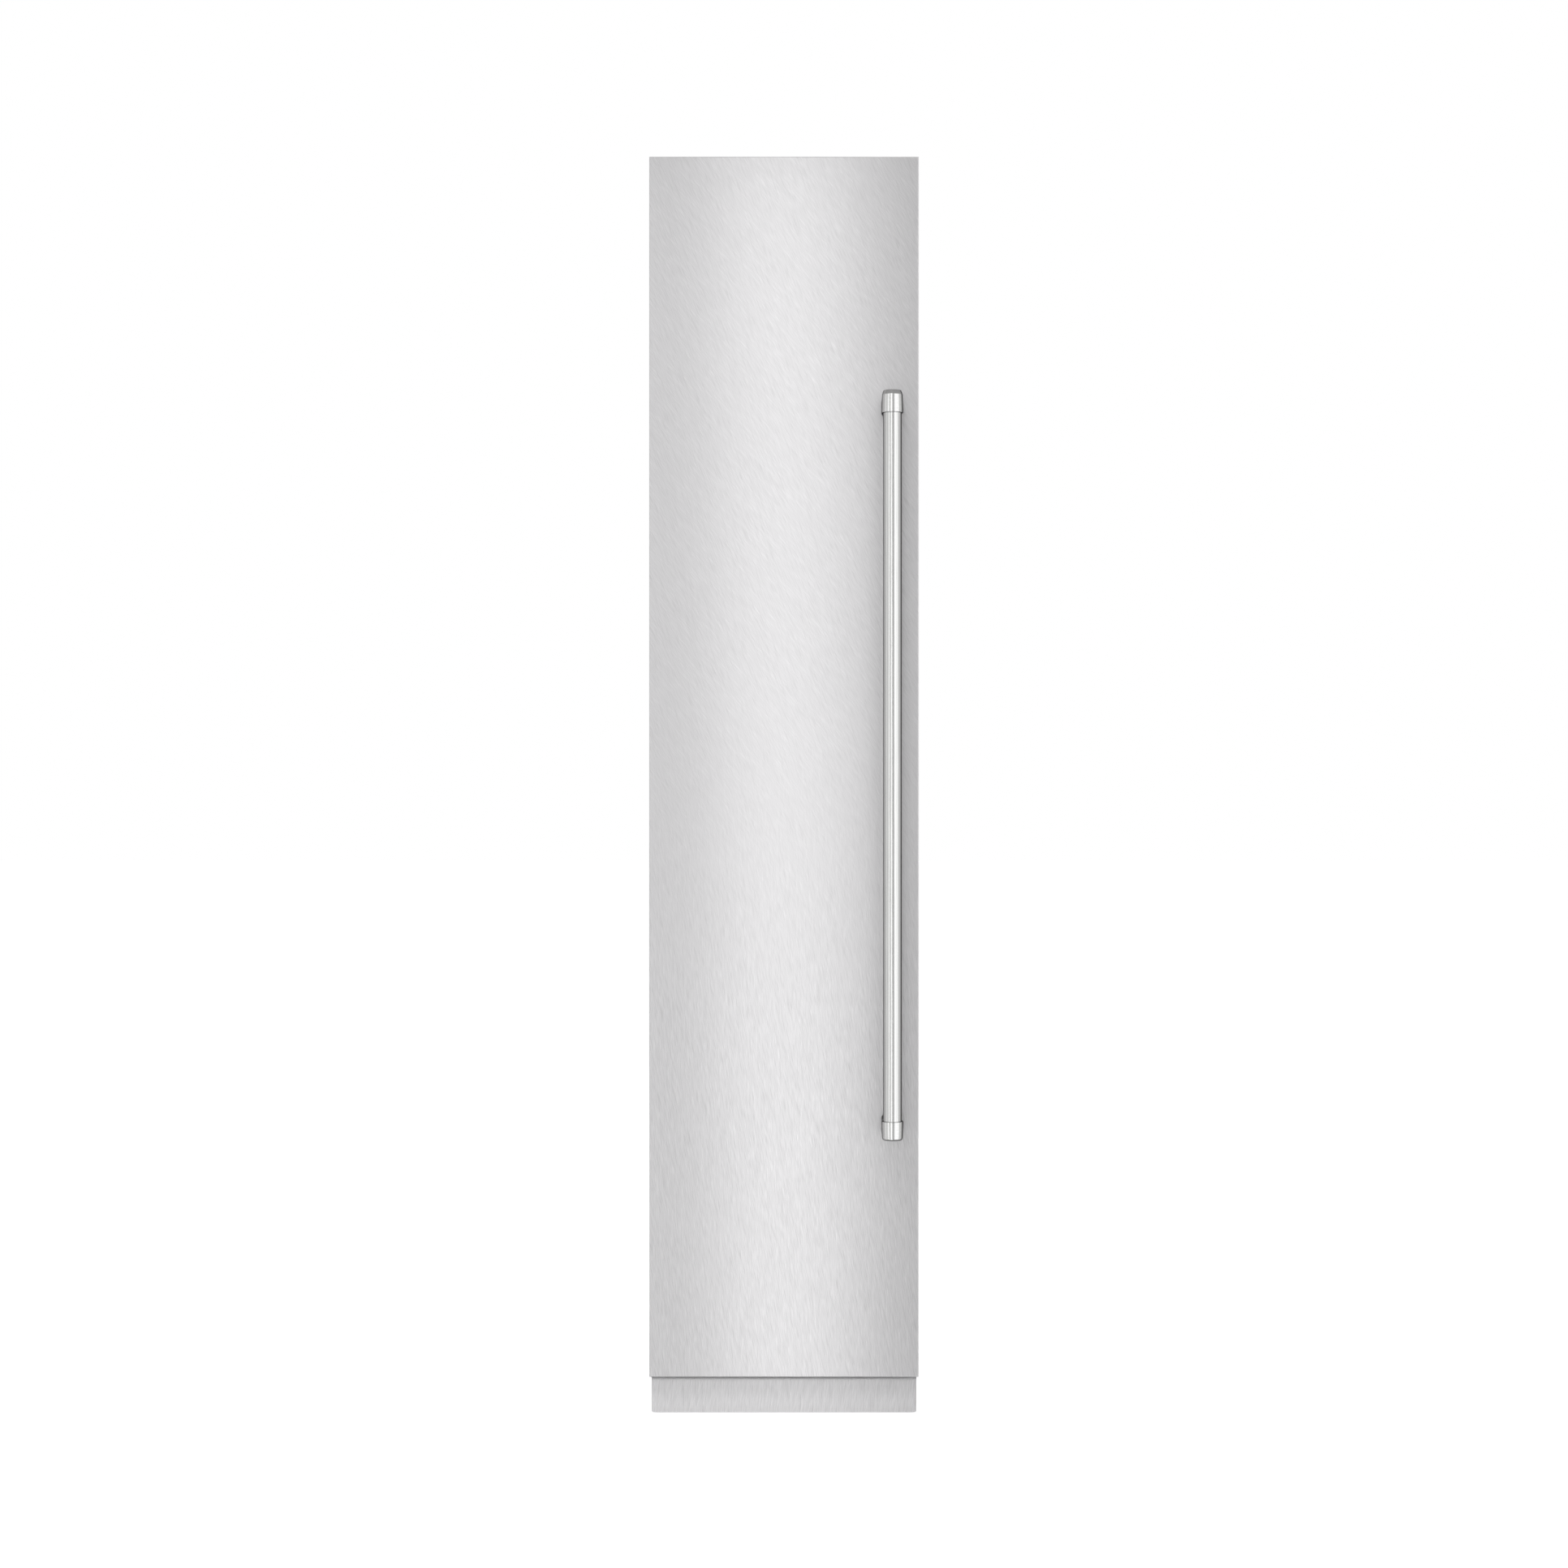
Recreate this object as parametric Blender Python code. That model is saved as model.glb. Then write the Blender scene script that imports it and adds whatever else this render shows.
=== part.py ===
"""Column freezer: a narrow full-height freezer with one door, a bar handle and a toe kick plate.

Units are metres. +Z is up, the front faces -Y and +X is the right-hand side of someone in front of it.
The origin lies on the floor, in the middle of the footprint, handle included.
"""

import math

import bmesh
import bpy
from mathutils import Matrix, Vector

# Overall size
DOOR_WIDTH = 0.455
DOOR_HEIGHT = 2.061
DOOR_BOTTOM = 0.067
BODY_DEPTH = 0.610
HANDLE_REACH = 0.066

# Fits
FIT = 0.0003
LOOSE_FIT = 0.0012
TURN_FIT = 0.0009
SLIDE_FIT = 0.0005
OVERRUN = 0.004

# Steel front panel of the door
SIDE_OVERHANG = 0.002
PANEL_DEPTH = 0.020
PANEL_SHEET = 0.0012
PANEL_EDGE_RADIUS = 0.002

# Insulated inner door
SHELL_SHEET = 0.0008
SHELL_BOTTOM_GAP = 0.003
SHELL_TOP_DROP = 0.019
INNER_DOOR_DEPTH = 0.055
DOOR_LINER_WALL = 0.003
RIDGE_SIDE_GAP = 0.0115
RIDGE_WIDTH = 0.014
RIDGE_DEPTH = 0.035
RIDGE_SHELF_LIFT = 0.023
RIDGE_TOP_DROP = 0.042
RIDGE_EDGE_RADIUS = 0.004

# Door gasket
GASKET_SIDE_INSET = 0.0155
GASKET_WIDTH = 0.022
GASKET_DEPTH = 0.010
GASKET_BOTTOM_INSET = 0.015
GASKET_TOP_INSET = 0.014

# Door bins
BIN_COUNT = 4
BIN_SIDE_GAP = 0.002
BIN_DEPTH = 0.085
BIN_HEIGHT = 0.120
BIN_FRONT_HEIGHT = 0.085
BIN_WALL = 0.0025
FIRST_BIN_LIFT = 0.040
TOP_BIN_DROP = 0.330
LUG_WIDTH = 0.012
LUG_DEPTH = 0.020
LUG_HEIGHT = 0.008

# Bar handle
HANDLE_SIDE_INSET = 0.0465
HANDLE_TOP_DROP = 0.4025
HANDLE_BOTTOM_LIFT = 0.4067
TUBE_DIAMETER = 0.031
TUBE_WALL = 0.0015
COLLAR_DIAMETER = 0.0365
TOP_COLLAR_HEIGHT = 0.0375
BOTTOM_COLLAR_HEIGHT = 0.032
COLLAR_CHAMFER = 0.003
SOCKET_DEPTH = 0.015
STANDOFF_WIDTH = 0.034
STANDOFF_HEIGHT_SHARE = 0.9
BOTTOM_STANDOFF_RISE = 0.004
STANDOFF_EDGE_RADIUS = 0.003

# Hinges
HINGE_INSET = 0.014
HINGE_BACK_INSET = 0.027
PIN_DIAMETER = 0.008
PIN_LENGTH = 0.014
BUSH_DIAMETER = 0.018
BUSH_LENGTH = 0.018
BUSH_STAND = 0.0025
BRACKET_THICKNESS = 0.003
BRACKET_NOSE = 0.013
BRACKET_WIDTH = 0.045
TOP_BRACKET_LENGTH = 0.115
TOP_BRACKET_GAP = 0.0008
BRACKET_FLANGE_HEIGHT = 0.0185
SCREW_HEAD_DIAMETER = 0.010
SCREW_HEAD_HEIGHT = 0.003

# Cabinet
CABINET_TOP_DROP = 0.016
CABINET_SHEET = 0.001
FRAME_SHEET = 0.0015
SIDE_INSULATION = 0.045
FLOOR_INSULATION = 0.063
INNER_TOP_DROP = 0.050
BACK_INSULATION = 0.050
LINER_WALL = 0.002
MACHINE_DEPTH = 0.200
MACHINE_HEIGHT = 0.260
STEP_INSULATION = 0.045
BASE_DROP = 0.005
BASE_HEIGHT = 0.022
BASE_WALL = 0.002
COVER_SLOTS = 12
SLOT_HEIGHT = 0.005
SLOT_PITCH = 0.012
SLOT_HALF_WIDTH = 0.090
FIRST_SLOT_LIFT = 0.055

# Toe kick plate
KICK_SETBACK = 0.023
KICK_SIDE_GAP = 0.0005
KICK_SHEET = 0.0012
KICK_BOTTOM = 0.002
KICK_TOP_GAP = 0.0028
KICK_TAB = 0.019
KICK_CORNER_RADIUS = 0.003
KICK_TOP_RADIUS = 0.005
KICK_FLANGE = 0.012

# Levelling feet and rollers
FOOT_INSET = 0.036
FOOT_BEHIND_FRONT = 0.040
FOOT_PAD_DIAMETER = 0.034
FOOT_PAD_HEIGHT = 0.008
FOOT_STEM_DIAMETER = 0.010
FOOT_NUT_DIAMETER = 0.020
FOOT_NUT_HEIGHT = 0.007
FOOT_BLOCK = 0.036
FOOT_STEM_SHARE = 0.7
ROLLER_INSET = 0.036
ROLLER_BEFORE_BACK = 0.050
ROLLER_DIAMETER = 0.036
ROLLER_WIDTH = 0.018
ROLLER_EDGE_RADIUS = 0.002
AXLE_DIAMETER = 0.006
FORK_THICKNESS = 0.0025
FORK_LENGTH = 0.024
FORK_DROP = 0.030

# Drawer and shelf side racks
RACK_THICKNESS = 0.003
RACK_BEHIND_FRONT = 0.045
RACK_BACK_GAP = 0.015
CHANNEL_REACH = 0.010
CHANNEL_LIP = 0.0025
LEDGE_HEIGHT = 0.005

# Drawers
DRAWER_SIDE_GAP = 0.0142
DRAWER_FRONT_SIDE_GAP = 0.0107
DRAWER_BEHIND_FRONT = 0.030
DRAWER_FRONT_THICKNESS = 0.012
DRAWER_FRONT_RADIUS = 0.003
DRAWER_WALL = 0.0025
DRAWER_SIDE_CUT = 0.030
RUNNER_HEIGHT = 0.006
RUNNER_RECESS = 0.065
RUNNER_LIFT_SHARE = 0.55
LOWER_DRAWER_BACK_GAP = 0.013
UPPER_DRAWER_BACK_GAP = 0.015
DRAWER_FLOOR_GAP = 0.005
LOWER_DRAWER_TOP_GAP = 0.017
UPPER_DRAWER_HEIGHT = 0.245
GRIP_HALF_WIDTH = 0.055
GRIP_HEIGHT = 0.022
GRIP_DEPTH = 0.006

# Glass shelves
SHELF_COUNT = 4
FIRST_SHELF_LIFT = 0.040
TOP_SHELF_DROP = 0.375
SHELF_BIN_GAP = 0.015
SHELF_BACK_GAP = 0.005
SHELF_THICKNESS = 0.012
SHELF_RIM = 0.014
GLASS_THICKNESS = 0.004
GLASS_BEARING = 0.005

# Lights and control panel
LIGHT_BEHIND_FRONT = 0.010
LIGHT_SHELF_LIFT = 0.043
LIGHT_TOP_DROP = 0.062
LIGHT_WIDTH = 0.016
LIGHT_THICKNESS = 0.006
CONTROL_HALF_WIDTH = 0.100
CONTROL_BEHIND_FRONT = 0.015
CONTROL_DEPTH = 0.060
CONTROL_HEIGHT = 0.030
CONTROL_SLOPE = 0.018

# Ice maker and its bin
ICE_MAKER_SIDE_GAP = 0.0175
ICE_MAKER_DROP = 0.172
ICE_MAKER_WIDTH = 0.220
ICE_MAKER_DEPTH = 0.190
ICE_MAKER_HEIGHT = 0.140
ICE_TRAY_DEPTH = 0.040
ICE_TRAY_WALL = 0.008
ICE_MOTOR_WIDTH = 0.050
ARM_WIRE_DIAMETER = 0.004
ARM_PIVOT_BACK_INSET = 0.075
ARM_PIVOT_HEIGHT = 0.060
ARM_STANDS_OFF = 0.008
ARM_REACH = 0.135
ARM_DROP = 0.082
ARM_BAR_LENGTH = 0.200
ICE_BIN_LEFT_GAP = 0.0125
ICE_BIN_RIGHT_GAP = 0.0525
ICE_BIN_BACK_GAP = 0.030
ICE_BIN_HEIGHT = 0.150
ICE_BIN_WALL = 0.003

# Evaporator side
EVAPORATOR_SPACE = 0.060
EVAPORATOR_COVER_WALL = 0.003
EVAPORATOR_SIDE_GAP = 0.0275
EVAPORATOR_THICKNESS = 0.045
EVAPORATOR_BOTTOM = 0.900
EVAPORATOR_HEIGHT = 0.380
EVAPORATOR_FINS = 14
FIN_THICKNESS = 0.004
FIN_SPINE = 0.012
EVAPORATOR_FAN_HEIGHT = 1.450
EVAPORATOR_FAN_DIAMETER = 0.110
EVAPORATOR_VENTS = 5
VENT_HALF_WIDTH = 0.055
VENT_HEIGHT = 0.008
VENT_PITCH = 0.020
FAN_HUB_DIAMETER = 0.034
FAN_DEPTH = 0.014
FAN_BLADES = 5
BLADE_THICKNESS = 0.002
BLADE_PITCH = math.radians(32)
BLADE_ROOT_SHARE = 0.7
SHAFT_DIAMETER = 0.005
SHAFT_ENTRY = 0.010
MOTOR_DIAMETER = 0.044
FAN_COVER_GAP = 0.006
FAN_MOTOR_GAP = 0.002
MOTOR_ARM_HEIGHT = 0.014
MOTOR_ARM_HALF_LENGTH = 0.060

# Compressor side
COMPRESSOR_SIDE_INSET = 0.1105
COMPRESSOR_BACK_INSET = 0.100
COMPRESSOR_DIAMETER = 0.150
COMPRESSOR_HEIGHT = 0.180
COMPRESSOR_FOOT_HEIGHT = 0.012
COMPRESSOR_PLATE = 0.003
COMPRESSOR_PLATE_HALF = 0.080
COMPRESSOR_LIP = 0.004
TERMINAL_BOX_SIZE = 0.050
CONDENSER_SIDE_INSET = 0.0155
CONDENSER_FRONT_GAP = 0.015
CONDENSER_WIDTH = 0.145
CONDENSER_THICKNESS = 0.050
CONDENSER_HEIGHT = 0.150
CONDENSER_FINS = 12
CONDENSER_FAN_DIAMETER = 0.120
CONDENSER_FAN_GAP = 0.012
CONDENSER_MOTOR_DEPTH = 0.040
PAN_HALF_WIDTH = 0.090
PAN_DEPTH = 0.160
PAN_HEIGHT = 0.028
PAN_WALL = 0.002

# Connections
INLET_SIDE_INSET = 0.0755
INLET_TOP_DROP = 0.038
INLET_WIDTH = 0.048
INLET_TALL = 0.028
INLET_DEPTH = 0.025
INLET_RECESS = 0.015
INLET_WALL = 0.005
VALVE_X = -0.010
VALVE_SIZE = 0.036
VALVE_DEPTH = 0.030
VALVE_STUB_DIAMETER = 0.019
VALVE_BORE_DIAMETER = 0.010

# Round pieces are drawn with this many sides
COARSE_SIDES = 16
FINE_SIDES = 32

# Places worked out from the sizes above
OVERALL_DEPTH = BODY_DEPTH + HANDLE_REACH
FRONT = HANDLE_REACH - OVERALL_DEPTH / 2
DOOR_TOP = DOOR_BOTTOM + DOOR_HEIGHT
SHELL_WIDTH = DOOR_WIDTH - 2 * SIDE_OVERHANG
SHELL_FRONT = PANEL_DEPTH + FIT
SHELL_BACK = PANEL_DEPTH + INNER_DOOR_DEPTH
SHELL_BOTTOM = DOOR_BOTTOM + SHELL_BOTTOM_GAP
SHELL_TOP = DOOR_TOP - SHELL_TOP_DROP
HINGE_SETBACK = SHELL_BACK - HINGE_BACK_INSET
HINGE_X = HINGE_INSET - SHELL_WIDTH / 2
HINGE_Y = FRONT + HINGE_SETBACK
HANDLE_X = DOOR_WIDTH / 2 - HANDLE_SIDE_INSET
HANDLE_TOP = DOOR_TOP - HANDLE_TOP_DROP
HANDLE_BOTTOM = DOOR_BOTTOM + HANDLE_BOTTOM_LIFT
HANDLE_SETBACK = COLLAR_DIAMETER / 2 - HANDLE_REACH
GASKET_OUTER_HALF = SHELL_WIDTH / 2 - GASKET_SIDE_INSET

CABINET_WIDTH = DOOR_WIDTH - 2 * SIDE_OVERHANG
CABINET_FRONT = SHELL_BACK + GASKET_DEPTH
CABINET_TOP = DOOR_TOP - CABINET_TOP_DROP
CABINET_INSIDE_HALF = CABINET_WIDTH / 2 - CABINET_SHEET - FIT
FOAM_FRONT = CABINET_FRONT + FRAME_SHEET + FIT
FOAM_BACK = BODY_DEPTH - CABINET_SHEET - FIT
FOAM_TOP = CABINET_TOP - CABINET_SHEET - FIT
BASE_TOP = DOOR_BOTTOM - BASE_DROP
BASE_BOTTOM = BASE_TOP - BASE_HEIGHT
BASE_FLOOR = BASE_BOTTOM + BASE_WALL
KICK_WIDTH = CABINET_WIDTH - 2 * KICK_SIDE_GAP
KICK_TOP = DOOR_BOTTOM - KICK_TOP_GAP
FOOT_SETBACK = CABINET_FRONT + FOOT_BEHIND_FRONT
ROLLER_SETBACK = BODY_DEPTH - ROLLER_BEFORE_BACK

INNER_HALF_WIDTH = CABINET_WIDTH / 2 - CABINET_SHEET - SIDE_INSULATION - LINER_WALL
INNER_FLOOR = BASE_TOP + FLOOR_INSULATION
INNER_TOP = CABINET_TOP - INNER_TOP_DROP
INNER_BACK = BODY_DEPTH - BACK_INSULATION - LINER_WALL
MACHINE_TOP = BASE_BOTTOM + MACHINE_HEIGHT
MACHINE_FRONT = BODY_DEPTH - MACHINE_DEPTH
STEP_FRONT = MACHINE_FRONT - STEP_INSULATION - LINER_WALL
STEP_TOP = MACHINE_TOP + STEP_INSULATION + LINER_WALL
COVER_BACK = INNER_BACK - EVAPORATOR_SPACE
COVER_FRONT = COVER_BACK - EVAPORATOR_COVER_WALL
EVAPORATOR_HALF_WIDTH = INNER_HALF_WIDTH - EVAPORATOR_SIDE_GAP

RACK_HALF = INNER_HALF_WIDTH - FIT - RACK_THICKNESS
RACK_FRONT = CABINET_FRONT + RACK_BEHIND_FRONT
RACK_BACK = COVER_FRONT - RACK_BACK_GAP
DRAWER_HALF_WIDTH = RACK_HALF - DRAWER_SIDE_GAP
DRAWER_FRONT_HALF_WIDTH = RACK_HALF - DRAWER_FRONT_SIDE_GAP
DRAWER_SETBACK = CABINET_FRONT + DRAWER_BEHIND_FRONT
LOWER_DRAWER_BOTTOM = INNER_FLOOR + DRAWER_FLOOR_GAP
LOWER_DRAWER_HEIGHT = STEP_TOP - LOWER_DRAWER_TOP_GAP - LOWER_DRAWER_BOTTOM
LOWER_DRAWER_DEPTH = STEP_FRONT - LOWER_DRAWER_BACK_GAP - DRAWER_SETBACK
UPPER_DRAWER_BOTTOM = STEP_TOP + DRAWER_FLOOR_GAP
UPPER_DRAWER_DEPTH = COVER_FRONT - UPPER_DRAWER_BACK_GAP - DRAWER_SETBACK
SHELF_SETBACK = SHELL_BACK + BIN_DEPTH + SHELF_BIN_GAP
SHELF_DEPTH = COVER_FRONT - SHELF_BACK_GAP - SHELF_SETBACK
FIRST_SHELF_TOP = UPPER_DRAWER_BOTTOM + UPPER_DRAWER_HEIGHT + FIRST_SHELF_LIFT
SHELF_PITCH = (INNER_TOP - TOP_SHELF_DROP - FIRST_SHELF_TOP) / (SHELF_COUNT - 1)
LIGHT_SETBACK = CABINET_FRONT + LIGHT_BEHIND_FRONT
LIGHT_BOTTOM = FIRST_SHELF_TOP + LIGHT_SHELF_LIFT
LIGHT_TOP = INNER_TOP - LIGHT_TOP_DROP
CONTROL_SETBACK = CABINET_FRONT + CONTROL_BEHIND_FRONT

RIDGE_OUTER_HALF = INNER_HALF_WIDTH - RIDGE_SIDE_GAP
RIDGE_BOTTOM = FIRST_SHELF_TOP + RIDGE_SHELF_LIFT
RIDGE_TOP = INNER_TOP - RIDGE_TOP_DROP
BIN_HALF_WIDTH = RIDGE_OUTER_HALF - RIDGE_WIDTH - BIN_SIDE_GAP
BIN_PITCH = (RIDGE_TOP - TOP_BIN_DROP - RIDGE_BOTTOM - FIRST_BIN_LIFT) / (BIN_COUNT - 1)

ICE_MAKER_LEFT = ICE_MAKER_SIDE_GAP - INNER_HALF_WIDTH
ICE_MAKER_BOTTOM = INNER_TOP - ICE_MAKER_DROP
ARM_PIVOT_SETBACK = COVER_FRONT - ARM_PIVOT_BACK_INSET
ICE_BIN_LEFT = ICE_BIN_LEFT_GAP - INNER_HALF_WIDTH
ICE_BIN_WIDTH = 2 * INNER_HALF_WIDTH - ICE_BIN_LEFT_GAP - ICE_BIN_RIGHT_GAP
ICE_BIN_DEPTH = COVER_FRONT - ICE_BIN_BACK_GAP - SHELF_SETBACK

COMPRESSOR_X = CABINET_WIDTH / 2 - COMPRESSOR_SIDE_INSET
COMPRESSOR_SETBACK = BODY_DEPTH - COMPRESSOR_BACK_INSET
CONDENSER_LEFT = CONDENSER_SIDE_INSET - CABINET_WIDTH / 2
CONDENSER_SETBACK = MACHINE_FRONT + CONDENSER_FRONT_GAP
INLET_X = INLET_SIDE_INSET - CABINET_WIDTH / 2
INLET_HEIGHT = MACHINE_TOP - INLET_TOP_DROP
VALVE_HEIGHT = MACHINE_TOP - FIT - VALVE_SIZE / 2


def behind(distance):
    """Y of a place this far behind the door's front face."""
    return FRONT + distance


def deep(near, far):
    """Y of two places, given as distances behind the door's front face."""
    return behind(near), behind(far)


def around(middle, half):
    """Two places this far on either side of the middle."""
    return middle - half, middle + half


def up(low, height):
    """A low place and the one this much higher."""
    return low, low + height


def shelf_top(index):
    """Height of a shelf's upper face."""
    return FIRST_SHELF_TOP + index * SHELF_PITCH


def bin_bottom(index):
    """Height of a door bin's underside."""
    return RIDGE_BOTTOM + FIRST_BIN_LIFT + index * BIN_PITCH


# Finishes: colour, roughness and metallic value
def brushed_steel():
    return (0.62, 0.62, 0.61, 1.0), 0.34, 1.0


def polished_steel():
    return (0.66, 0.66, 0.66, 1.0), 0.16, 1.0


def zinc_steel():
    return (0.45, 0.46, 0.47, 1.0), 0.42, 1.0


def painted_grey():
    return (0.30, 0.31, 0.32, 1.0), 0.50, 0.0


def black_paint():
    return (0.02, 0.02, 0.022, 1.0), 0.45, 0.0


def white_liner():
    return (0.86, 0.87, 0.88, 1.0), 0.38, 0.0


def grey_seal():
    return (0.45, 0.46, 0.47, 1.0), 0.65, 0.0


def insulation():
    return (0.80, 0.74, 0.55, 1.0), 0.90, 0.0


def clear_plastic():
    return (0.80, 0.86, 0.89, 1.0), 0.15, 0.0


def shelf_glass():
    return (0.75, 0.86, 0.84, 1.0), 0.05, 0.0


def copper():
    return (0.72, 0.38, 0.24, 1.0), 0.35, 1.0


def aluminium():
    return (0.75, 0.76, 0.77, 1.0), 0.35, 1.0


def dark_plastic():
    return (0.05, 0.05, 0.055, 1.0), 0.50, 0.0


def lamp_cover():
    return (0.93, 0.95, 0.97, 1.0), 0.30, 0.0


def finish_material(name, finish):
    """A material for one piece."""
    colour, roughness, metallic = finish()
    material = bpy.data.materials.new(f"{name}_{finish.__name__}")
    material.use_nodes = True
    material.diffuse_color = colour
    shader = material.node_tree.nodes["Principled BSDF"]
    shader.inputs["Base Color"].default_value = colour
    shader.inputs["Roughness"].default_value = roughness
    shader.inputs["Metallic"].default_value = metallic
    return material


# Shapes
def add_box(bm, x, y, z):
    """Add a box between three pairs of places."""
    low = Vector((x[0], y[0], z[0]))
    high = Vector((x[1], y[1], z[1]))
    scale = Matrix.Diagonal((*(high - low), 1))
    matrix = Matrix.Translation((low + high) / 2) @ scale
    return bmesh.ops.create_cube(bm, size=1.0, matrix=matrix)["verts"]


def add_rod(bm, start, axis, length, diameter, sides=COARSE_SIDES, far_diameter=None):
    """Add a round rod, or a cone, that runs from a start point along an axis."""
    direction = Vector(axis).normalized()
    turn = Vector((0, 0, 1)).rotation_difference(direction).to_matrix().to_4x4()
    centre = Vector(start) + direction * length / 2
    end_diameter = diameter if far_diameter is None else far_diameter
    made = bmesh.ops.create_cone(
        bm,
        cap_ends=True,
        segments=sides,
        radius1=diameter / 2,
        radius2=end_diameter / 2,
        depth=length,
        matrix=Matrix.Translation(centre) @ turn,
    )
    return made["verts"]


def add_outline(bm, points, direction):
    """Add a prism: an outline, given as points in space, extruded along a direction."""
    corners = [bm.verts.new(point) for point in points]
    face = bm.faces.new(corners)
    top = bmesh.ops.extrude_face_region(bm, geom=[face], use_keep_orig=True)
    moved = [item for item in top["geom"] if isinstance(item, bmesh.types.BMVert)]
    bmesh.ops.translate(bm, verts=moved, vec=direction)
    bmesh.ops.recalc_face_normals(bm, faces=bm.faces)
    return corners + moved


def box(x, y, z):
    """A mesh with one box."""
    bm = bmesh.new()
    add_box(bm, x, y, z)
    return bm


def rod(start, axis, length, diameter, sides=COARSE_SIDES):
    """A mesh with one rod."""
    bm = bmesh.new()
    add_rod(bm, start, axis, length, diameter, sides)
    return bm


def axis_empty(name, place):
    """An empty on a joint's axis, which carries the pieces that move with it."""
    empty = bpy.data.objects.new(name, None)
    empty.location = place
    bpy.context.collection.objects.link(empty)
    return empty


def make(name, bm, finish, carrier=None, smooth=False):
    """Turn a mesh that is drawn in place into an object, carried by an empty if it moves."""
    origin = carrier.location if carrier else Vector((0, 0, 0))
    bmesh.ops.translate(bm, verts=bm.verts, vec=-origin)
    mesh = bpy.data.meshes.new(name)
    bm.to_mesh(mesh)
    bm.free()
    if smooth:
        mesh.shade_smooth()
        mesh.set_sharp_from_angle(angle=math.radians(35))
    piece = bpy.data.objects.new(name, mesh)
    piece.data.materials.append(finish_material(name, finish))
    bpy.context.collection.objects.link(piece)
    piece.parent = carrier
    return piece


def shape_with(piece, bm, operation):
    """Cut a mesh out of a piece, or join it on. The helper object stays as a wire guide."""
    origin = piece.parent.location if piece.parent else Vector((0, 0, 0))
    bmesh.ops.translate(bm, verts=bm.verts, vec=-origin)
    number = len(piece.modifiers)
    mesh = bpy.data.meshes.new(f"{piece.name}_guide_{number}")
    bm.to_mesh(mesh)
    bm.free()
    guide = bpy.data.objects.new(mesh.name, mesh)
    guide.hide_render = True
    guide.display_type = "WIRE"
    bpy.context.collection.objects.link(guide)
    guide.parent = piece
    modifier = piece.modifiers.new(f"{operation.lower()}_{number}", "BOOLEAN")
    modifier.object = guide
    modifier.operation = operation
    modifier.solver = "EXACT"
    return piece


def cut(piece, bm):
    return shape_with(piece, bm, "DIFFERENCE")


def join(piece, bm):
    return shape_with(piece, bm, "UNION")


def soften(piece, width, segments=2):
    """Round the sharp edges of a piece."""
    modifier = piece.modifiers.new("edge_radius", "BEVEL")
    modifier.width = width
    modifier.segments = segments
    modifier.limit_method = "ANGLE"
    modifier.angle_limit = math.radians(40)
    return piece


def soften_upright(bm, radius, segments=3):
    """Round the vertical edges of a box while it is still a mesh."""
    return round_edges(bm, radius, lambda a, b: abs(a.z - b.z) > radius * 2, segments)


def round_edges(bm, radius, picks, segments=3):
    """Round the edges whose two ends a test picks."""
    edges = [edge for edge in bm.edges if picks(edge.verts[0].co, edge.verts[1].co)]
    bmesh.ops.bevel(
        bm, geom=edges, offset=radius, segments=segments, profile=0.5, affect="EDGES", material=-1
    )
    return bm


def tray(name, x, y, z, wall, finish, carrier=None, floor=None):
    """An open-topped box with walls all round."""
    bottom = wall if floor is None else floor
    bm = box(x, y, z)
    bm.normal_update()
    lid = [face for face in bm.faces if face.normal.z > 0.5]
    bmesh.ops.inset_region(bm, faces=lid, thickness=wall, use_even_offset=True)
    inner = bmesh.ops.extrude_face_region(bm, geom=lid)
    moved = [item for item in inner["geom"] if isinstance(item, bmesh.types.BMVert)]
    bmesh.ops.delete(bm, geom=lid, context="FACES_ONLY")
    bmesh.ops.translate(bm, verts=moved, vec=(0, 0, bottom - (z[1] - z[0])))
    bmesh.ops.recalc_face_normals(bm, faces=bm.faces)
    return make(name, bm, finish, carrier)


# Door
def make_front_panel(door):
    """The folded steel sheet that shows from the front, open at the back."""
    half = DOOR_WIDTH / 2
    bm = box((-half, half), deep(0, PANEL_DEPTH), up(DOOR_BOTTOM, DOOR_HEIGHT))
    round_edges(bm, PANEL_EDGE_RADIUS, lambda a, b: a.y + b.y < behind(0) + behind(PANEL_DEPTH), 2)
    panel = make("door_front_panel", bm, brushed_steel, door)
    inner = half - PANEL_SHEET
    low = DOOR_BOTTOM + PANEL_SHEET
    high = DOOR_TOP - PANEL_SHEET
    return cut(panel, box((-inner, inner), deep(PANEL_SHEET, PANEL_DEPTH + OVERRUN), (low, high)))


def make_panel_core(door):
    """The stiffening board that fills the front panel."""
    edge = PANEL_SHEET + FIT
    half = DOOR_WIDTH / 2 - edge
    bm = box((-half, half), deep(edge, PANEL_DEPTH), (DOOR_BOTTOM + edge, DOOR_TOP - edge))
    soften_upright(bm, PANEL_EDGE_RADIUS)
    return make("door_panel_core", bm, insulation, door)


def bush_hole(bottom, top):
    """The space that a hinge bush takes in the door, with its clearance."""
    return rod((HINGE_X, HINGE_Y, bottom), (0, 0, 1), top - bottom, BUSH_DIAMETER + LOOSE_FIT, FINE_SIDES)


def bottom_bush_top():
    return SHELL_BOTTOM - BUSH_STAND + FIT + BUSH_LENGTH


def top_bush_bottom():
    return SHELL_TOP + BUSH_STAND - BUSH_LENGTH


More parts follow.
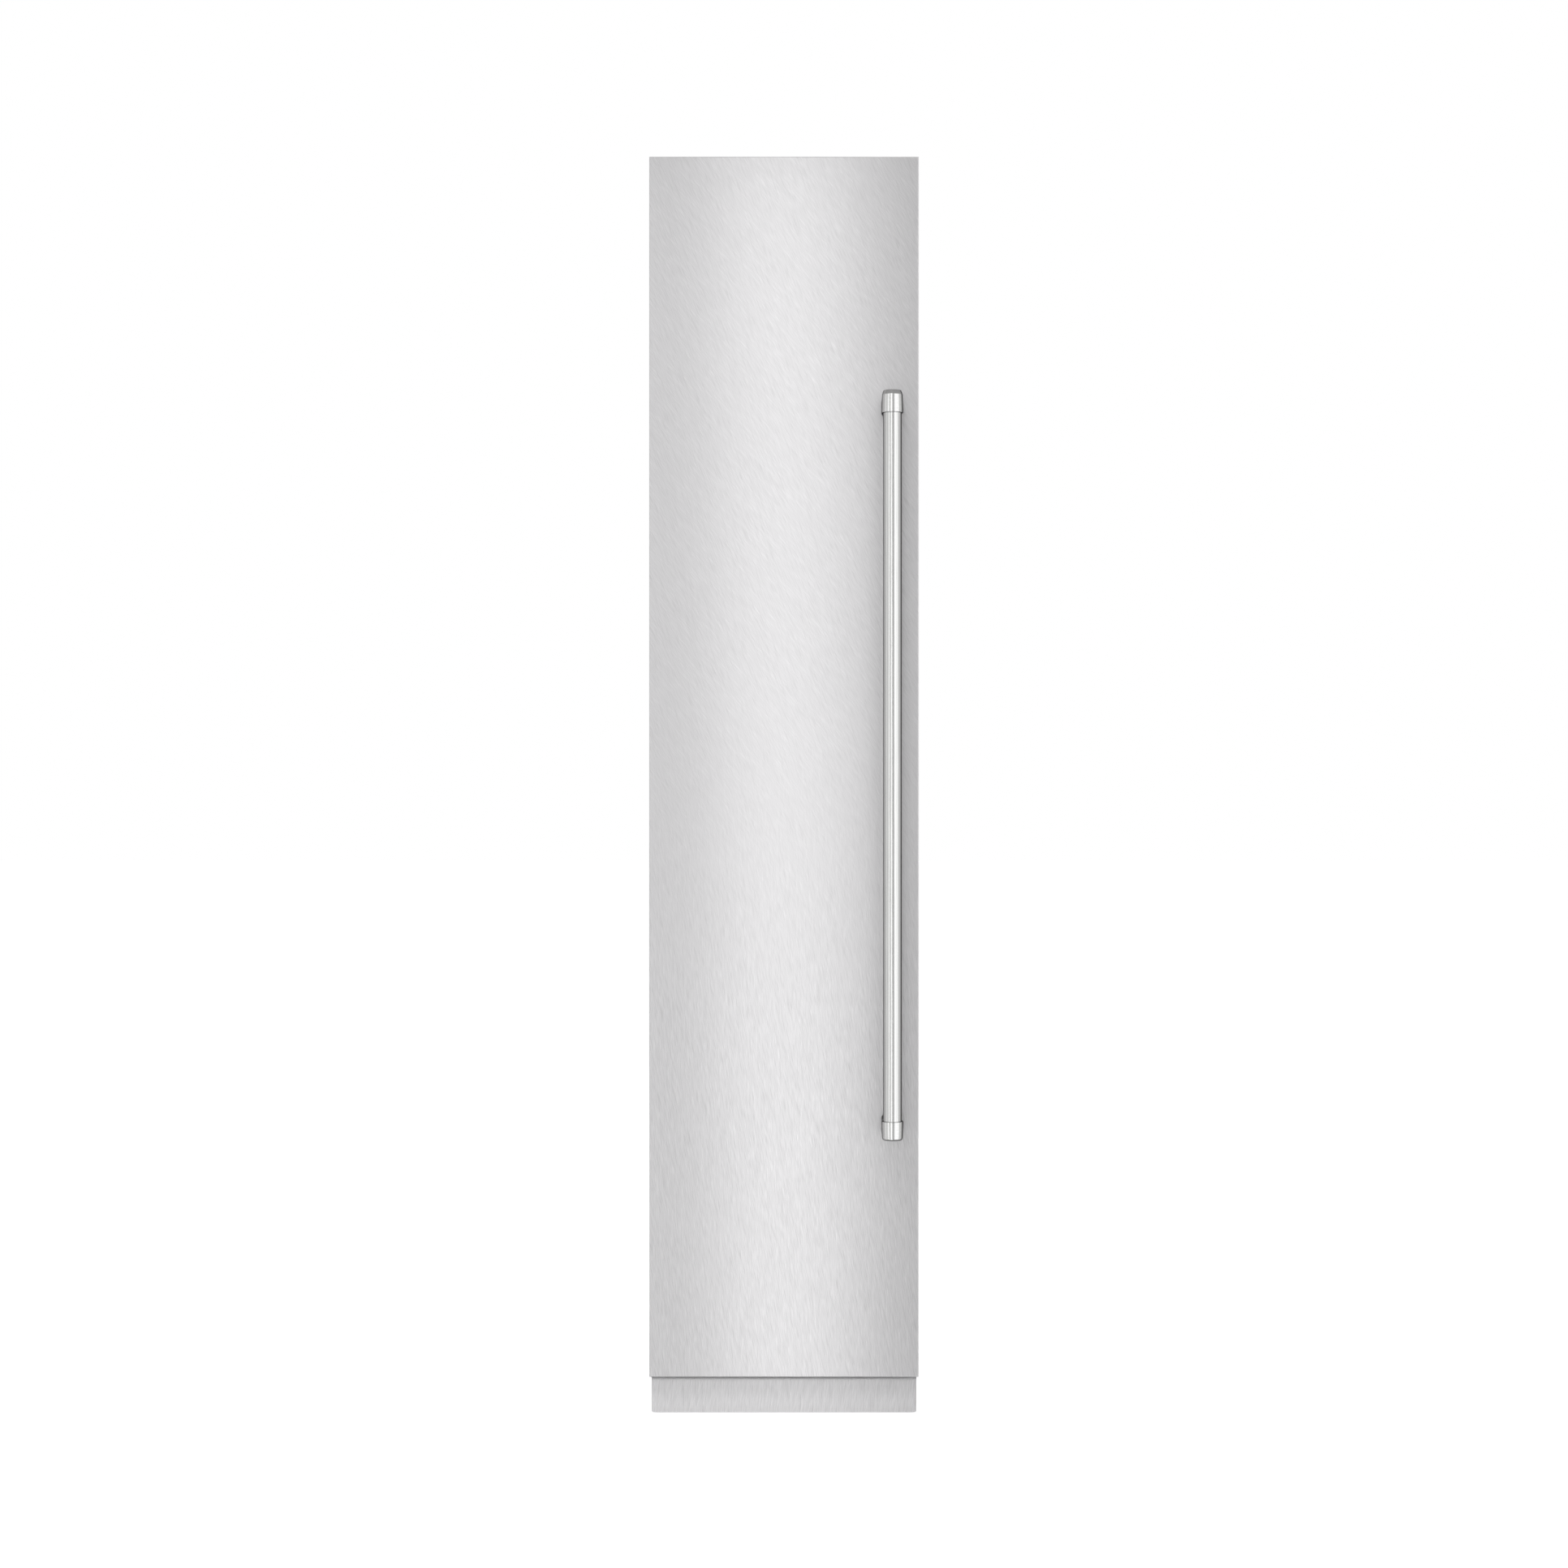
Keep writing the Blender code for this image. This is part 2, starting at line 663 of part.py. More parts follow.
def make_shell(door):
    """The steel wrap of the insulated inner door, open towards the freezer."""
    half = SHELL_WIDTH / 2
    back = SHELL_BACK - DOOR_LINER_WALL - FIT
    shell = make(
        "door_shell",
        box((-half, half), deep(SHELL_FRONT, back), (SHELL_BOTTOM, SHELL_TOP)),
        painted_grey,
        door,
    )
    inner = half - SHELL_SHEET
    low = SHELL_BOTTOM + SHELL_SHEET
    high = SHELL_TOP - SHELL_SHEET
    cut(shell, box((-inner, inner), deep(SHELL_FRONT + SHELL_SHEET, back + OVERRUN), (low, high)))
    cut(shell, bush_hole(SHELL_BOTTOM - OVERRUN, SHELL_BOTTOM + OVERRUN))
    return cut(shell, bush_hole(SHELL_TOP - OVERRUN, SHELL_TOP + OVERRUN))


def make_door_foam(door):
    edge = SHELL_SHEET + FIT
    half = SHELL_WIDTH / 2 - edge
    back = SHELL_BACK - DOOR_LINER_WALL - FIT
    bm = box((-half, half), deep(SHELL_FRONT + edge, back), (SHELL_BOTTOM + edge, SHELL_TOP - edge))
    foam = make("door_foam", bm, insulation, door)
    cut(foam, bush_hole(SHELL_BOTTOM - OVERRUN, bottom_bush_top() + FIT))
    return cut(foam, bush_hole(top_bush_bottom() - FIT, SHELL_TOP + OVERRUN))


def make_door_liner(door):
    """The plastic inner face of the door, with two ridges that carry the bins."""
    half = SHELL_WIDTH / 2
    liner = make(
        "door_liner",
        box((-half, half), deep(SHELL_BACK - DOOR_LINER_WALL, SHELL_BACK), (SHELL_BOTTOM, SHELL_TOP)),
        white_liner,
        door,
    )
    ridge_inner = RIDGE_OUTER_HALF - RIDGE_WIDTH
    ridge_back = SHELL_BACK + RIDGE_DEPTH
    for side in (-1, 1):
        across = sorted((side * RIDGE_OUTER_HALF, side * ridge_inner))
        ridge = box(across, deep(SHELL_BACK - DOOR_LINER_WALL / 2, ridge_back), (RIDGE_BOTTOM, RIDGE_TOP))
        round_edges(ridge, RIDGE_EDGE_RADIUS, lambda a, b: min(a.y, b.y) > behind(SHELL_BACK), 2)
        join(liner, ridge)
        for index in range(BIN_COUNT):
            lug_across = sorted((side * (ridge_inner + LUG_WIDTH / 2), side * (ridge_inner - LUG_WIDTH)))
            lug_top = bin_bottom(index) - FIT
            lug_y = deep(SHELL_BACK - DOOR_LINER_WALL / 2, SHELL_BACK + LUG_DEPTH)
            join(liner, box(lug_across, lug_y, (lug_top - LUG_HEIGHT, lug_top)))
    return liner


def make_gasket(door):
    """The magnetic seal: a frame that fills the gap between door and cabinet."""
    near = SHELL_BACK + FIT
    far = CABINET_FRONT - FIT
    low = SHELL_BOTTOM + GASKET_BOTTOM_INSET
    high = SHELL_TOP - GASKET_TOP_INSET
    gasket = make(
        "door_gasket",
        box(around(0, GASKET_OUTER_HALF), deep(near, far), (low, high)),
        grey_seal,
        door,
    )
    inner = GASKET_OUTER_HALF - GASKET_WIDTH
    hole = (low + GASKET_WIDTH, high - GASKET_WIDTH)
    return cut(gasket, box(around(0, inner), deep(near - OVERRUN, far + OVERRUN), hole))


def make_bin(door, index):
    """A door bin whose front wall, towards the freezer, is lower than its back."""
    name = f"door_bin_{index + 1}"
    low = bin_bottom(index)
    near = SHELL_BACK + FIT
    far = near + BIN_DEPTH
    across = around(0, BIN_HALF_WIDTH)
    bin_tray = tray(name, across, deep(near, far), up(low, BIN_HEIGHT), BIN_WALL, clear_plastic, door)
    lip = far - BIN_WALL * 2
    wide = around(0, BIN_HALF_WIDTH + OVERRUN)
    cut(bin_tray, box(wide, deep(lip, far + OVERRUN), up(low + BIN_FRONT_HEIGHT, BIN_HEIGHT)))
    return bin_tray


def make_handle_tube(door):
    """The upright tube, whose ends sit in the sockets of the two caps."""
    low = HANDLE_BOTTOM + BOTTOM_COLLAR_HEIGHT - SOCKET_DEPTH + FIT
    high = HANDLE_TOP - TOP_COLLAR_HEIGHT + SOCKET_DEPTH - FIT
    start = (HANDLE_X, behind(HANDLE_SETBACK), low)
    tube = make(
        "handle_tube",
        rod(start, (0, 0, 1), high - low, TUBE_DIAMETER, FINE_SIDES),
        brushed_steel,
        door,
        smooth=True,
    )
    bore = (HANDLE_X, behind(HANDLE_SETBACK), low - OVERRUN)
    length = high - low + 2 * OVERRUN
    return cut(tube, rod(bore, (0, 0, 1), length, TUBE_DIAMETER - 2 * TUBE_WALL, FINE_SIDES))


def make_handle_cap(door, name, end, collar_height, inward, rise):
    """An end cap: a chamfered collar round the tube and the standoff that ties it to the door."""
    bm = bmesh.new()
    centre = (HANDLE_X, behind(HANDLE_SETBACK), end)
    body = collar_height - COLLAR_CHAMFER
    chamfer_start = (HANDLE_X, behind(HANDLE_SETBACK), end + inward * COLLAR_CHAMFER)
    small = COLLAR_DIAMETER - 2 * COLLAR_CHAMFER
    add_rod(bm, chamfer_start, (0, 0, inward), body, COLLAR_DIAMETER, FINE_SIDES)
    cap = make(name, bm, polished_steel, door, smooth=True)
    tip = bmesh.new()
    length = COLLAR_CHAMFER
    add_rod(tip, centre, (0, 0, inward), length, small, FINE_SIDES, COLLAR_DIAMETER)
    join(cap, tip)
    height = collar_height * STANDOFF_HEIGHT_SHARE + rise
    low, high = sorted((end + inward * COLLAR_CHAMFER, end + inward * (COLLAR_CHAMFER + height)))
    block = box(around(HANDLE_X, STANDOFF_WIDTH / 2), deep(HANDLE_SETBACK, -FIT), (low, high))
    soften_upright(block, STANDOFF_EDGE_RADIUS, 2)
    join(cap, block)
    socket_start = (HANDLE_X, behind(HANDLE_SETBACK), end + inward * (collar_height - SOCKET_DEPTH))
    socket_diameter = TUBE_DIAMETER + LOOSE_FIT
    reach = SOCKET_DEPTH + rise + OVERRUN
    return cut(cap, rod(socket_start, (0, 0, inward), reach, socket_diameter, FINE_SIDES))


def make_bush(door, name, bottom, mouth):
    """A hinge bush with a blind bore that opens towards its bracket."""
    bush = make(
        name,
        rod((HINGE_X, HINGE_Y, bottom), (0, 0, 1), BUSH_LENGTH, BUSH_DIAMETER, FINE_SIDES),
        dark_plastic,
        door,
        smooth=True,
    )
    face = bottom if mouth < 0 else bottom + BUSH_LENGTH
    start = (HINGE_X, HINGE_Y, face + mouth * OVERRUN)
    reach = PIN_LENGTH + OVERRUN + FIT
    return cut(bush, rod(start, (0, 0, -mouth), reach, PIN_DIAMETER + 2 * FIT, FINE_SIDES))


def build_door():
    door = axis_empty("door_axis", (HINGE_X, HINGE_Y, 0))
    make_front_panel(door)
    make_panel_core(door)
    make_shell(door)
    make_door_foam(door)
    make_door_liner(door)
    make_gasket(door)
    for index in range(BIN_COUNT):
        make_bin(door, index)
    make_handle_tube(door)
    make_handle_cap(door, "handle_cap_top", HANDLE_TOP, TOP_COLLAR_HEIGHT, -1, 0)
    make_handle_cap(
        door, "handle_cap_bottom", HANDLE_BOTTOM, BOTTOM_COLLAR_HEIGHT, 1, BOTTOM_STANDOFF_RISE
    )
    make_bush(door, "hinge_bush_top", top_bush_bottom(), 1)
    make_bush(door, "hinge_bush_bottom", bottom_bush_top() - BUSH_LENGTH, -1)


# Cabinet
def make_outer_case():
    """The painted steel wrap: two sides and a top."""
    half = CABINET_WIDTH / 2
    wrap = make(
        "outer_case",
        box((-half, half), deep(CABINET_FRONT, BODY_DEPTH), (BASE_BOTTOM, CABINET_TOP)),
        painted_grey,
    )
    inner = half - CABINET_SHEET
    near = CABINET_FRONT - OVERRUN
    far = BODY_DEPTH + OVERRUN
    high = CABINET_TOP - CABINET_SHEET
    return cut(wrap, box((-inner, inner), deep(near, far), (BASE_BOTTOM - OVERRUN, high)))


def make_back_panel():
    across = around(0, CABINET_INSIDE_HALF)
    through = deep(BODY_DEPTH - CABINET_SHEET, BODY_DEPTH)
    return make("back_panel", box(across, through, (MACHINE_TOP + FIT, FOAM_TOP)), zinc_steel)


def make_front_frame():
    """The steel frame round the opening, which the gasket closes on."""
    near = CABINET_FRONT
    far = CABINET_FRONT + FRAME_SHEET
    frame = make(
        "front_frame",
        box(around(0, CABINET_INSIDE_HALF), deep(near, far), (BASE_TOP + FIT, FOAM_TOP)),
        painted_grey,
    )
    hole = deep(near - OVERRUN, far + OVERRUN)
    return cut(frame, box(around(0, INNER_HALF_WIDTH), hole, (INNER_FLOOR, INNER_TOP)))


def room_outline(x, grow, front):
    """Side view of the freezer room, with the step over the machine room, as points at one X."""
    side = [
        (front, INNER_FLOOR - grow),
        (STEP_FRONT + grow, INNER_FLOOR - grow),
        (STEP_FRONT + grow, STEP_TOP - grow),
        (INNER_BACK + grow, STEP_TOP - grow),
        (INNER_BACK + grow, INNER_TOP + grow),
        (front, INNER_TOP + grow),
    ]
    return [(x, behind(distance), height) for distance, height in side]


def room(grow, front):
    """The freezer room as a solid, this much larger all round."""
    half = INNER_HALF_WIDTH + grow
    bm = bmesh.new()
    add_outline(bm, room_outline(-half, grow, front), (2 * half, 0, 0))
    return bm


def make_foam():
    """The foamed insulation between the wrap and the liner."""
    foam = make(
        "cabinet_foam",
        box(around(0, CABINET_INSIDE_HALF), deep(FOAM_FRONT, FOAM_BACK), (BASE_TOP + FIT, FOAM_TOP)),
        insulation,
    )
    wide = around(0, CABINET_INSIDE_HALF + OVERRUN)
    machine = deep(MACHINE_FRONT, FOAM_BACK + OVERRUN)
    cut(foam, box(wide, machine, (BASE_TOP - OVERRUN, MACHINE_TOP)))
    return cut(foam, room(LINER_WALL + FIT, FOAM_FRONT - OVERRUN))


def make_liner():
    """The white plastic room that holds the food."""
    liner = make("freezer_liner", room(LINER_WALL, FOAM_FRONT), white_liner)
    return cut(liner, room(0, FOAM_FRONT - OVERRUN))


def make_base():
    """The steel base: hollow from below in front, a pan for the machine room behind."""
    half = CABINET_INSIDE_HALF
    base = make(
        "base_frame",
        box((-half, half), deep(CABINET_FRONT + FIT, FOAM_BACK), (BASE_BOTTOM, BASE_TOP)),
        zinc_steel,
    )
    pocket = around(0, half - BASE_WALL)
    front = deep(CABINET_FRONT + FIT + BASE_WALL, MACHINE_FRONT - BASE_WALL)
    cut(base, box(pocket, front, (BASE_BOTTOM - OVERRUN, BASE_TOP - BASE_WALL)))
    rear = deep(MACHINE_FRONT, FOAM_BACK - BASE_WALL)
    cut(base, box(pocket, rear, (BASE_FLOOR, BASE_TOP + OVERRUN)))
    for side in (-1, 1):
        add_foot_block(base, side)
        add_roller_fork(base, side)
    return base


def foot_x(side):
    return side * (CABINET_WIDTH / 2 - FOOT_INSET)


def stem_top():
    return BASE_BOTTOM + (BASE_TOP - BASE_BOTTOM) * FOOT_STEM_SHARE


def add_foot_block(base, side):
    """The threaded block that a levelling foot screws into."""
    centre = foot_x(side)
    half = FOOT_BLOCK / 2
    block = box(
        around(centre, half),
        around(behind(FOOT_SETBACK), half),
        (BASE_BOTTOM, BASE_TOP - BASE_WALL / 2),
    )
    join(base, block)
    start = (centre, behind(FOOT_SETBACK), BASE_BOTTOM - OVERRUN)
    reach = stem_top() - BASE_BOTTOM + OVERRUN + FIT
    cut(base, rod(start, (0, 0, 1), reach, FOOT_STEM_DIAMETER + TURN_FIT, FINE_SIDES))


def roller_x(side):
    return side * (CABINET_WIDTH / 2 - ROLLER_INSET)


def add_roller_fork(base, side):
    """Two ears and an axle under the base, for a rear roller."""
    centre = roller_x(side)
    gap = ROLLER_WIDTH / 2 + SLIDE_FIT
    y = around(behind(ROLLER_SETBACK), FORK_LENGTH / 2)
    z = (BASE_BOTTOM - FORK_DROP, BASE_BOTTOM + BASE_WALL / 2)
    for ear in (-1, 1):
        x = sorted((centre + ear * gap, centre + ear * (gap + FORK_THICKNESS)))
        join(base, box(x, y, z))
    reach = gap + FORK_THICKNESS / 2
    start = (centre - reach, behind(ROLLER_SETBACK), ROLLER_DIAMETER / 2)
    join(base, rod(start, (1, 0, 0), 2 * reach, AXLE_DIAMETER))


def make_roller(name, side):
    """A rear roller on its axle."""
    centre = (roller_x(side), behind(ROLLER_SETBACK), ROLLER_DIAMETER / 2)
    carrier = axis_empty(f"{name}_axis", centre)
    start = (centre[0] - ROLLER_WIDTH / 2, centre[1], centre[2])
    wheel = rod(start, (1, 0, 0), ROLLER_WIDTH, ROLLER_DIAMETER, FINE_SIDES)
    roller = make(name, wheel, dark_plastic, carrier, smooth=True)
    soften(roller, ROLLER_EDGE_RADIUS)
    bore = (start[0] - OVERRUN, centre[1], centre[2])
    reach = ROLLER_WIDTH + 2 * OVERRUN
    return cut(roller, rod(bore, (1, 0, 0), reach, AXLE_DIAMETER + TURN_FIT))


def make_foot(name, side):
    """A levelling foot: pad, hexagon and threaded stem in one piece."""
    carrier = axis_empty(f"{name}_axis", (foot_x(side), behind(FOOT_SETBACK), 0))
    centre = carrier.location.copy()
    pad = rod(centre, (0, 0, 1), FOOT_PAD_HEIGHT, FOOT_PAD_DIAMETER, FINE_SIDES)
    foot = make(name, pad, dark_plastic, carrier, smooth=True)
    overlap = FOOT_PAD_HEIGHT / 2
    nut_start = centre + Vector((0, 0, FOOT_PAD_HEIGHT - overlap))
    join(foot, rod(nut_start, (0, 0, 1), FOOT_NUT_HEIGHT + overlap, FOOT_NUT_DIAMETER, 6))
    stem_start = centre + Vector((0, 0, FOOT_PAD_HEIGHT))
    reach = stem_top() - FOOT_PAD_HEIGHT
    return join(foot, rod(stem_start, (0, 0, 1), reach, FOOT_STEM_DIAMETER))


def bent_block(half, near, far, low, high, radius):
    """A block whose front top edge is bent, as the toe kick's outside and its hollow are."""

    def at_bend(place):
        return abs(place.z - high) < FIT and abs(place.y - behind(near)) < FIT

    block = box((-half, half), deep(near, far), (low, high))
    return round_edges(block, radius, lambda a, b: at_bend(a) and at_bend(b))


def make_kick_plate():
    """The toe kick: a folded sheet with a bent top, side returns and tabs on the cabinet's front."""
    half = KICK_WIDTH / 2
    back = CABINET_FRONT - FIT

    def is_low(place):
        return abs(place.z - KICK_BOTTOM) < FIT

    bm = bent_block(half, KICK_SETBACK, back, KICK_BOTTOM, KICK_TOP, KICK_TOP_RADIUS)
    round_edges(bm, KICK_CORNER_RADIUS, lambda a, b: is_low(a) and is_low(b) and abs(a.x - b.x) < FIT)
    plate = make("kick_plate", bm, brushed_steel)
    inner = half - KICK_SHEET
    under = KICK_TOP - KICK_SHEET
    below = KICK_BOTTOM - OVERRUN
    near = KICK_SETBACK + KICK_SHEET
    bend = KICK_TOP_RADIUS - KICK_SHEET
    cut(plate, bent_block(inner, near, back - KICK_SHEET, below, under, bend))
    above = (under - KICK_SHEET, KICK_TOP + OVERRUN)
    cut(plate, box((-inner, inner), deep(KICK_SETBACK + KICK_FLANGE, back - KICK_SHEET), above))
    mouth = half - KICK_TAB
    rear = deep(back - KICK_SHEET - OVERRUN, back + OVERRUN)
    return cut(plate, box((-mouth, mouth), rear, (below, KICK_TOP + OVERRUN)))


def make_bottom_bracket():
    """The lower hinge bracket: an angle on the cabinet's front with an upright pin."""
    left = HINGE_X - BRACKET_NOSE
    top = SHELL_BOTTOM - BUSH_STAND
    low = top - BRACKET_THICKNESS
    back = CABINET_FRONT - FIT
    x = up(left, BRACKET_WIDTH)
    near = HINGE_SETBACK - BRACKET_NOSE
    bracket = make("hinge_bracket_bottom", box(x, deep(near, back), (low, top)), zinc_steel)
    join(bracket, box(x, deep(back - BRACKET_THICKNESS, back), up(low, BRACKET_FLANGE_HEIGHT)))
    start = (HINGE_X, HINGE_Y, top - BRACKET_THICKNESS / 2)
    reach = PIN_LENGTH + BRACKET_THICKNESS / 2 - FIT
    return join(bracket, rod(start, (0, 0, 1), reach, PIN_DIAMETER, FINE_SIDES))


def make_top_bracket():
    """The upper hinge bracket: a plate screwed on the cabinet's top with a hanging pin."""
    left = HINGE_X - BRACKET_NOSE
    low = CABINET_TOP + FIT
    near = HINGE_SETBACK - BRACKET_NOSE
    x = up(left, BRACKET_WIDTH)
    y = deep(near, near + TOP_BRACKET_LENGTH)
    top = low + BRACKET_THICKNESS
    bracket = make("hinge_bracket_top", box(x, y, (low, top)), zinc_steel)
    tip = top_bush_bottom() + BUSH_LENGTH - PIN_LENGTH + FIT
    start = (HINGE_X, HINGE_Y, tip)
    reach = low + BRACKET_THICKNESS / 2 - tip
    join(bracket, rod(start, (0, 0, 1), reach, PIN_DIAMETER, FINE_SIDES))
    middle = left + BRACKET_WIDTH / 2
    for place in (CABINET_FRONT + SCREW_HEAD_DIAMETER, near + TOP_BRACKET_LENGTH - SCREW_HEAD_DIAMETER):
        head = (middle, behind(place), top - BRACKET_THICKNESS / 2)
        reach = SCREW_HEAD_HEIGHT + BRACKET_THICKNESS / 2
        join(bracket, rod(head, (0, 0, 1), reach, SCREW_HEAD_DIAMETER))
    return bracket


def build_cabinet():
    make_outer_case()
    make_back_panel()
    make_front_frame()
    make_foam()
    make_liner()
    make_base()
    make_kick_plate()
    make_bottom_bracket()
    make_top_bracket()
    make_foot("foot_left", -1)
    make_foot("foot_right", 1)
    make_roller("roller_left", -1)
    make_roller("roller_right", 1)


# Drawers, shelves and their side racks
DRAWERS = (
    ("drawer_lower", LOWER_DRAWER_BOTTOM, LOWER_DRAWER_HEIGHT, LOWER_DRAWER_DEPTH),
    ("drawer_upper", UPPER_DRAWER_BOTTOM, UPPER_DRAWER_HEIGHT, UPPER_DRAWER_DEPTH),
)


def runner_bottom(bottom, height):
    """Height of a drawer's side runner."""
    return bottom + height * RUNNER_LIFT_SHARE


def rack_top():
    return shelf_top(SHELF_COUNT - 1) - SHELF_THICKNESS - FIT


def make_rack(name, side):
    """A moulded side panel with a channel for each drawer runner and a ledge for each shelf."""
    wall = side * (INNER_HALF_WIDTH - FIT)
    face = side * RACK_HALF
    plate_x = sorted((wall, face))
    reach_x = sorted((side * (RACK_HALF + RACK_THICKNESS / 2), side * (RACK_HALF - CHANNEL_REACH)))
    bottom = STEP_TOP + FIT
    plate_y = deep(RACK_FRONT, RACK_BACK)
    rack = make(name, box(plate_x, plate_y, (bottom, rack_top())), white_liner)
    low = INNER_FLOOR + FIT
    front_y = deep(RACK_FRONT, STEP_FRONT - FIT)
    join(rack, box(plate_x, front_y, (low, bottom + OVERRUN)))
    for _, drawer_bottom, height, depth in DRAWERS:
        y = deep(RACK_FRONT, DRAWER_SETBACK + depth)
        lower = runner_bottom(drawer_bottom, height) - SLIDE_FIT
        upper = lower + RUNNER_HEIGHT + 2 * SLIDE_FIT
        join(rack, box(reach_x, y, (lower - CHANNEL_LIP, lower)))
        join(rack, box(reach_x, y, (upper, upper + CHANNEL_LIP)))
    for index in range(SHELF_COUNT):
        top = shelf_top(index) - SHELF_THICKNESS - FIT
        y = deep(SHELF_SETBACK, RACK_BACK)
        join(rack, box(reach_x, y, (top - LEDGE_HEIGHT, top)))
    return rack


def make_drawer(name, bottom, height, depth):
    """A plastic drawer with side runners, and its front with a grip recess."""
    front = behind(DRAWER_SETBACK)
    carrier = axis_empty(f"{name}_axis", (0, front, bottom))
    near = DRAWER_SETBACK + DRAWER_FRONT_THICKNESS + FIT
    far = DRAWER_SETBACK + depth
    y = deep(near, far)
    tub = tray(
        name, around(0, DRAWER_HALF_WIDTH), y, up(bottom, height), DRAWER_WALL, clear_plastic, carrier
    )
    runner_z = up(runner_bottom(bottom, height), RUNNER_HEIGHT)
    runner_y = deep(DRAWER_SETBACK + RUNNER_RECESS, far - OVERRUN)
    for side in (-1, 1):
        runner_x = sorted((side * (DRAWER_HALF_WIDTH - DRAWER_WALL / 2), side * (RACK_HALF - SLIDE_FIT)))
        join(tub, box(runner_x, runner_y, runner_z))
    rim = (bottom + height - DRAWER_SIDE_CUT, bottom + height + OVERRUN)
    cut_y = deep(near + DRAWER_SIDE_CUT, far - DRAWER_SIDE_CUT)
    cut(tub, box(around(0, DRAWER_HALF_WIDTH + OVERRUN), cut_y, rim))
    face = box(
        around(0, DRAWER_FRONT_HALF_WIDTH),
        deep(DRAWER_SETBACK, DRAWER_SETBACK + DRAWER_FRONT_THICKNESS),
        up(bottom, height),
    )
    cover = make(f"{name}_front", soften_upright(face, DRAWER_FRONT_RADIUS), white_liner, carrier)
    grip_top = bottom + height
    grip_y = deep(DRAWER_SETBACK - OVERRUN, DRAWER_SETBACK + GRIP_DEPTH)
    grip_z = (grip_top - GRIP_HEIGHT, grip_top + OVERRUN)
    cut(cover, box(around(0, GRIP_HALF_WIDTH), grip_y, grip_z))


def make_shelf(index):
    """A glass shelf: a plastic rim with a rebate, and the pane that lies in it."""
    top = shelf_top(index)
    half = RACK_HALF - FIT
    far = SHELF_SETBACK + SHELF_DEPTH
    rim = make(
        f"shelf_frame_{index + 1}",
        box((-half, half), deep(SHELF_SETBACK, far), (top - SHELF_THICKNESS, top)),
        white_liner,
    )
    seat = half - SHELF_RIM
    hole = seat - GLASS_BEARING
    rebate = (top - GLASS_THICKNESS - FIT, top + OVERRUN)
    cut(rim, box((-seat, seat), deep(SHELF_SETBACK + SHELF_RIM, far - SHELF_RIM), rebate))
    edge = SHELF_RIM + GLASS_BEARING
    through = (top - SHELF_THICKNESS - OVERRUN, top)
    cut(rim, box((-hole, hole), deep(SHELF_SETBACK + edge, far - edge), through))
    pane_half = seat - FIT
    pane_y = deep(SHELF_SETBACK + SHELF_RIM + FIT, far - SHELF_RIM - FIT)
    make(
        f"shelf_glass_{index + 1}",
        box((-pane_half, pane_half), pane_y, (top - GLASS_THICKNESS, top)),
        shelf_glass,
    )


def make_light(name, side):
    """A light strip on a side wall, near the opening."""
    wall = side * (INNER_HALF_WIDTH - FIT)
    x = sorted((wall, wall - side * LIGHT_THICKNESS))
    bm = box(x, deep(LIGHT_SETBACK, LIGHT_SETBACK + LIGHT_WIDTH), (LIGHT_BOTTOM, LIGHT_TOP))
    return make(name, bm, lamp_cover)


def make_control_panel():
    """The touch panel under the room's ceiling, with a sloping face."""
    low = INNER_TOP - FIT - CONTROL_HEIGHT
    high = INNER_TOP - FIT
    side = [
        (CONTROL_SETBACK, high),
        (CONTROL_SETBACK, high - CONTROL_HEIGHT + CONTROL_SLOPE),
        (CONTROL_SETBACK + CONTROL_SLOPE, low),
        (CONTROL_SETBACK + CONTROL_DEPTH, low),
        (CONTROL_SETBACK + CONTROL_DEPTH, high),
    ]
    bm = bmesh.new()
    points = [(-CONTROL_HALF_WIDTH, behind(distance), height) for distance, height in side]
    add_outline(bm, points, (2 * CONTROL_HALF_WIDTH, 0, 0))
    return make("control_panel", bm, dark_plastic)


def build_inside():
    make_rack("side_rack_left", -1)
    make_rack("side_rack_right", 1)
    for name, bottom, height, depth in DRAWERS:
        make_drawer(name, bottom, height, depth)
    for index in range(SHELF_COUNT):
        make_shelf(index)
    make_light("light_bar_left", -1)
    make_light("light_bar_right", 1)
    make_control_panel()


# Ice maker
def make_ice_maker():
    """The ice maker on the evaporator cover: a tray of moulds beside its drive housing."""
    x = up(ICE_MAKER_LEFT, ICE_MAKER_WIDTH)
    back = COVER_FRONT - FIT
    z = up(ICE_MAKER_BOTTOM, ICE_MAKER_HEIGHT)
    maker = make("ice_maker", box(x, deep(back - ICE_MAKER_DEPTH, back), z), white_liner)
    mould_x = (x[0] + ICE_TRAY_WALL, x[1] - ICE_MOTOR_WIDTH)
    mould_y = deep(back - ICE_MAKER_DEPTH + ICE_TRAY_WALL, back - ICE_TRAY_WALL)
    mould_z = (z[0] + ICE_TRAY_DEPTH, z[1] + OVERRUN)
    cut(maker, box(mould_x, mould_y, mould_z))
    front_x = (x[0] - OVERRUN, x[1] - ICE_MOTOR_WIDTH)
    front_y = deep(back - ICE_MAKER_DEPTH - OVERRUN, back - ICE_TRAY_WALL)
    front_z = (z[0] + 2 * ICE_TRAY_DEPTH, z[1] + OVERRUN)
    return cut(maker, box(front_x, front_y, front_z))


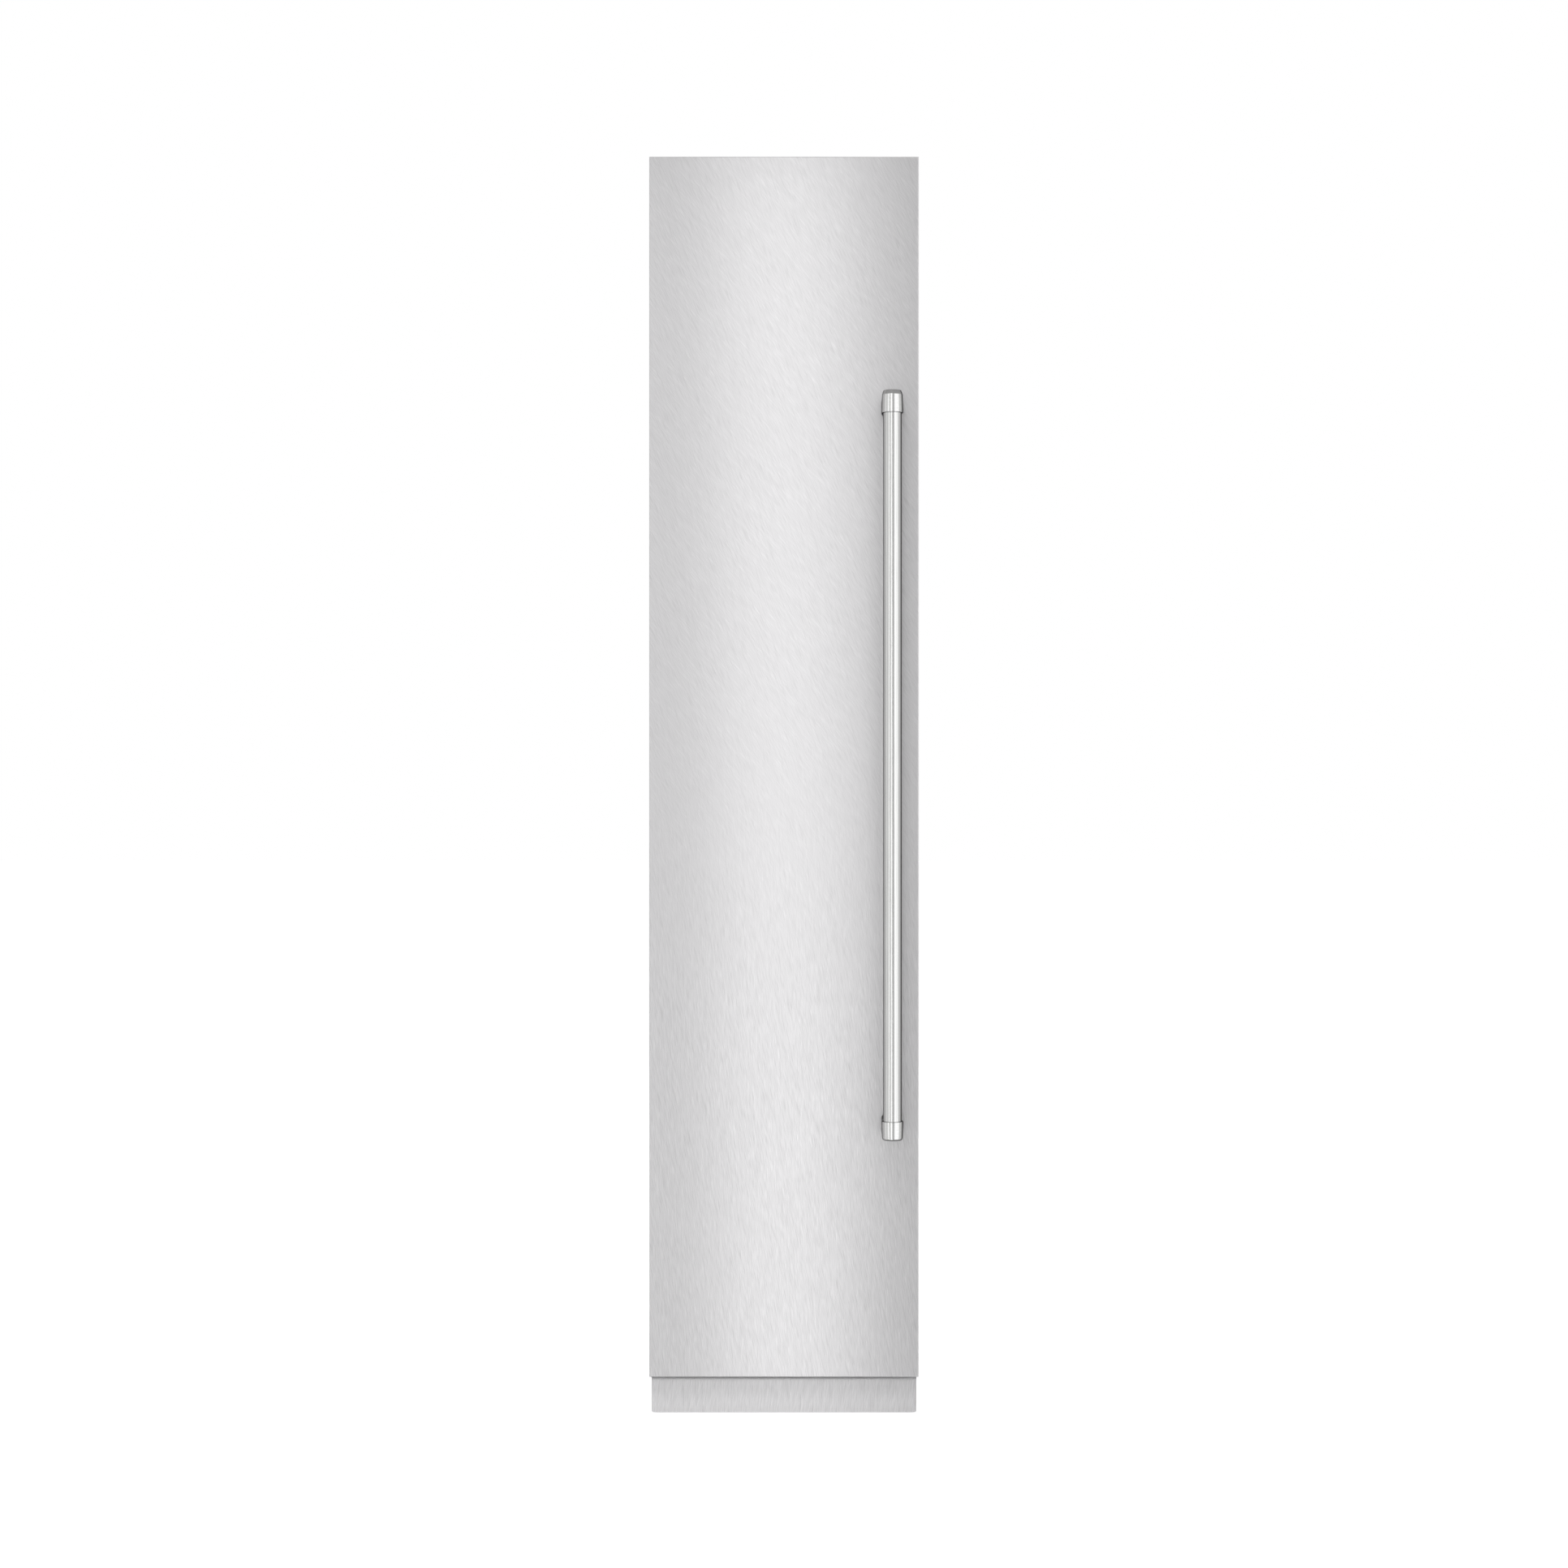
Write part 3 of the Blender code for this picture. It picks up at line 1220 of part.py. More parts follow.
def make_ice_arm():
    """The feeler arm: a bent wire that turns on the side of the ice maker."""
    side = ICE_MAKER_LEFT + ICE_MAKER_WIDTH
    pivot = (side, behind(ARM_PIVOT_SETBACK), ICE_MAKER_BOTTOM + ARM_PIVOT_HEIGHT)
    carrier = axis_empty("ice_arm_axis", pivot)
    out = ARM_STANDS_OFF
    path = [
        (FIT, 0, 0),
        (out, 0, 0),
        (out, -ARM_REACH, -ARM_DROP),
        (out - ARM_BAR_LENGTH, -ARM_REACH, -ARM_DROP),
    ]
    curve = bpy.data.curves.new("ice_arm", "CURVE")
    curve.dimensions = "3D"
    curve.bevel_depth = ARM_WIRE_DIAMETER / 2
    curve.bevel_resolution = 2
    curve.use_fill_caps = True
    spline = curve.splines.new("POLY")
    spline.points.add(len(path) - 1)
    for point, place in zip(spline.points, path):
        point.co = (*place, 1)
    arm = bpy.data.objects.new("ice_arm", curve)
    curve.materials.append(finish_material("ice_arm", zinc_steel))
    bpy.context.collection.objects.link(arm)
    arm.parent = carrier
    return arm


def make_ice_bin():
    """The bin on the top shelf that catches the ice."""
    x = up(ICE_BIN_LEFT, ICE_BIN_WIDTH)
    y = deep(SHELF_SETBACK, SHELF_SETBACK + ICE_BIN_DEPTH)
    z = up(shelf_top(SHELF_COUNT - 1) + FIT, ICE_BIN_HEIGHT)
    return tray("ice_bin", x, y, z, ICE_BIN_WALL, clear_plastic)


# Fans
def make_fan(name, centre, diameter, towards):
    """A fan wheel on a Y axis: a hub with pitched blades and a blind bore for its shaft."""
    carrier = axis_empty(f"{name}_axis", centre)
    place = Vector(centre)
    start = place - Vector((0, FAN_DEPTH / 2, 0))
    hub = rod(start, (0, 1, 0), FAN_DEPTH, FAN_HUB_DIAMETER, FINE_SIDES)
    fan = make(name, hub, dark_plastic, carrier, smooth=True)
    root = FAN_HUB_DIAMETER / 2 * BLADE_ROOT_SHARE
    reach = diameter / 2 - root
    chord = FAN_DEPTH / math.sin(BLADE_PITCH) - 2 * BLADE_THICKNESS
    for index in range(FAN_BLADES):
        blade = bmesh.new()
        around_root = around(root + reach / 2, reach / 2)
        add_box(blade, around_root, around(0, BLADE_THICKNESS / 2), around(0, chord / 2))
        pitch = Matrix.Rotation(BLADE_PITCH, 4, "X")
        turn = Matrix.Rotation(math.tau * index / FAN_BLADES, 4, "Y")
        move = Matrix.Translation(place)
        bmesh.ops.transform(blade, matrix=move @ turn @ pitch, verts=blade.verts)
        join(fan, blade)
    face = place + Vector((0, towards * (FAN_DEPTH / 2 + OVERRUN), 0))
    reach = SHAFT_ENTRY + OVERRUN + FIT
    return cut(fan, rod(face, (0, -towards, 0), reach, SHAFT_DIAMETER + TURN_FIT))


def add_shaft(motor, centre, body_face, towards):
    """The motor's shaft, which ends inside the fan's hub."""
    hub_face = centre[1] + towards * FAN_DEPTH / 2
    tip = hub_face - towards * SHAFT_ENTRY
    start = (centre[0], body_face + towards * OVERRUN / 2, centre[2])
    reach = abs(start[1] - tip)
    join(motor, rod(start, (0, -towards, 0), reach, SHAFT_DIAMETER))


def evaporator_fan_centre():
    return 0, behind(COVER_BACK + FAN_COVER_GAP + FAN_DEPTH / 2), EVAPORATOR_FAN_HEIGHT


def make_evaporator_motor():
    """The motor behind the fan, on an arm that is fixed to the back wall of the room."""
    centre = evaporator_fan_centre()
    face = centre[1] + FAN_DEPTH / 2 + FAN_MOTOR_GAP
    back = behind(INNER_BACK - FIT)
    start = (centre[0], face, centre[2])
    body = rod(start, (0, 1, 0), back - face, MOTOR_DIAMETER, FINE_SIDES)
    motor = make("evaporator_fan_motor", body, painted_grey, smooth=True)
    arm_y = (back - MOTOR_ARM_HEIGHT / 2, back)
    arm_z = around(centre[2], MOTOR_ARM_HEIGHT / 2)
    join(motor, box(around(centre[0], MOTOR_ARM_HALF_LENGTH), arm_y, arm_z))
    add_shaft(motor, centre, face, 1)
    return motor


def condenser_fan_centre():
    front = CONDENSER_SETBACK + CONDENSER_THICKNESS + CONDENSER_FAN_GAP
    x = CONDENSER_LEFT + CONDENSER_WIDTH / 2
    z = BASE_FLOOR + FIT + CONDENSER_HEIGHT / 2
    return x, behind(front + FAN_DEPTH / 2), z


def make_condenser_motor():
    """The motor behind the condenser fan, on a foot that stands on the base."""
    centre = condenser_fan_centre()
    face = centre[1] + FAN_DEPTH / 2 + FAN_MOTOR_GAP
    start = (centre[0], face, centre[2])
    body = rod(start, (0, 1, 0), CONDENSER_MOTOR_DEPTH, MOTOR_DIAMETER, FINE_SIDES)
    motor = make("condenser_fan_motor", body, painted_grey, smooth=True)
    post_y = (face + FAN_MOTOR_GAP, face + CONDENSER_MOTOR_DEPTH)
    post_z = (BASE_FLOOR + FIT, centre[2])
    join(motor, box(around(centre[0], MOTOR_ARM_HEIGHT / 2), post_y, post_z))
    foot_z = up(BASE_FLOOR + FIT, COMPRESSOR_PLATE)
    join(motor, box(around(centre[0], MOTOR_DIAMETER / 2), post_y, foot_z))
    add_shaft(motor, centre, face, 1)
    return motor


# Cooling system
def make_fin_block(name, x, y, z, fins, finish):
    """A finned heat exchanger: upright fins that share one spine at the back."""
    bm = box(x, (y[1] - FIN_SPINE, y[1]), z)
    block = make(name, bm, finish)
    pitch = (x[1] - x[0] - FIN_THICKNESS) / (fins - 1)
    for index in range(fins):
        left = x[0] + index * pitch
        join(block, box(up(left, FIN_THICKNESS), (y[0], y[1] - FIN_SPINE / 2), z))
    return block


def make_evaporator():
    y = deep(INNER_BACK - FIT - EVAPORATOR_THICKNESS, INNER_BACK - FIT)
    x = around(0, EVAPORATOR_HALF_WIDTH)
    z = up(EVAPORATOR_BOTTOM, EVAPORATOR_HEIGHT)
    return make_fin_block("evaporator", x, y, z, EVAPORATOR_FINS, aluminium)


def make_evaporator_cover():
    """The white panel in front of the evaporator, with vents for the fan and the return air."""
    half = INNER_HALF_WIDTH - FIT
    cover = make(
        "evaporator_cover",
        box((-half, half), deep(COVER_FRONT, COVER_BACK), (STEP_TOP + FIT, INNER_TOP - FIT)),
        white_liner,
    )
    through = deep(COVER_FRONT - OVERRUN, COVER_BACK + OVERRUN)
    spread = VENT_PITCH * (EVAPORATOR_VENTS - 1) / 2
    return_air = UPPER_DRAWER_BOTTOM + UPPER_DRAWER_HEIGHT + VENT_PITCH
    for middle in (EVAPORATOR_FAN_HEIGHT, return_air + spread - VENT_PITCH):
        for index in range(EVAPORATOR_VENTS):
            height = middle - spread + index * VENT_PITCH
            cut(cover, box(around(0, VENT_HALF_WIDTH), through, around(height, VENT_HEIGHT / 2)))
    return cover


def make_compressor():
    """The compressor pot on its mounting plate, with a terminal box."""
    floor = BASE_FLOOR + FIT
    centre = Vector((COMPRESSOR_X, behind(COMPRESSOR_SETBACK), floor))
    radius = COMPRESSOR_DIAMETER / 2
    foot = COMPRESSOR_FOOT_HEIGHT
    seam = foot + (COMPRESSOR_HEIGHT - foot) / 2
    shoulder = radius / 3
    profile = [
        (0, COMPRESSOR_HEIGHT),
        (radius - shoulder, COMPRESSOR_HEIGHT),
        (radius - shoulder / 3, COMPRESSOR_HEIGHT - shoulder / 3),
        (radius, COMPRESSOR_HEIGHT - shoulder),
        (radius, seam + COMPRESSOR_LIP),
        (radius + COMPRESSOR_LIP, seam),
        (radius, seam - COMPRESSOR_LIP),
        (radius, foot + shoulder),
        (radius - shoulder / 3, foot + shoulder / 3),
        (radius - shoulder, foot),
        (0, foot),
    ]
    bm = bmesh.new()
    verts = [bm.verts.new(centre + Vector((x, 0, z))) for x, z in profile]
    edges = [bm.edges.new(pair) for pair in zip(verts, verts[1:])]
    bmesh.ops.spin(
        bm,
        geom=verts + edges,
        cent=centre,
        axis=(0, 0, 1),
        dvec=(0, 0, 0),
        angle=math.tau,
        steps=FINE_SIDES,
        use_merge=True,
    )
    bmesh.ops.remove_doubles(bm, verts=bm.verts, dist=FIT / 10)
    bmesh.ops.recalc_face_normals(bm, faces=bm.faces)
    pot = make("compressor", bm, black_paint, smooth=True)
    half = COMPRESSOR_PLATE_HALF
    plate_z = up(floor, COMPRESSOR_PLATE)
    join(pot, box(around(centre.x, half), around(centre.y, half), plate_z))
    neck = COMPRESSOR_DIAMETER / 2
    join(pot, rod(centre + Vector((0, 0, COMPRESSOR_PLATE / 2)), (0, 0, 1), foot + shoulder, neck))
    side = TERMINAL_BOX_SIZE / 2
    box_x = (centre.x - radius - side, centre.x - radius + side)
    join(pot, box(box_x, around(centre.y, side), around(floor + seam, side)))
    return pot


def make_drain_pan():
    """The pan on top of the compressor, whose heat dries the melt water."""
    low = BASE_FLOOR + 2 * FIT + COMPRESSOR_HEIGHT
    y = around(behind(COMPRESSOR_SETBACK), PAN_DEPTH / 2)
    x = around(COMPRESSOR_X, PAN_HALF_WIDTH)
    return tray("drain_pan", x, y, up(low, PAN_HEIGHT), PAN_WALL, dark_plastic)


def make_condenser():
    x = up(CONDENSER_LEFT, CONDENSER_WIDTH)
    y = deep(CONDENSER_SETBACK, CONDENSER_SETBACK + CONDENSER_THICKNESS)
    z = up(BASE_FLOOR + FIT, CONDENSER_HEIGHT)
    return make_fin_block("condenser", x, y, z, CONDENSER_FINS, copper)


def make_machine_cover():
    """The slotted sheet over the back of the machine room, with holes for the connections."""
    through = deep(BODY_DEPTH - CABINET_SHEET, BODY_DEPTH)
    z = (BASE_BOTTOM + FIT, MACHINE_TOP - FIT)
    cover = make("machine_cover", box(around(0, CABINET_INSIDE_HALF), through, z), zinc_steel)
    hole = deep(BODY_DEPTH - OVERRUN, BODY_DEPTH + OVERRUN)
    for index in range(COVER_SLOTS):
        low = BASE_BOTTOM + FIRST_SLOT_LIFT + index * SLOT_PITCH
        cut(cover, box(around(0, SLOT_HALF_WIDTH), hole, up(low, SLOT_HEIGHT)))
    inlet_x = around(INLET_X, INLET_WIDTH / 2 + FIT)
    cut(cover, box(inlet_x, hole, around(INLET_HEIGHT, INLET_TALL / 2 + FIT)))
    valve_x = around(VALVE_X, VALVE_SIZE / 2 + SLIDE_FIT)
    cut(cover, box(valve_x, hole, (VALVE_HEIGHT - VALVE_SIZE / 2 - SLIDE_FIT, MACHINE_TOP + OVERRUN)))
    return cover


def make_power_inlet():
    """The appliance inlet in the machine cover, with three contact blades."""
    inlet = make(
        "power_inlet",
        box(
            around(INLET_X, INLET_WIDTH / 2),
            deep(BODY_DEPTH - INLET_DEPTH, BODY_DEPTH),
            around(INLET_HEIGHT, INLET_TALL / 2),
        ),
        dark_plastic,
    )
    inner_half = INLET_WIDTH / 2 - INLET_WALL
    inner_tall = INLET_TALL / 2 - INLET_WALL
    recess = deep(BODY_DEPTH - INLET_RECESS, BODY_DEPTH + OVERRUN)
    cut(inlet, box(around(INLET_X, inner_half), recess, around(INLET_HEIGHT, inner_tall)))
    blade_y = deep(BODY_DEPTH - INLET_RECESS - OVERRUN, BODY_DEPTH - OVERRUN)
    for index in (-1, 0, 1):
        x = around(INLET_X + index * inner_half / 2, SHAFT_DIAMETER / 4)
        join(inlet, box(x, blade_y, around(INLET_HEIGHT, inner_tall / 2)))
    return inlet


def make_water_valve():
    """The water inlet valve, fixed under the machine room's ceiling, with a short threaded stub."""
    stub_reach = OVERRUN * 2
    valve = make(
        "water_valve",
        box(
            around(VALVE_X, VALVE_SIZE / 2),
            deep(BODY_DEPTH - VALVE_DEPTH, BODY_DEPTH - stub_reach),
            around(VALVE_HEIGHT, VALVE_SIZE / 2),
        ),
        white_liner,
    )
    start = (VALVE_X, behind(BODY_DEPTH - stub_reach - OVERRUN), VALVE_HEIGHT)
    join(valve, rod(start, (0, 1, 0), stub_reach + OVERRUN, VALVE_STUB_DIAMETER, FINE_SIDES))
    bore = (VALVE_X, behind(BODY_DEPTH + OVERRUN), VALVE_HEIGHT)
    return cut(valve, rod(bore, (0, -1, 0), VALVE_DEPTH / 2 + OVERRUN, VALVE_BORE_DIAMETER))


def build_cooling():
    make_ice_maker()
    make_ice_arm()
    make_ice_bin()
    make_evaporator_cover()
    make_evaporator()
    make_evaporator_motor()
    make_fan("evaporator_fan", evaporator_fan_centre(), EVAPORATOR_FAN_DIAMETER, 1)
    make_compressor()
    make_drain_pan()
    make_condenser()
    make_condenser_motor()
    make_fan("condenser_fan", condenser_fan_centre(), CONDENSER_FAN_DIAMETER, 1)
    make_machine_cover()
    make_power_inlet()
    make_water_valve()


def main():
    for old in list(bpy.data.objects):
        bpy.data.objects.remove(old)
    build_door()
    build_cabinet()
    build_inside()
    build_cooling()


main()
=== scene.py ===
"""The looks of a column freezer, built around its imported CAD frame."""

from __future__ import annotations

import logging
import math
from dataclasses import dataclass, field
from enum import Enum
from typing import Any, Callable, Sequence

import bmesh
import bpy
from bmesh.types import BMesh, BMEdge, BMFace, BMVert
from bpy.types import Material, Node, NodeSocket, NodeTree, Object
from mathutils import Matrix, Vector

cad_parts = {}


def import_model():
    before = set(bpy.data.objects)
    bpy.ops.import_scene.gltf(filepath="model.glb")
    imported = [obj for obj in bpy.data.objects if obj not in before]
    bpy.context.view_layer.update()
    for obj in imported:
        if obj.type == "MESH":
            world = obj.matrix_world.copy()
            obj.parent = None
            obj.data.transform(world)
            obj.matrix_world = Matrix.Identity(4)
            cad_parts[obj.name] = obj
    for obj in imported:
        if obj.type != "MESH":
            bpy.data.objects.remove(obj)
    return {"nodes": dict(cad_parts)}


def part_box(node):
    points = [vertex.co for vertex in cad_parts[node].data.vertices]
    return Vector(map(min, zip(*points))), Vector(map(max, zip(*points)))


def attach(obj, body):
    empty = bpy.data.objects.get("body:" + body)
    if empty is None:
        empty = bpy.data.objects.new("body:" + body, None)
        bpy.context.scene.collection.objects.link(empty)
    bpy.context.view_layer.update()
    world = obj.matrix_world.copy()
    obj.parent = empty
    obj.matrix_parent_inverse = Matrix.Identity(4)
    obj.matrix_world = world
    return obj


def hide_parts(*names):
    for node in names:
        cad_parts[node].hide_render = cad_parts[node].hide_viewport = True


LOG = logging.getLogger("column_freezer")
MM = 0.001
# The y of the door's front face
FRONT = -0.272
# Pieces that touch stand this far apart
FIT = 0.3 * MM
# Points closer than this are one
WELD = 0.01 * MM
# Faces that turn less than this share their shading
SMOOTH_ANGLE = math.radians(34)
# Edges between faces that turn less than this are flat and get no rounding
FLAT_ANGLE = math.radians(4)
# An edge is parallel to an axis when this share of its length lies along it
PARALLEL = 0.999
# The radius of a full round end, as a share of half the width: a little less, so that no faces collapse
FULL_ROUND = 0.96

Point = tuple[float, float, float]
Span = tuple[float, float]


class Axis(Enum):
    """The frame's own axes."""

    X = 0
    Y = 1
    Z = 2


def linear(code: str, alpha: float = 1.0) -> tuple[float, float, float, float]:
    """Turns an sRGB hex colour to the linear values that a socket takes.

    Args:
        code: The colour as "#RRGGBB".
        alpha: The fourth value.

    Returns:
        Red, green, blue and alpha.
    """
    parts = [int(code[start : start + 2], 16) / 255 for start in (1, 3, 5)]
    red, green, blue = (
        part / 12.92 if part <= 0.04045 else ((part + 0.055) / 1.055) ** 2.4 for part in parts
    )
    return red, green, blue, alpha


def add_node(tree: NodeTree, kind: str, inputs: dict[str | int, Any] | None = None, **settings: Any) -> Node:
    """Adds a node with its settings and links.

    Args:
        tree: The tree that gets the node.
        kind: The node's type.
        inputs: A value or another node's output for each input, by name or place.
        **settings: The node's own attributes.

    Returns:
        The new node.
    """
    made = tree.nodes.new(kind)
    for key, value in settings.items():
        setattr(made, key, value)
    for key, value in (inputs or {}).items():
        if isinstance(value, NodeSocket):
            tree.links.new(value, made.inputs[key])
        else:
            made.inputs[key].default_value = value
    return made


def ramp(
    tree: NodeTree, value: NodeSocket, low: float, high: float, to: Span = (0.0, 1.0), smooth: bool = False
) -> NodeSocket:
    """Maps a value's range to another one.

    Args:
        tree: The tree that gets the node.
        value: The value.
        low: Where the value's range starts.
        high: Where it ends.
        to: What the two ends become.
        smooth: Whether it eases in and out.

    Returns:
        The socket of the mapped value.
    """
    inputs = {"Value": value, "From Min": low, "From Max": high, "To Min": to[0], "To Max": to[1]}
    kind = "SMOOTHSTEP" if smooth else "LINEAR"
    return add_node(tree, "ShaderNodeMapRange", inputs, interpolation_type=kind).outputs[0]


def blend(tree: NodeTree, factor: NodeSocket, first: Any, second: Any) -> NodeSocket:
    """Returns the colour that goes from a first to a second one with a factor."""
    colours = {"Factor": factor, 6: first, 7: second}
    return add_node(tree, "ShaderNodeMix", colours, data_type="RGBA").outputs[2]


def reckon(tree: NodeTree, operation: str, first: Any, second: float | NodeSocket = 0.0) -> NodeSocket:
    """Returns the result of an operation on one or two values."""
    return add_node(tree, "ShaderNodeMath", {0: first, 1: second}, operation=operation).outputs[0]


def between(tree: NodeTree, factor: NodeSocket, first: Node, second: Node) -> Node:
    """Adds the shader that goes from a first to a second one with a factor."""
    return add_node(tree, "ShaderNodeMixShader", {0: factor, 1: first.outputs[0], 2: second.outputs[0]})


def own_place(tree: NodeTree) -> NodeSocket:
    """Returns the object's own coordinates, in metres."""
    return add_node(tree, "ShaderNodeTexCoord").outputs["Object"]


def own_height(tree: NodeTree) -> NodeSocket:
    """Returns the height above the object's own origin, in metres."""
    return add_node(tree, "ShaderNodeSeparateXYZ", {0: own_place(tree)}).outputs["Z"]


# Finishes


@dataclass(frozen=True)
class Finish:
    """A surface's finish: the material's name, the values its shader starts from and the record's slot."""

    name: str
    colour: str
    roughness: float
    metallic: float = 0.0
    slot: str = field(default="", kw_only=True)

    def build(self) -> Material:
        """Returns the material, made the first time that it is asked for."""
        if known := bpy.data.materials.get(self.name):
            return known
        material = bpy.data.materials.new(self.name)
        material.use_nodes = True
        tree = material.node_tree
        shader = tree.nodes["Principled BSDF"]
        values = {"Base Color": linear(self.colour), "Roughness": self.roughness, "Metallic": self.metallic}
        for socket, value in values.items():
            shader.inputs[socket].default_value = value
        self.dress(tree, shader)
        return material

    def dress(self, tree: NodeTree, shader: Node) -> None:
        """Adds what the kind of finish shows; a plain finish adds nothing."""

    def grid(self, tree: NodeTree, size: Sequence[float], turn: Point = (0, 0, 0)) -> NodeSocket:
        """Gives coordinates that count grains of a real size along turned axes.

        Args:
            tree: The material's tree.
            size: A grain's size along each turned axis, in metres.
            turn: The turn about each axis, in radians.

        Returns:
            The socket of the coordinates.
        """
        turned = add_node(tree, "ShaderNodeMapping", {"Vector": own_place(tree), "Rotation": turn})
        scale = tuple(1 / length for length in size)
        sized = add_node(tree, "ShaderNodeMapping", {"Vector": turned.outputs[0], "Scale": scale})
        return sized.outputs[0]

    def streaks(
        self, tree: NodeTree, size: Sequence[float], low: float, high: float, turn: Point = (0, 0, 0)
    ) -> NodeSocket:
        """Gives 0 to 1 for long grains of a real size, 1 in the grains.

        Args:
            tree: The material's tree.
            size: A grain's size along each turned axis, in metres.
            low: The noise below which there is no grain.
            high: The noise above which a grain is whole.
            turn: The turn about each axis, in radians.

        Returns:
            The socket of the value.
        """
        noise = add_node(
            tree, "ShaderNodeTexNoise", {"Vector": self.grid(tree, size, turn), "Scale": 1.0, "Detail": 2.0}
        )
        return ramp(tree, noise.outputs["Fac"], low, high)

    def tint(self, tree: NodeTree, shader: Node, factor: NodeSocket, other: str) -> None:
        """Lets the colour go to another one where the factor is 1."""
        mixed = blend(tree, factor, linear(self.colour), linear(other))
        tree.links.new(mixed, shader.inputs["Base Color"])

    def sheen_range(self, tree: NodeTree, shader: Node, factor: NodeSocket, other: float) -> None:
        """Lets the roughness go to another one where the factor is 1."""
        spread = ramp(tree, factor, 0.0, 1.0, (self.roughness, other))
        tree.links.new(spread, shader.inputs["Roughness"])

    def relief(self, tree: NodeTree, shader: Node, height: NodeSocket, depth: float, strength: float) -> None:
        """Raises the surface by a depth in metres where the height is 1."""
        bump = add_node(tree, "ShaderNodeBump", {"Height": height, "Distance": depth, "Strength": strength})
        tree.links.new(bump.outputs[0], shader.inputs["Normal"])


@dataclass(frozen=True)
class BrushedSteel(Finish):
    """Stainless sheet brushed by hand pads: fine crossed scratches, slanted high up and upright low down."""

    light: str = "#E4E3E4"
    dark: str = "#C4C3C4"
    scratch_width: float = 1.1 * MM
    scratch_length: float = 24 * MM
    slant: float = math.radians(40)
    steep: float = math.radians(1)
    steep_below: float = 0.55
    slanted_above: float = 1.35
    steep_range: Span = (0.47, 0.8)
    slanted_range: Span = (0.48, 0.9)
    crossing: float = math.radians(9)
    sheen: float = 0.86

    def dress(self, tree: NodeTree, shader: Node) -> None:
        """Lays light and dark scratches, slanted high up and nearly upright low down."""
        rise = ramp(tree, own_height(tree), self.steep_below, self.slanted_above, smooth=True)
        light = self.crossed(tree, rise, 0.0)
        dark = self.crossed(tree, rise, self.crossing)
        lifted = blend(tree, light, linear(self.colour), linear(self.light))
        tree.links.new(blend(tree, dark, lifted, linear(self.dark)), shader.inputs["Base Color"])
        self.sheen_range(tree, shader, light, self.roughness * self.sheen)

    def crossed(self, tree: NodeTree, rise: NodeSocket, extra: float) -> NodeSocket:
        """Gives scratches that turn from steep to slanted with the height.

        Args:
            tree: The material's tree.
            rise: 0 where they are steep, 1 where they are slanted.
            extra: A further turn, so that two sets cross.

        Returns:
            The socket of the value.
        """
        size = (self.scratch_width, self.scratch_width, self.scratch_length)
        steep = self.streaks(tree, size, *self.steep_range, (0, self.steep + extra, 0))
        slanted = self.streaks(tree, size, *self.slanted_range, (0, self.slant - extra * 2, 0))
        blended = add_node(tree, "ShaderNodeMix", {0: rise, 2: steep, 3: slanted}, data_type="FLOAT")
        return blended.outputs[0]


@dataclass(frozen=True)
class SatinMetal(Finish):
    """Metal with a fine grain along or round it, as drawn tube and turned caps have."""

    other: str = "#CFCFCE"
    grain: Point = (0.5 * MM, 0.5 * MM, 60 * MM)
    depth: float = 0.003 * MM
    # The reflection's edge tint: a dark one paints shade along the metal's edges, white paints none
    painted_edge_shade: str = "#FFFFFF"
    line_range: Span = (0.4, 0.7)
    line_strength: float = 0.3
    dulling: float = 1.25

    def dress(self, tree: NodeTree, shader: Node) -> None:
        """Paints shade along the edges with the edge tint; lays the drawing lines in colour, sheen and a very
        shallow relief.
        """
        # A dark edge tint here is painted shade along the edges
        shader.inputs["Specular Tint"].default_value = linear(self.painted_edge_shade)
        lines = self.streaks(tree, self.grain, *self.line_range)
        self.tint(tree, shader, lines, self.other)
        self.sheen_range(tree, shader, lines, self.roughness * self.dulling)
        self.relief(tree, shader, lines, self.depth, self.line_strength)


@dataclass(frozen=True)
class SprayPaint(Finish):
    """Paint sprayed and baked on sheet steel: an even colour with the soft dimples of orange peel."""

    other: str = "#8E9092"
    peel: float = 2.4 * MM
    depth: float = 0.03 * MM
    peel_range: Span = (0.3, 0.7)
    peel_strength: float = 0.35
    cloud_size: float = 60.0
    cloud_range: Span = (0.35, 0.65)
    dulling: float = 1.1

    def dress(self, tree: NodeTree, shader: Node) -> None:
        """Lays the orange peel and the slow change of sheen that sprayed paint has."""
        peel = self.streaks(tree, (self.peel,) * 3, *self.peel_range)
        cloud = self.streaks(tree, (self.peel * self.cloud_size,) * 3, *self.cloud_range)
        self.tint(tree, shader, cloud, self.other)
        self.sheen_range(tree, shader, peel, self.roughness * self.dulling)
        self.relief(tree, shader, peel, self.depth, self.peel_strength)


@dataclass(frozen=True)
class GalvanisedSheet(Finish):
    """Steel sheet dipped in zinc: flat crystals of slightly different greys."""

    other: str = "#BDC1C4"
    crystal: float = 7 * MM
    dulling: float = 1.4

    def dress(self, tree: NodeTree, shader: Node) -> None:
        """Lays the zinc's crystals, each with its own grey and sheen."""
        cells = add_node(
            tree, "ShaderNodeTexVoronoi", {"Vector": self.grid(tree, (self.crystal,) * 3), "Scale": 1.0}
        )
        grey = add_node(tree, "ShaderNodeSeparateColor", {0: cells.outputs["Color"]})
        self.tint(tree, shader, grey.outputs[0], self.other)
        self.sheen_range(tree, shader, grey.outputs[1], self.roughness * self.dulling)


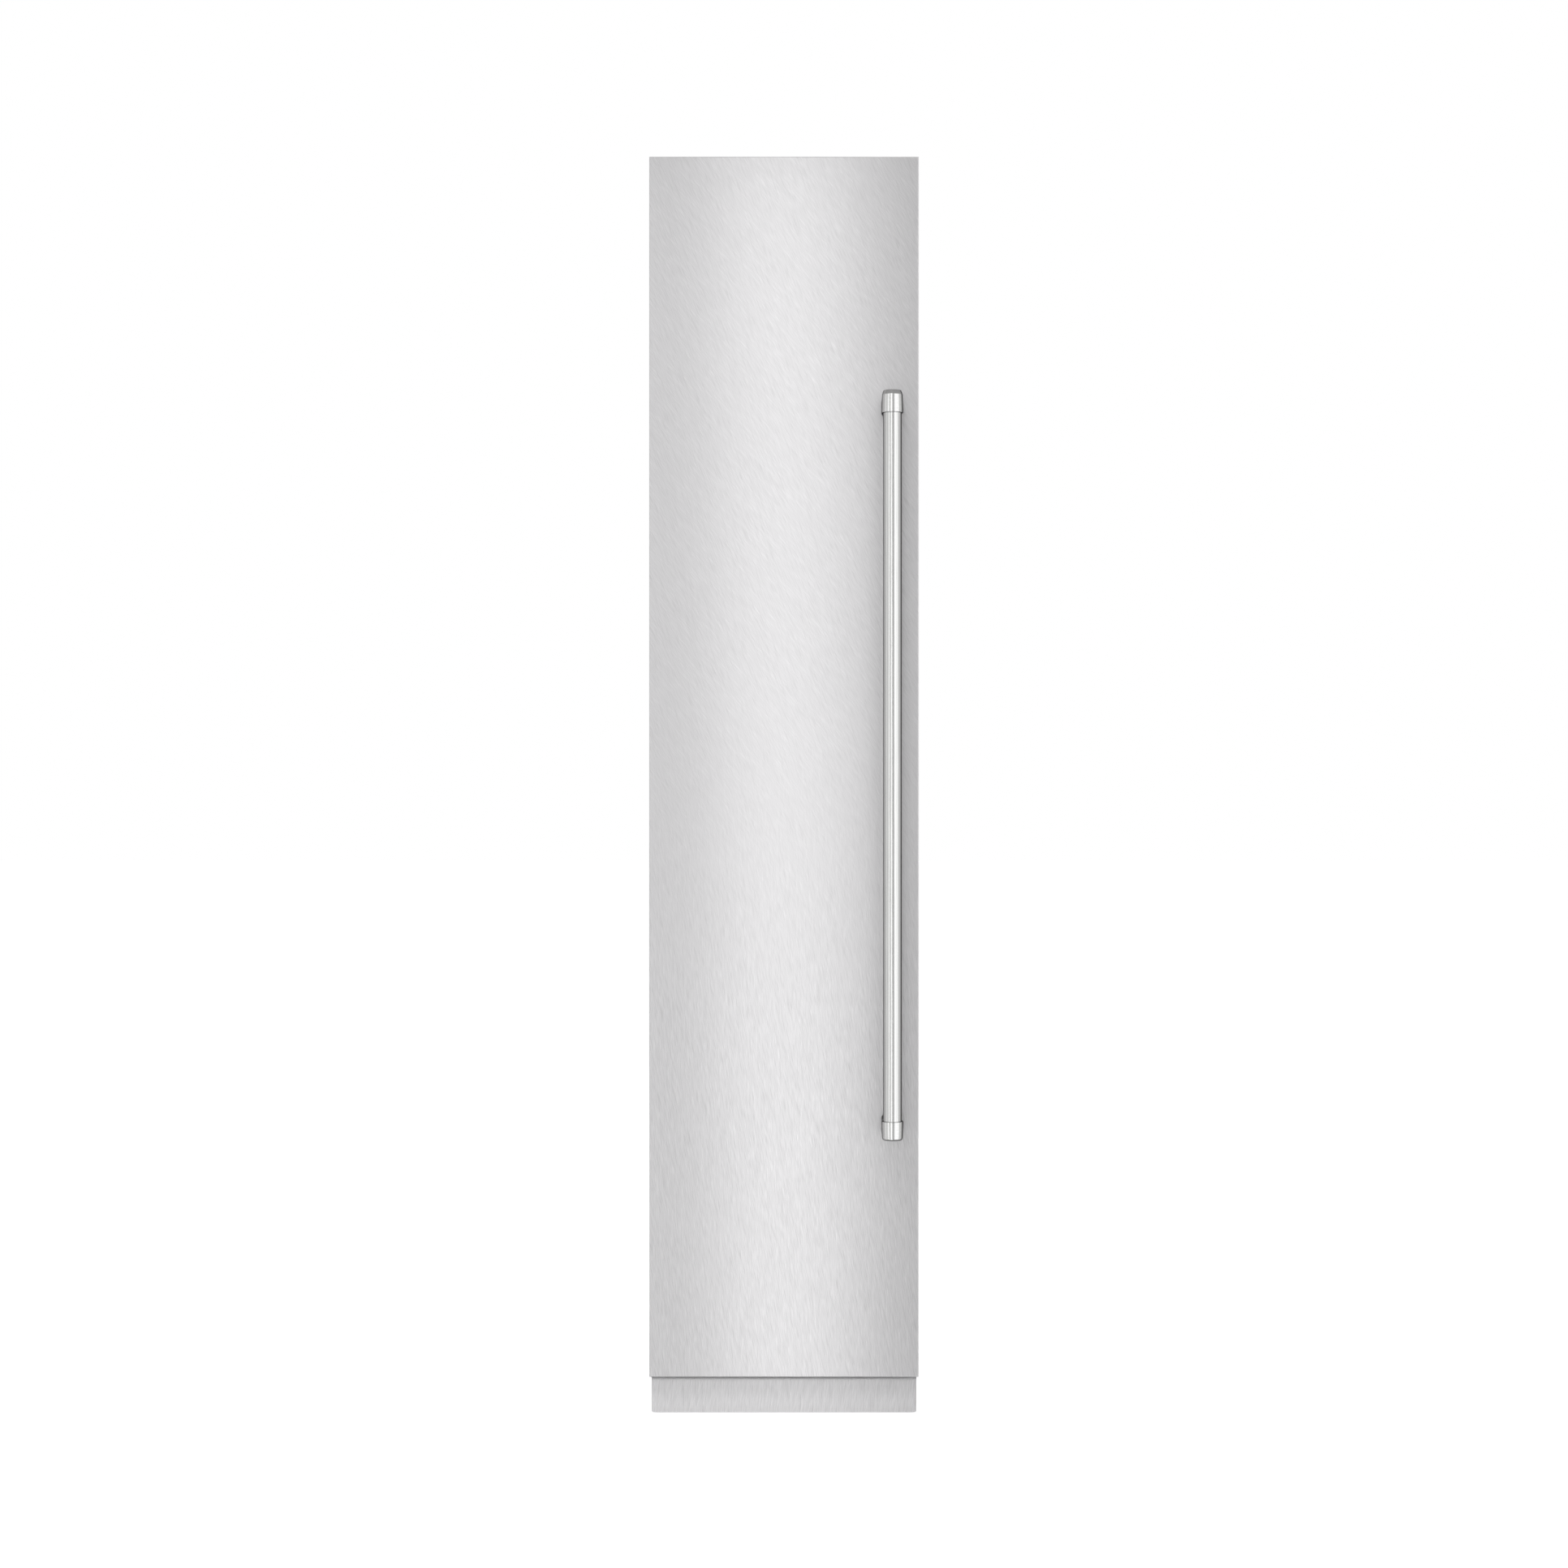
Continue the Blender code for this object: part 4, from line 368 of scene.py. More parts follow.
@dataclass(frozen=True)
class MouldedPlastic(Finish):
    """Moulded or vacuum-formed plastic: a fine even grain, a little cloudy where the wall is thin."""

    other: str = "#EBEDEE"
    grain: float = 0.8 * MM
    depth: float = 0.012 * MM
    shine: float = 0.5
    grain_range: Span = (0.35, 0.65)
    grain_strength: float = 0.4
    cloud_size: float = 90.0
    dulling: float = 1.15

    def dress(self, tree: NodeTree, shader: Node) -> None:
        """Lays the mould's grain and the faint clouds of formed sheet."""
        grain = self.streaks(tree, (self.grain,) * 3, *self.grain_range)
        cloud = self.streaks(tree, (self.grain * self.cloud_size,) * 3, *self.grain_range)
        self.tint(tree, shader, cloud, self.other)
        self.sheen_range(tree, shader, grain, self.roughness * self.dulling)
        self.relief(tree, shader, grain, self.depth, self.grain_strength)
        shader.inputs["Specular IOR Level"].default_value = self.shine


@dataclass(frozen=True)
class ClearWall(Finish):
    """Clear moulded plastic or float glass, its own colour showing where light goes through."""

    ior: float = 1.5
    ripple: float = 22 * MM
    depth: float = 0.05 * MM
    ripple_range: Span = (0.3, 0.7)
    ripple_strength: float = 0.2
    dulling: float = 1.6

    def dress(self, tree: NodeTree, shader: Node) -> None:
        """Lets the light through, with the slow ripple of a moulded or rolled wall."""
        ripple = self.streaks(tree, (self.ripple,) * 3, *self.ripple_range)
        self.relief(tree, shader, ripple, self.depth, self.ripple_strength)
        self.sheen_range(tree, shader, ripple, self.roughness * self.dulling)
        shader.inputs["Transmission Weight"].default_value = 1.0
        shader.inputs["IOR"].default_value = self.ior


@dataclass(frozen=True)
class GlowingPlastic(Finish):
    """Opal plastic lit from behind, as a lamp's cover."""

    glow: float = 0.9
    lamp_pitch: float = 30 * MM
    dimmest: float = 0.85

    def dress(self, tree: NodeTree, shader: Node) -> None:
        """Lets the cover glow, a little more at each lamp behind it."""
        turns = reckon(tree, "MULTIPLY", own_height(tree), math.tau / self.lamp_pitch)
        level = ramp(tree, reckon(tree, "SINE", turns), -1.0, 1.0, (self.glow * self.dimmest, self.glow))
        tree.links.new(level, shader.inputs["Emission Strength"])
        shader.inputs["Emission Color"].default_value = linear(self.colour)


# Meshes


def about(middle: float, half: float) -> Span:
    """Returns the span that reaches equally far to both sides of a place."""
    return middle - half, middle + half


def inner(span: Span, margin: float) -> Span:
    """Returns a span without a margin at each end."""
    return span[0] + margin, span[1] - margin


def shifted(span: Span, by: float) -> Span:
    """Returns a span moved along its axis."""
    return span[0] + by, span[1] + by


def spans(box: Sequence[Vector]) -> list[Span]:
    """Returns the span on each axis of a box that is given by its two corners."""
    return list(zip(*box))


def outwards(bm: BMesh) -> BMesh:
    """Turns every face outwards and returns the same mesh."""
    bmesh.ops.recalc_face_normals(bm, faces=bm.faces)
    return bm


def thickened(bm: BMesh, wall: float) -> BMesh:
    """Gives a surface its wall, away from its normals, and returns the same mesh."""
    bmesh.ops.solidify(bm, geom=bm.faces[:], thickness=wall)
    return bm


def cuboid(x: Span, y: Span, z: Span) -> BMesh:
    """Makes a block between two places on each axis.

    Args:
        x: Its left and right.
        y: Its front and back.
        z: Its bottom and top.

    Returns:
        The block.
    """
    bm = bmesh.new()
    bmesh.ops.create_cube(bm, size=1.0)
    bmesh.ops.scale(bm, vec=[far - near for near, far in (x, y, z)], verts=bm.verts)
    bmesh.ops.translate(bm, vec=[(near + far) / 2 for near, far in (x, y, z)], verts=bm.verts)
    return bm


def rounded(bm: BMesh, radius: float, segments: int, picks: Callable[[BMEdge], bool] | None = None) -> BMesh:
    """Rounds the edges that a test picks, or all of them.

    Args:
        bm: The mesh, changed in place.
        radius: The radius of the rounding.
        segments: The faces across it.
        picks: The test, which gets an edge.

    Returns:
        The same mesh.
    """
    edges = [
        edge
        for edge in bm.edges
        if edge.is_manifold and edge.calc_face_angle() > FLAT_ANGLE and (picks is None or picks(edge))
    ]
    bmesh.ops.bevel(
        bm, geom=edges, offset=radius, segments=segments, profile=0.5, affect="EDGES", material=-1
    )
    return bm


def along(axis: Axis) -> Callable[[BMEdge], bool]:
    """Returns a test that picks the edges that run along an axis."""

    def picks(edge: BMEdge) -> bool:
        run = edge.verts[1].co - edge.verts[0].co
        return abs(run[axis.value]) > run.length * PARALLEL

    return picks


def at_place(axis: Axis, *places: float) -> Callable[[BMEdge | BMFace], bool]:
    """Returns a test that picks the edges or faces that lie wholly at one of some places on an axis."""

    def picks(item: BMEdge | BMFace) -> bool:
        return any(all(abs(vert.co[axis.value] - place) < WELD for vert in item.verts) for place in places)

    return picks


def opened(bm: BMesh, picks: Callable[[BMFace], bool]) -> BMesh:
    """Takes away the faces that a test picks and returns the same mesh."""
    bmesh.ops.delete(bm, geom=[face for face in bm.faces if picks(face)], context="FACES_ONLY")
    return bm


def round_block(x: Span, y: Span, z: Span, radius: float, segments: int = 3) -> BMesh:
    """Makes a block with every edge rounded."""
    return rounded(cuboid(x, y, z), radius, segments)


def soft_block(x: Span, y: Span, z: Span, axis: Axis, corner: float, edge: float) -> BMesh:
    """Makes a block with round corners about one axis and softer edges all round.

    Args:
        x: Its left and right.
        y: Its front and back.
        z: Its bottom and top.
        axis: The axis that the corners turn about.
        corner: The corners' radius.
        edge: The other edges' radius.

    Returns:
        The block.
    """
    bm = rounded(cuboid(x, y, z), corner, 6, along(axis))
    return rounded(bm, edge, 3, at_place(axis, *(x, y, z)[axis.value]))


def new_verts(grown: dict[str, Any]) -> list[BMVert]:
    """Returns the vertices that an extrusion made."""
    return [item for item in grown["geom"] if isinstance(item, BMVert)]


def frame_of(x: Span, y: Span, z: Span, width: float, corner: float, edge: float, axis: Axis) -> BMesh:
    """Makes a rectangular frame with round corners and softened rims.

    Args:
        x: Its left and right.
        y: Its front and back.
        z: Its bottom and top.
        width: The width of its bars.
        corner: The radius of its corners, inside and outside.
        edge: The radius of its rims.
        axis: The axis that its opening faces.

    Returns:
        The frame.
    """
    sides = (x, y, z)
    size = [far - near for near, far in sides]
    tall = size[2] if axis is Axis.Y else size[1]
    bm = bmesh.new()
    bmesh.ops.create_grid(bm, x_segments=1, y_segments=1, size=0.5)
    bmesh.ops.scale(bm, vec=(size[0], tall, 1), verts=bm.verts)
    middle = bm.faces[:]
    bmesh.ops.inset_individual(bm, faces=middle, thickness=width, use_even_offset=True)
    bmesh.ops.delete(bm, geom=middle, context="FACES_ONLY")
    grown = bmesh.ops.extrude_face_region(bm, geom=bm.faces[:], use_keep_orig=True)
    bmesh.ops.translate(bm, vec=(0, 0, size[axis.value]), verts=new_verts(grown))
    bmesh.ops.translate(bm, vec=(0, 0, -size[axis.value] / 2), verts=bm.verts)
    if axis is Axis.Y:
        bmesh.ops.rotate(bm, cent=(0, 0, 0), matrix=Matrix.Rotation(math.pi / 2, 3, "X"), verts=bm.verts)
    bmesh.ops.translate(bm, vec=[(near + far) / 2 for near, far in sides], verts=bm.verts)
    rounded(outwards(bm), corner, 5, along(axis))
    return rounded(bm, edge, 3, at_place(axis, *sides[axis.value]))


def open_tub(x: Span, y: Span, z: Span, corner: float, foot: float) -> BMesh:
    """Makes the outside of a tub, as a surface that is open at the top.

    Args:
        x: Its left and right.
        y: Its front and back.
        z: Its bottom and top.
        corner: The radius of its upright corners.
        foot: The radius round its floor.

    Returns:
        The surface.
    """
    bm = rounded(cuboid(x, y, z), corner, 6, along(Axis.Z))
    return opened(rounded(bm, foot, 4, at_place(Axis.Z, z[0])), at_place(Axis.Z, z[1]))


def walled(bm: BMesh, wall: float, flange: float = 0.0) -> BMesh:
    """Gives an open surface its wall, with a flange that stands out all round its open rim.

    Args:
        bm: The surface, changed in place.
        wall: The wall's thickness, inwards.
        flange: The flange's width.

    Returns:
        The same mesh.
    """
    if flange:
        rim = [edge for edge in bm.edges if edge.is_boundary]
        low = Vector([min(vert.co[axis] for vert in bm.verts) for axis in range(3)])
        high = Vector([max(vert.co[axis] for vert in bm.verts) for axis in range(3)])
        middle, size = (low + high) / 2, high - low
        grown = bmesh.ops.extrude_edge_only(bm, edges=rim)
        wider = (1 + 2 * flange / size.x, 1 + 2 * flange / size.y, 1)
        bmesh.ops.scale(bm, vec=wider, space=Matrix.Translation(-middle), verts=new_verts(grown))
    return thickened(outwards(bm), wall)


def turned(
    profile: Sequence[Span],
    place: Point,
    direction: Point = (0, 0, 1),
    steps: int = 48,
    rims: dict[int, float] | None = None,
) -> BMesh:
    """Spins a profile into a round shape.

    Args:
        profile: Radius and distance along the direction, from one end to the other.
        place: Where the distances start.
        direction: The way the axis points.
        steps: The sides round it.
        rims: The radius that rounds each of these points of the profile.

    Returns:
        The shape.
    """
    bm = bmesh.new()
    verts = [bm.verts.new((radius, 0, height)) for radius, height in profile]
    edges = [bm.edges.new(pair) for pair in zip(verts, verts[1:])]
    bmesh.ops.spin(
        bm,
        geom=verts + edges,
        cent=(0, 0, 0),
        axis=(0, 0, 1),
        angle=math.tau,
        steps=steps,
        use_merge=True,
        use_duplicate=False,
    )
    bmesh.ops.remove_doubles(bm, verts=bm.verts, dist=WELD)
    outwards(bm)
    for index, radius in (rims or {}).items():
        rim, height = profile[index]

        def on_rim(edge: BMEdge) -> bool:
            return all(
                abs(vert.co.z - height) < WELD and abs(vert.co.xy.length - rim) < WELD * 4
                for vert in edge.verts
            )

        rounded(bm, radius, 4, on_rim)
    turn = Vector((0, 0, 1)).rotation_difference(Vector(direction)).to_matrix()
    bmesh.ops.rotate(bm, cent=(0, 0, 0), matrix=turn, verts=bm.verts)
    bmesh.ops.translate(bm, vec=Vector(place), verts=bm.verts)
    return bm


def rod(
    place: Point, direction: Point, length: float, radius: float, steps: int = 32, rim: float = 0.0
) -> BMesh:
    """Makes a round rod from a place along a direction, its ends' rims rounded."""
    profile = [(0, 0), (radius, 0), (radius, length), (0, length)]
    return turned(profile, place, direction, steps, {1: rim, 2: rim} if rim else None)


def thread_of(root: float, crest: float, pitch: float, rise: Span) -> list[Span]:
    """Gives the profile of a thread, its roots and crests by turns.

    Args:
        root: The radius between the crests.
        crest: The radius of the crests.
        pitch: The distance between them.
        rise: Where it starts and what it stays under.

    Returns:
        Radius and distance of each point, the last one a root.
    """
    profile, height = [], rise[0]
    while height + pitch < rise[1]:
        profile += [(root, height), (crest, height + pitch / 2)]
        height += pitch
    return [*profile, (root, height)]


def sheet_of(outline: Sequence[Point], thickness: Point) -> BMesh:
    """Makes a plate from an outline.

    Args:
        outline: The corners of one side, in order.
        thickness: How far, and which way, the other side lies.

    Returns:
        The plate.
    """
    bm = bmesh.new()
    face = bm.faces.new([bm.verts.new(corner) for corner in outline])
    grown = bmesh.ops.extrude_face_region(bm, geom=[face], use_keep_orig=True)
    bmesh.ops.translate(bm, vec=Vector(thickness), verts=new_verts(grown))
    return outwards(bm)


def merged(*parts: BMesh) -> BMesh:
    """Puts several shapes in the first one's mesh and frees the others."""
    whole = parts[0]
    for part in parts[1:]:
        carrier = bpy.data.meshes.new("carrier")
        part.to_mesh(carrier)
        part.free()
        whole.from_mesh(carrier)
        bpy.data.meshes.remove(carrier)
    return whole


def moved(bm: BMesh, step: Point) -> BMesh:
    """Returns a copy of a shape, moved by a step."""
    copy = bm.copy()
    bmesh.ops.translate(copy, vec=Vector(step), verts=copy.verts)
    return copy


def repeated(bm: BMesh, step: Point, count: int) -> BMesh:
    """Returns a shape with copies of it, each a step further."""
    copies = [moved(bm, tuple(Vector(step) * index)) for index in range(1, count)]
    return merged(bm, *copies)


def mirrored(bm: BMesh) -> BMesh:
    """Returns a copy of a shape on the other side of the object's middle."""
    copy = bm.copy()
    bmesh.ops.scale(copy, vec=(-1, 1, 1), verts=copy.verts)
    bmesh.ops.reverse_faces(copy, faces=copy.faces)
    return copy


def carved(bm: BMesh, *cutters: BMesh) -> BMesh:
    """Takes shapes out of a shape.

    Args:
        bm: The shape, which is freed.
        *cutters: What is taken out, freed too.

    Returns:
        What is left.
    """
    held = []
    for shape in (bm, merged(*cutters)):
        mesh = bpy.data.meshes.new("carved")
        shape.to_mesh(mesh)
        shape.free()
        held.append(bpy.data.objects.new("carved", mesh))
        bpy.context.scene.collection.objects.link(held[-1])
    body, cutter = held
    modifier = body.modifiers.new("cut", "BOOLEAN")
    modifier.operation = "DIFFERENCE"
    modifier.solver = "EXACT"
    modifier.use_self = True
    modifier.object = cutter
    left = bmesh.new()
    left.from_object(body, bpy.context.evaluated_depsgraph_get())
    for item in held:
        mesh = item.data
        bpy.data.objects.remove(item)
        bpy.data.meshes.remove(mesh)
    return left


def tube(path: Sequence[Point], radius: float, bend: float = 0.0, sides: int = 10) -> BMesh:
    """Makes a bent tube along a path.

    Args:
        path: Its corners.
        radius: The tube's own radius.
        bend: The radius of its bends.
        sides: The sides round it.

    Returns:
        The tube, with closed ends.
    """
    wire = bmesh.new()
    verts = [wire.verts.new(corner) for corner in path]
    for pair in zip(verts, verts[1:]):
        wire.edges.new(pair)
    if bend:
        bmesh.ops.bevel(
            wire, geom=verts[1:-1], offset=bend, segments=5, profile=0.5, affect="VERTICES", material=-1
        )
    mesh = bpy.data.meshes.new("wire")
    wire.to_mesh(mesh)
    wire.free()
    carrier = bpy.data.objects.new("wire", mesh)
    bpy.context.scene.collection.objects.link(carrier)
    with bpy.context.temp_override(
        active_object=carrier, object=carrier, selected_objects=[carrier], selected_editable_objects=[carrier]
    ):
        bpy.ops.object.convert(target="CURVE")
    curve = carrier.data
    curve.bevel_depth = radius
    curve.bevel_resolution = max(1, sides // 4)
    curve.use_fill_caps = True
    whole = carrier.evaluated_get(bpy.context.evaluated_depsgraph_get())
    shape = bpy.data.meshes.new_from_object(whole)
    made = bmesh.new()
    made.from_mesh(shape)
    bmesh.ops.remove_doubles(made, verts=made.verts, dist=WELD)
    bpy.data.objects.remove(carrier)
    bpy.data.curves.remove(curve)
    bpy.data.meshes.remove(shape)
    return outwards(made)


def make_piece(
    name: str, bm: BMesh, finish: Finish, body: str, *stands_for: str, slot: str = "", even: bool = True
) -> None:
    """Makes an object of a finished shape and says what it is.

    Args:
        name: The piece's name.
        bm: Its shape, which is freed.
        finish: Its finish.
        body: The CAD body that it moves with.
        *stands_for: The CAD nodes that it replaces.
        slot: The record's slot, where that isn't the finish's own; it is not used.
        even: Whether large faces keep flat reflections next to rounded edges.
    """
    mesh = bpy.data.meshes.new(name)
    bm.to_mesh(mesh)
    bm.free()
    mesh.materials.append(finish.build())
    mesh.shade_smooth()
    mesh.set_sharp_from_angle(angle=SMOOTH_ANGLE)
    made = bpy.data.objects.new(name, mesh)
    bpy.context.scene.collection.objects.link(made)
    if even:
        made.modifiers.new("even_normals", "WEIGHTED_NORMAL").keep_sharp = True
    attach(made, body)
    if stands_for:
        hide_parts(*stands_for)
    LOG.info("%s: %d faces, moves with %s", name, len(mesh.polygons), body)


# The finishes of this freezer

# Number 4 finish sheet, rubbed by hand pads: broad soft reflections broken by fine crossed scratches
BRUSHED_STAINLESS = BrushedSteel(
    "stainless_sheet_hand_brushed", "#D5D4D5", 0.32, 0.72, slot="brushed_stainless"
)
# The toe kick's sheet, rubbed the other way
KICK_STAINLESS = BrushedSteel(
    "stainless_sheet_cross_brushed",
    "#D7D6D7",
    0.4,
    0.45,
    slant=math.radians(-12),
    steep=math.radians(-12),
    slot="brushed_stainless",
)
# Drawn tube, satin polished along its length: long clear reflections with a faint grain, and shade painted
# along its edges by a dark edge tint
DRAWN_STAINLESS = SatinMetal(
    "stainless_tube_drawn_and_satin_polished",
    "#DCDCDB",
    0.16,
    1.0,
    # This dark edge tint is painted shade along the tube's edges
    painted_edge_shade="#2A2A2A",
    slot="brushed_stainless",
)
# Turned and polished caps: brighter, with the tool's faint rings, and shade painted along their edges by a
# dark edge tint
TURNED_STAINLESS = SatinMetal(
    "stainless_cap_turned_and_polished",
    "#E0E0DF",
    0.1,
    1.0,
    "#D6D6D5",
    (9 * MM, 9 * MM, 0.5 * MM),
    # This dark edge tint is painted shade along the caps' edges
    painted_edge_shade="#4A4A4A",
    slot="polished_stainless",
)
# Sprayed and baked paint on the wrap, the front frame and the door's shell: satin grey, slight orange peel
CABINET_PAINT = SprayPaint(
    "polyester_powder_paint_on_steel", "#95979A", 0.45, other="#939598", slot="cabinet_paint"
)
# Galvanised sheet at the back and underneath: pale zinc with flat crystals
ZINC_SHEET = GalvanisedSheet("steel_sheet_hot_dip_galvanised", "#B6BABD", 0.44, 0.45, slot="zinc_sheet")
# Zinc-plated small steel parts: a brighter, even grey
ZINC_PLATED = SatinMetal(
    "steel_parts_zinc_plated", "#B4B8BB", 0.34, 1.0, "#A2A7AB", (2 * MM,) * 3, slot="zinc_sheet"
)
# Air-drying paint on the fan motors: a darker satin grey
MOTOR_PAINT = SprayPaint(
    "alkyd_paint_on_motor_cans", "#8A8D90", 0.5, other="#7E8184", peel=1.6 * MM, slot="motor_paint"
)
# Thick black enamel on the compressor: deep black, wet gloss and visible peel
COMPRESSOR_ENAMEL = SprayPaint(
    "black_enamel_on_compressor_shell",
    "#101011",
    0.28,
    other="#151516",
    peel=3.2 * MM,
    depth=0.05 * MM,
    slot="compressor_paint",
)
# High-impact polystyrene, vacuum formed: a clean cool white with a low sheen
LINER_PLASTIC = MouldedPlastic(
    "polystyrene_sheet_vacuum_formed", "#E9ECED", 0.34, other="#E7EAEB", slot="liner_plastic"
)
# Injection-moulded white plastic of the ice maker, drawers, shelf rims and valve: a little glossier
WHITE_PLASTIC = MouldedPlastic(
    "abs_injection_moulded_white", "#E7E9EA", 0.26, other="#E4E6E7", slot="liner_plastic"
)
# Clear polystyrene of bins and drawers: cold and clear, faint ripples from the mould
CLEAR_PLASTIC = ClearWall("polystyrene_moulded_clear", "#F9FCFD", 0.05, ior=1.45, slot="clear_plastic")
# Tempered float glass: clear with a green cast that deepens at its edges
SHELF_GLASS = ClearWall("float_glass_tempered", "#F0F9F5", 0.02, ior=1.5, ripple=90 * MM, slot="shelf_glass")
# Opal cover of the light strips, lit evenly with a soft maximum at each lamp
LAMP_COVER = GlowingPlastic("polycarbonate_opal_extruded", "#F4F8FC", 0.4, glow=8.0, slot="lamp_cover")
# Black moulded plastic: fans, feet, rollers, hinge bushes, pan, inlet and panel
DARK_PLASTIC = MouldedPlastic(
    "abs_injection_moulded_black", "#1E1F20", 0.42, other="#232425", slot="dark_plastic"
)
# Glossy black window of the touch panel
PANEL_WINDOW = MouldedPlastic(
    "acrylic_window_black", "#0B0C0D", 0.08, other="#0D0E0F", depth=0.002 * MM, slot="dark_plastic"
)
# Pale printed ink of the touch marks
PRINTED_INK = MouldedPlastic("screen_ink_pale_grey", "#C9CDD0", 0.5, other="#C2C6C9", slot="dark_plastic")
# Soft extruded seal: matt grey with a fine bloom
GASKET_RUBBER = MouldedPlastic(
    "vinyl_seal_extruded",
    "#A9ABAC",
    0.62,
    other="#A1A3A4",
    grain=1.4 * MM,
    depth=0.03 * MM,
    shine=0.35,
    slot="gasket_rubber",
)
# Dark rubber of the compressor's grommets
DARK_RUBBER = MouldedPlastic(
    "rubber_moulded_black",
    "#232323",
    0.7,
    other="#2A2A2A",
    grain=1.2 * MM,
    depth=0.03 * MM,
    shine=0.3,
    slot="dark_plastic",
)
# Rigid foam of the insulation: pale straw with open cells
RIGID_FOAM = MouldedPlastic(
    "polyurethane_foam_rigid",
    "#E6DCBC",
    0.85,
    other="#DDD1AC",
    grain=2.2 * MM,
    depth=0.25 * MM,
    shine=0.2,
    slot="insulation_foam",
)
# Aluminium fins, tube and ice tray: bright, slightly streaked by the rolls
COIL_ALUMINIUM = SatinMetal(
    "aluminium_fin_stock_rolled", "#D4D6D8", 0.36, 1.0, "#CDD0D2", (1.5 * MM,) * 3, slot="coil_aluminium"
)
# Copper tube, drawn: warm and slightly browned
COIL_COPPER = SatinMetal(
    "copper_tube_drawn", "#C98A63", 0.34, 1.0, "#A96B47", (5 * MM,) * 3, slot="coil_copper"
)


# The studio


@dataclass
class Studio:
    """A plain floor, a white backdrop, soft light and a camera where the photograph was taken."""

    camera_distance: float = 4.2
    camera_height: float = 1.0686
    frame_width: float = 2.648
    sensor: float = 36.0
    floor_size: float = 60.0
    # Metal reflects a ring of light and dark sheets round the object: degrees from the camera, level
    ring: tuple[Span, ...] = (
        # Behind the object, on its left
        (-180, 1.5), (-170, 1.2), (-158, 0.12), (-135, 0.1), (-120, 0.12), (-105, 0.3), (-90, 0.8),
        # In front of it, on its left
        (-80, 1.0), (-70, 0.76), (-60, 0.8), (-50, 1.1), (-40, 0.62), (-30, 0.25),
        # In front of it, on its right
        (3, 0.25), (6, 0.7), (12, 0.65), (20, 0.86), (30, 1.75), (40, 1.45), (50, 1.32), (60, 1.4),
        (68, 1.3), (78, 0.7),
        # Behind it, on its right
        (90, 0.85), (105, 0.6), (120, 0.5), (135, 0.1), (158, 0.12), (170, 1.2), (180, 1.5),
    )
    ring_top: float = 2.0
    sky_level: float = 0.37
    ground_level: float = 0.3
    fill_level: float = 0.38
    # The heights, in radians, over which the ring goes to the sky's and the ground's level
    sky_from: Span = (0.36, 0.56)
    ground_from: Span = (-0.6, -0.9)
    sheet_distance: float = 0.8
    sheet_height: float = 0.85
    sheet_length: float = 3.2
    # Each sheet's name, x, width and power
    sheets: tuple[tuple[str, float, float, float], ...] = (
        ("left_sheet", -0.42, 0.24, 2.25), ("middle_sheet", 0.0, 0.30, 3.62)
    )
    # The name, place, size and power of each lamp on the right, which has a twin on the left
    lamps: tuple[tuple[str, Point, Span, float], ...] = (
        ("key", (1.08, FRONT - 2.7, 4.55), (1.2, 1.2), 42.0),
        ("side_lamp", (3.2, 0.1, 1.7), (1.6, 2.4), 38.0),
        ("rear_lamp", (1.4, 3.4, 2.3), (1.4, 2.0), 34.0),
    )
    aim_height: float = 1.1
    floor_colours: tuple[str, str] = ("#E8E8E8", "#C6C6C6")
    floor_glow: float = 0.8

    def build(self) -> None:
        """Makes everything round the object."""
        self.make_camera()
        self.make_world()
        self.make_floor()
        self.make_lamps()
        bpy.context.scene.view_settings.view_transform = "Standard"

    def make_camera(self) -> None:
        """Puts the camera level with the object's middle, straight in front of it."""
        data = bpy.data.cameras.new("camera")
        data.sensor_width = self.sensor
        data.lens = self.sensor * self.camera_distance / self.frame_width
        data.clip_end = self.floor_size
        camera = bpy.data.objects.new("camera", data)
        camera.location = (0, FRONT - self.camera_distance, self.camera_height)
        camera.rotation_euler = (math.pi / 2, 0, 0)
        bpy.context.scene.collection.objects.link(camera)
        bpy.context.scene.camera = camera

    def seen(self, tree: NodeTree) -> NodeSocket:
        """Returns 1 for what the camera sees, through clear pieces too."""
        ray = add_node(tree, "ShaderNodeLightPath")
        return reckon(tree, "MAXIMUM", ray.outputs["Is Camera Ray"], ray.outputs["Is Transmission Ray"])

    def make_world(self) -> None:
        """Makes the backdrop white to see, a ring of sheets to metal and an even light to the rest."""
        world = bpy.data.worlds.new("studio")
        world.use_nodes = True
        bpy.context.scene.world = world
        tree = world.node_tree
        tree.nodes.clear()
        sky, ground, fill, white = (
            add_node(tree, "ShaderNodeBackground", {"Color": (1, 1, 1, 1), "Strength": level})
            for level in (self.sky_level, self.ground_level, self.fill_level, 1.0)
        )
        place = add_node(tree, "ShaderNodeTexCoord").outputs["Generated"]
        x, y, z = add_node(tree, "ShaderNodeSeparateXYZ", {0: place}).outputs
        angle = reckon(tree, "ARCTAN2", x, reckon(tree, "MULTIPLY", y, -1.0))
        ring = add_node(tree, "ShaderNodeValToRGB", {0: ramp(tree, angle, -math.pi, math.pi)})
        stops = ring.color_ramp.elements
        for degrees, level in self.ring:
            at = degrees / 360 + 0.5
            stop = stops[0] if at == 0 else stops[-1] if at == 1 else stops.new(at)
            stop.color = (*[level / self.ring_top] * 3, 1)
        sheets = add_node(tree, "ShaderNodeBackground", {"Color": ring.outputs[0], "Strength": self.ring_top})
        for limits, beyond in ((self.sky_from, sky), (self.ground_from, ground)):
            sheets = between(tree, ramp(tree, z, *map(math.sin, limits)), sheets, beyond)
        glossy = add_node(tree, "ShaderNodeLightPath").outputs["Is Glossy Ray"]
        final = between(tree, self.seen(tree), between(tree, glossy, fill, sheets), white)
        add_node(tree, "ShaderNodeOutputWorld", {"Surface": final.outputs[0]})

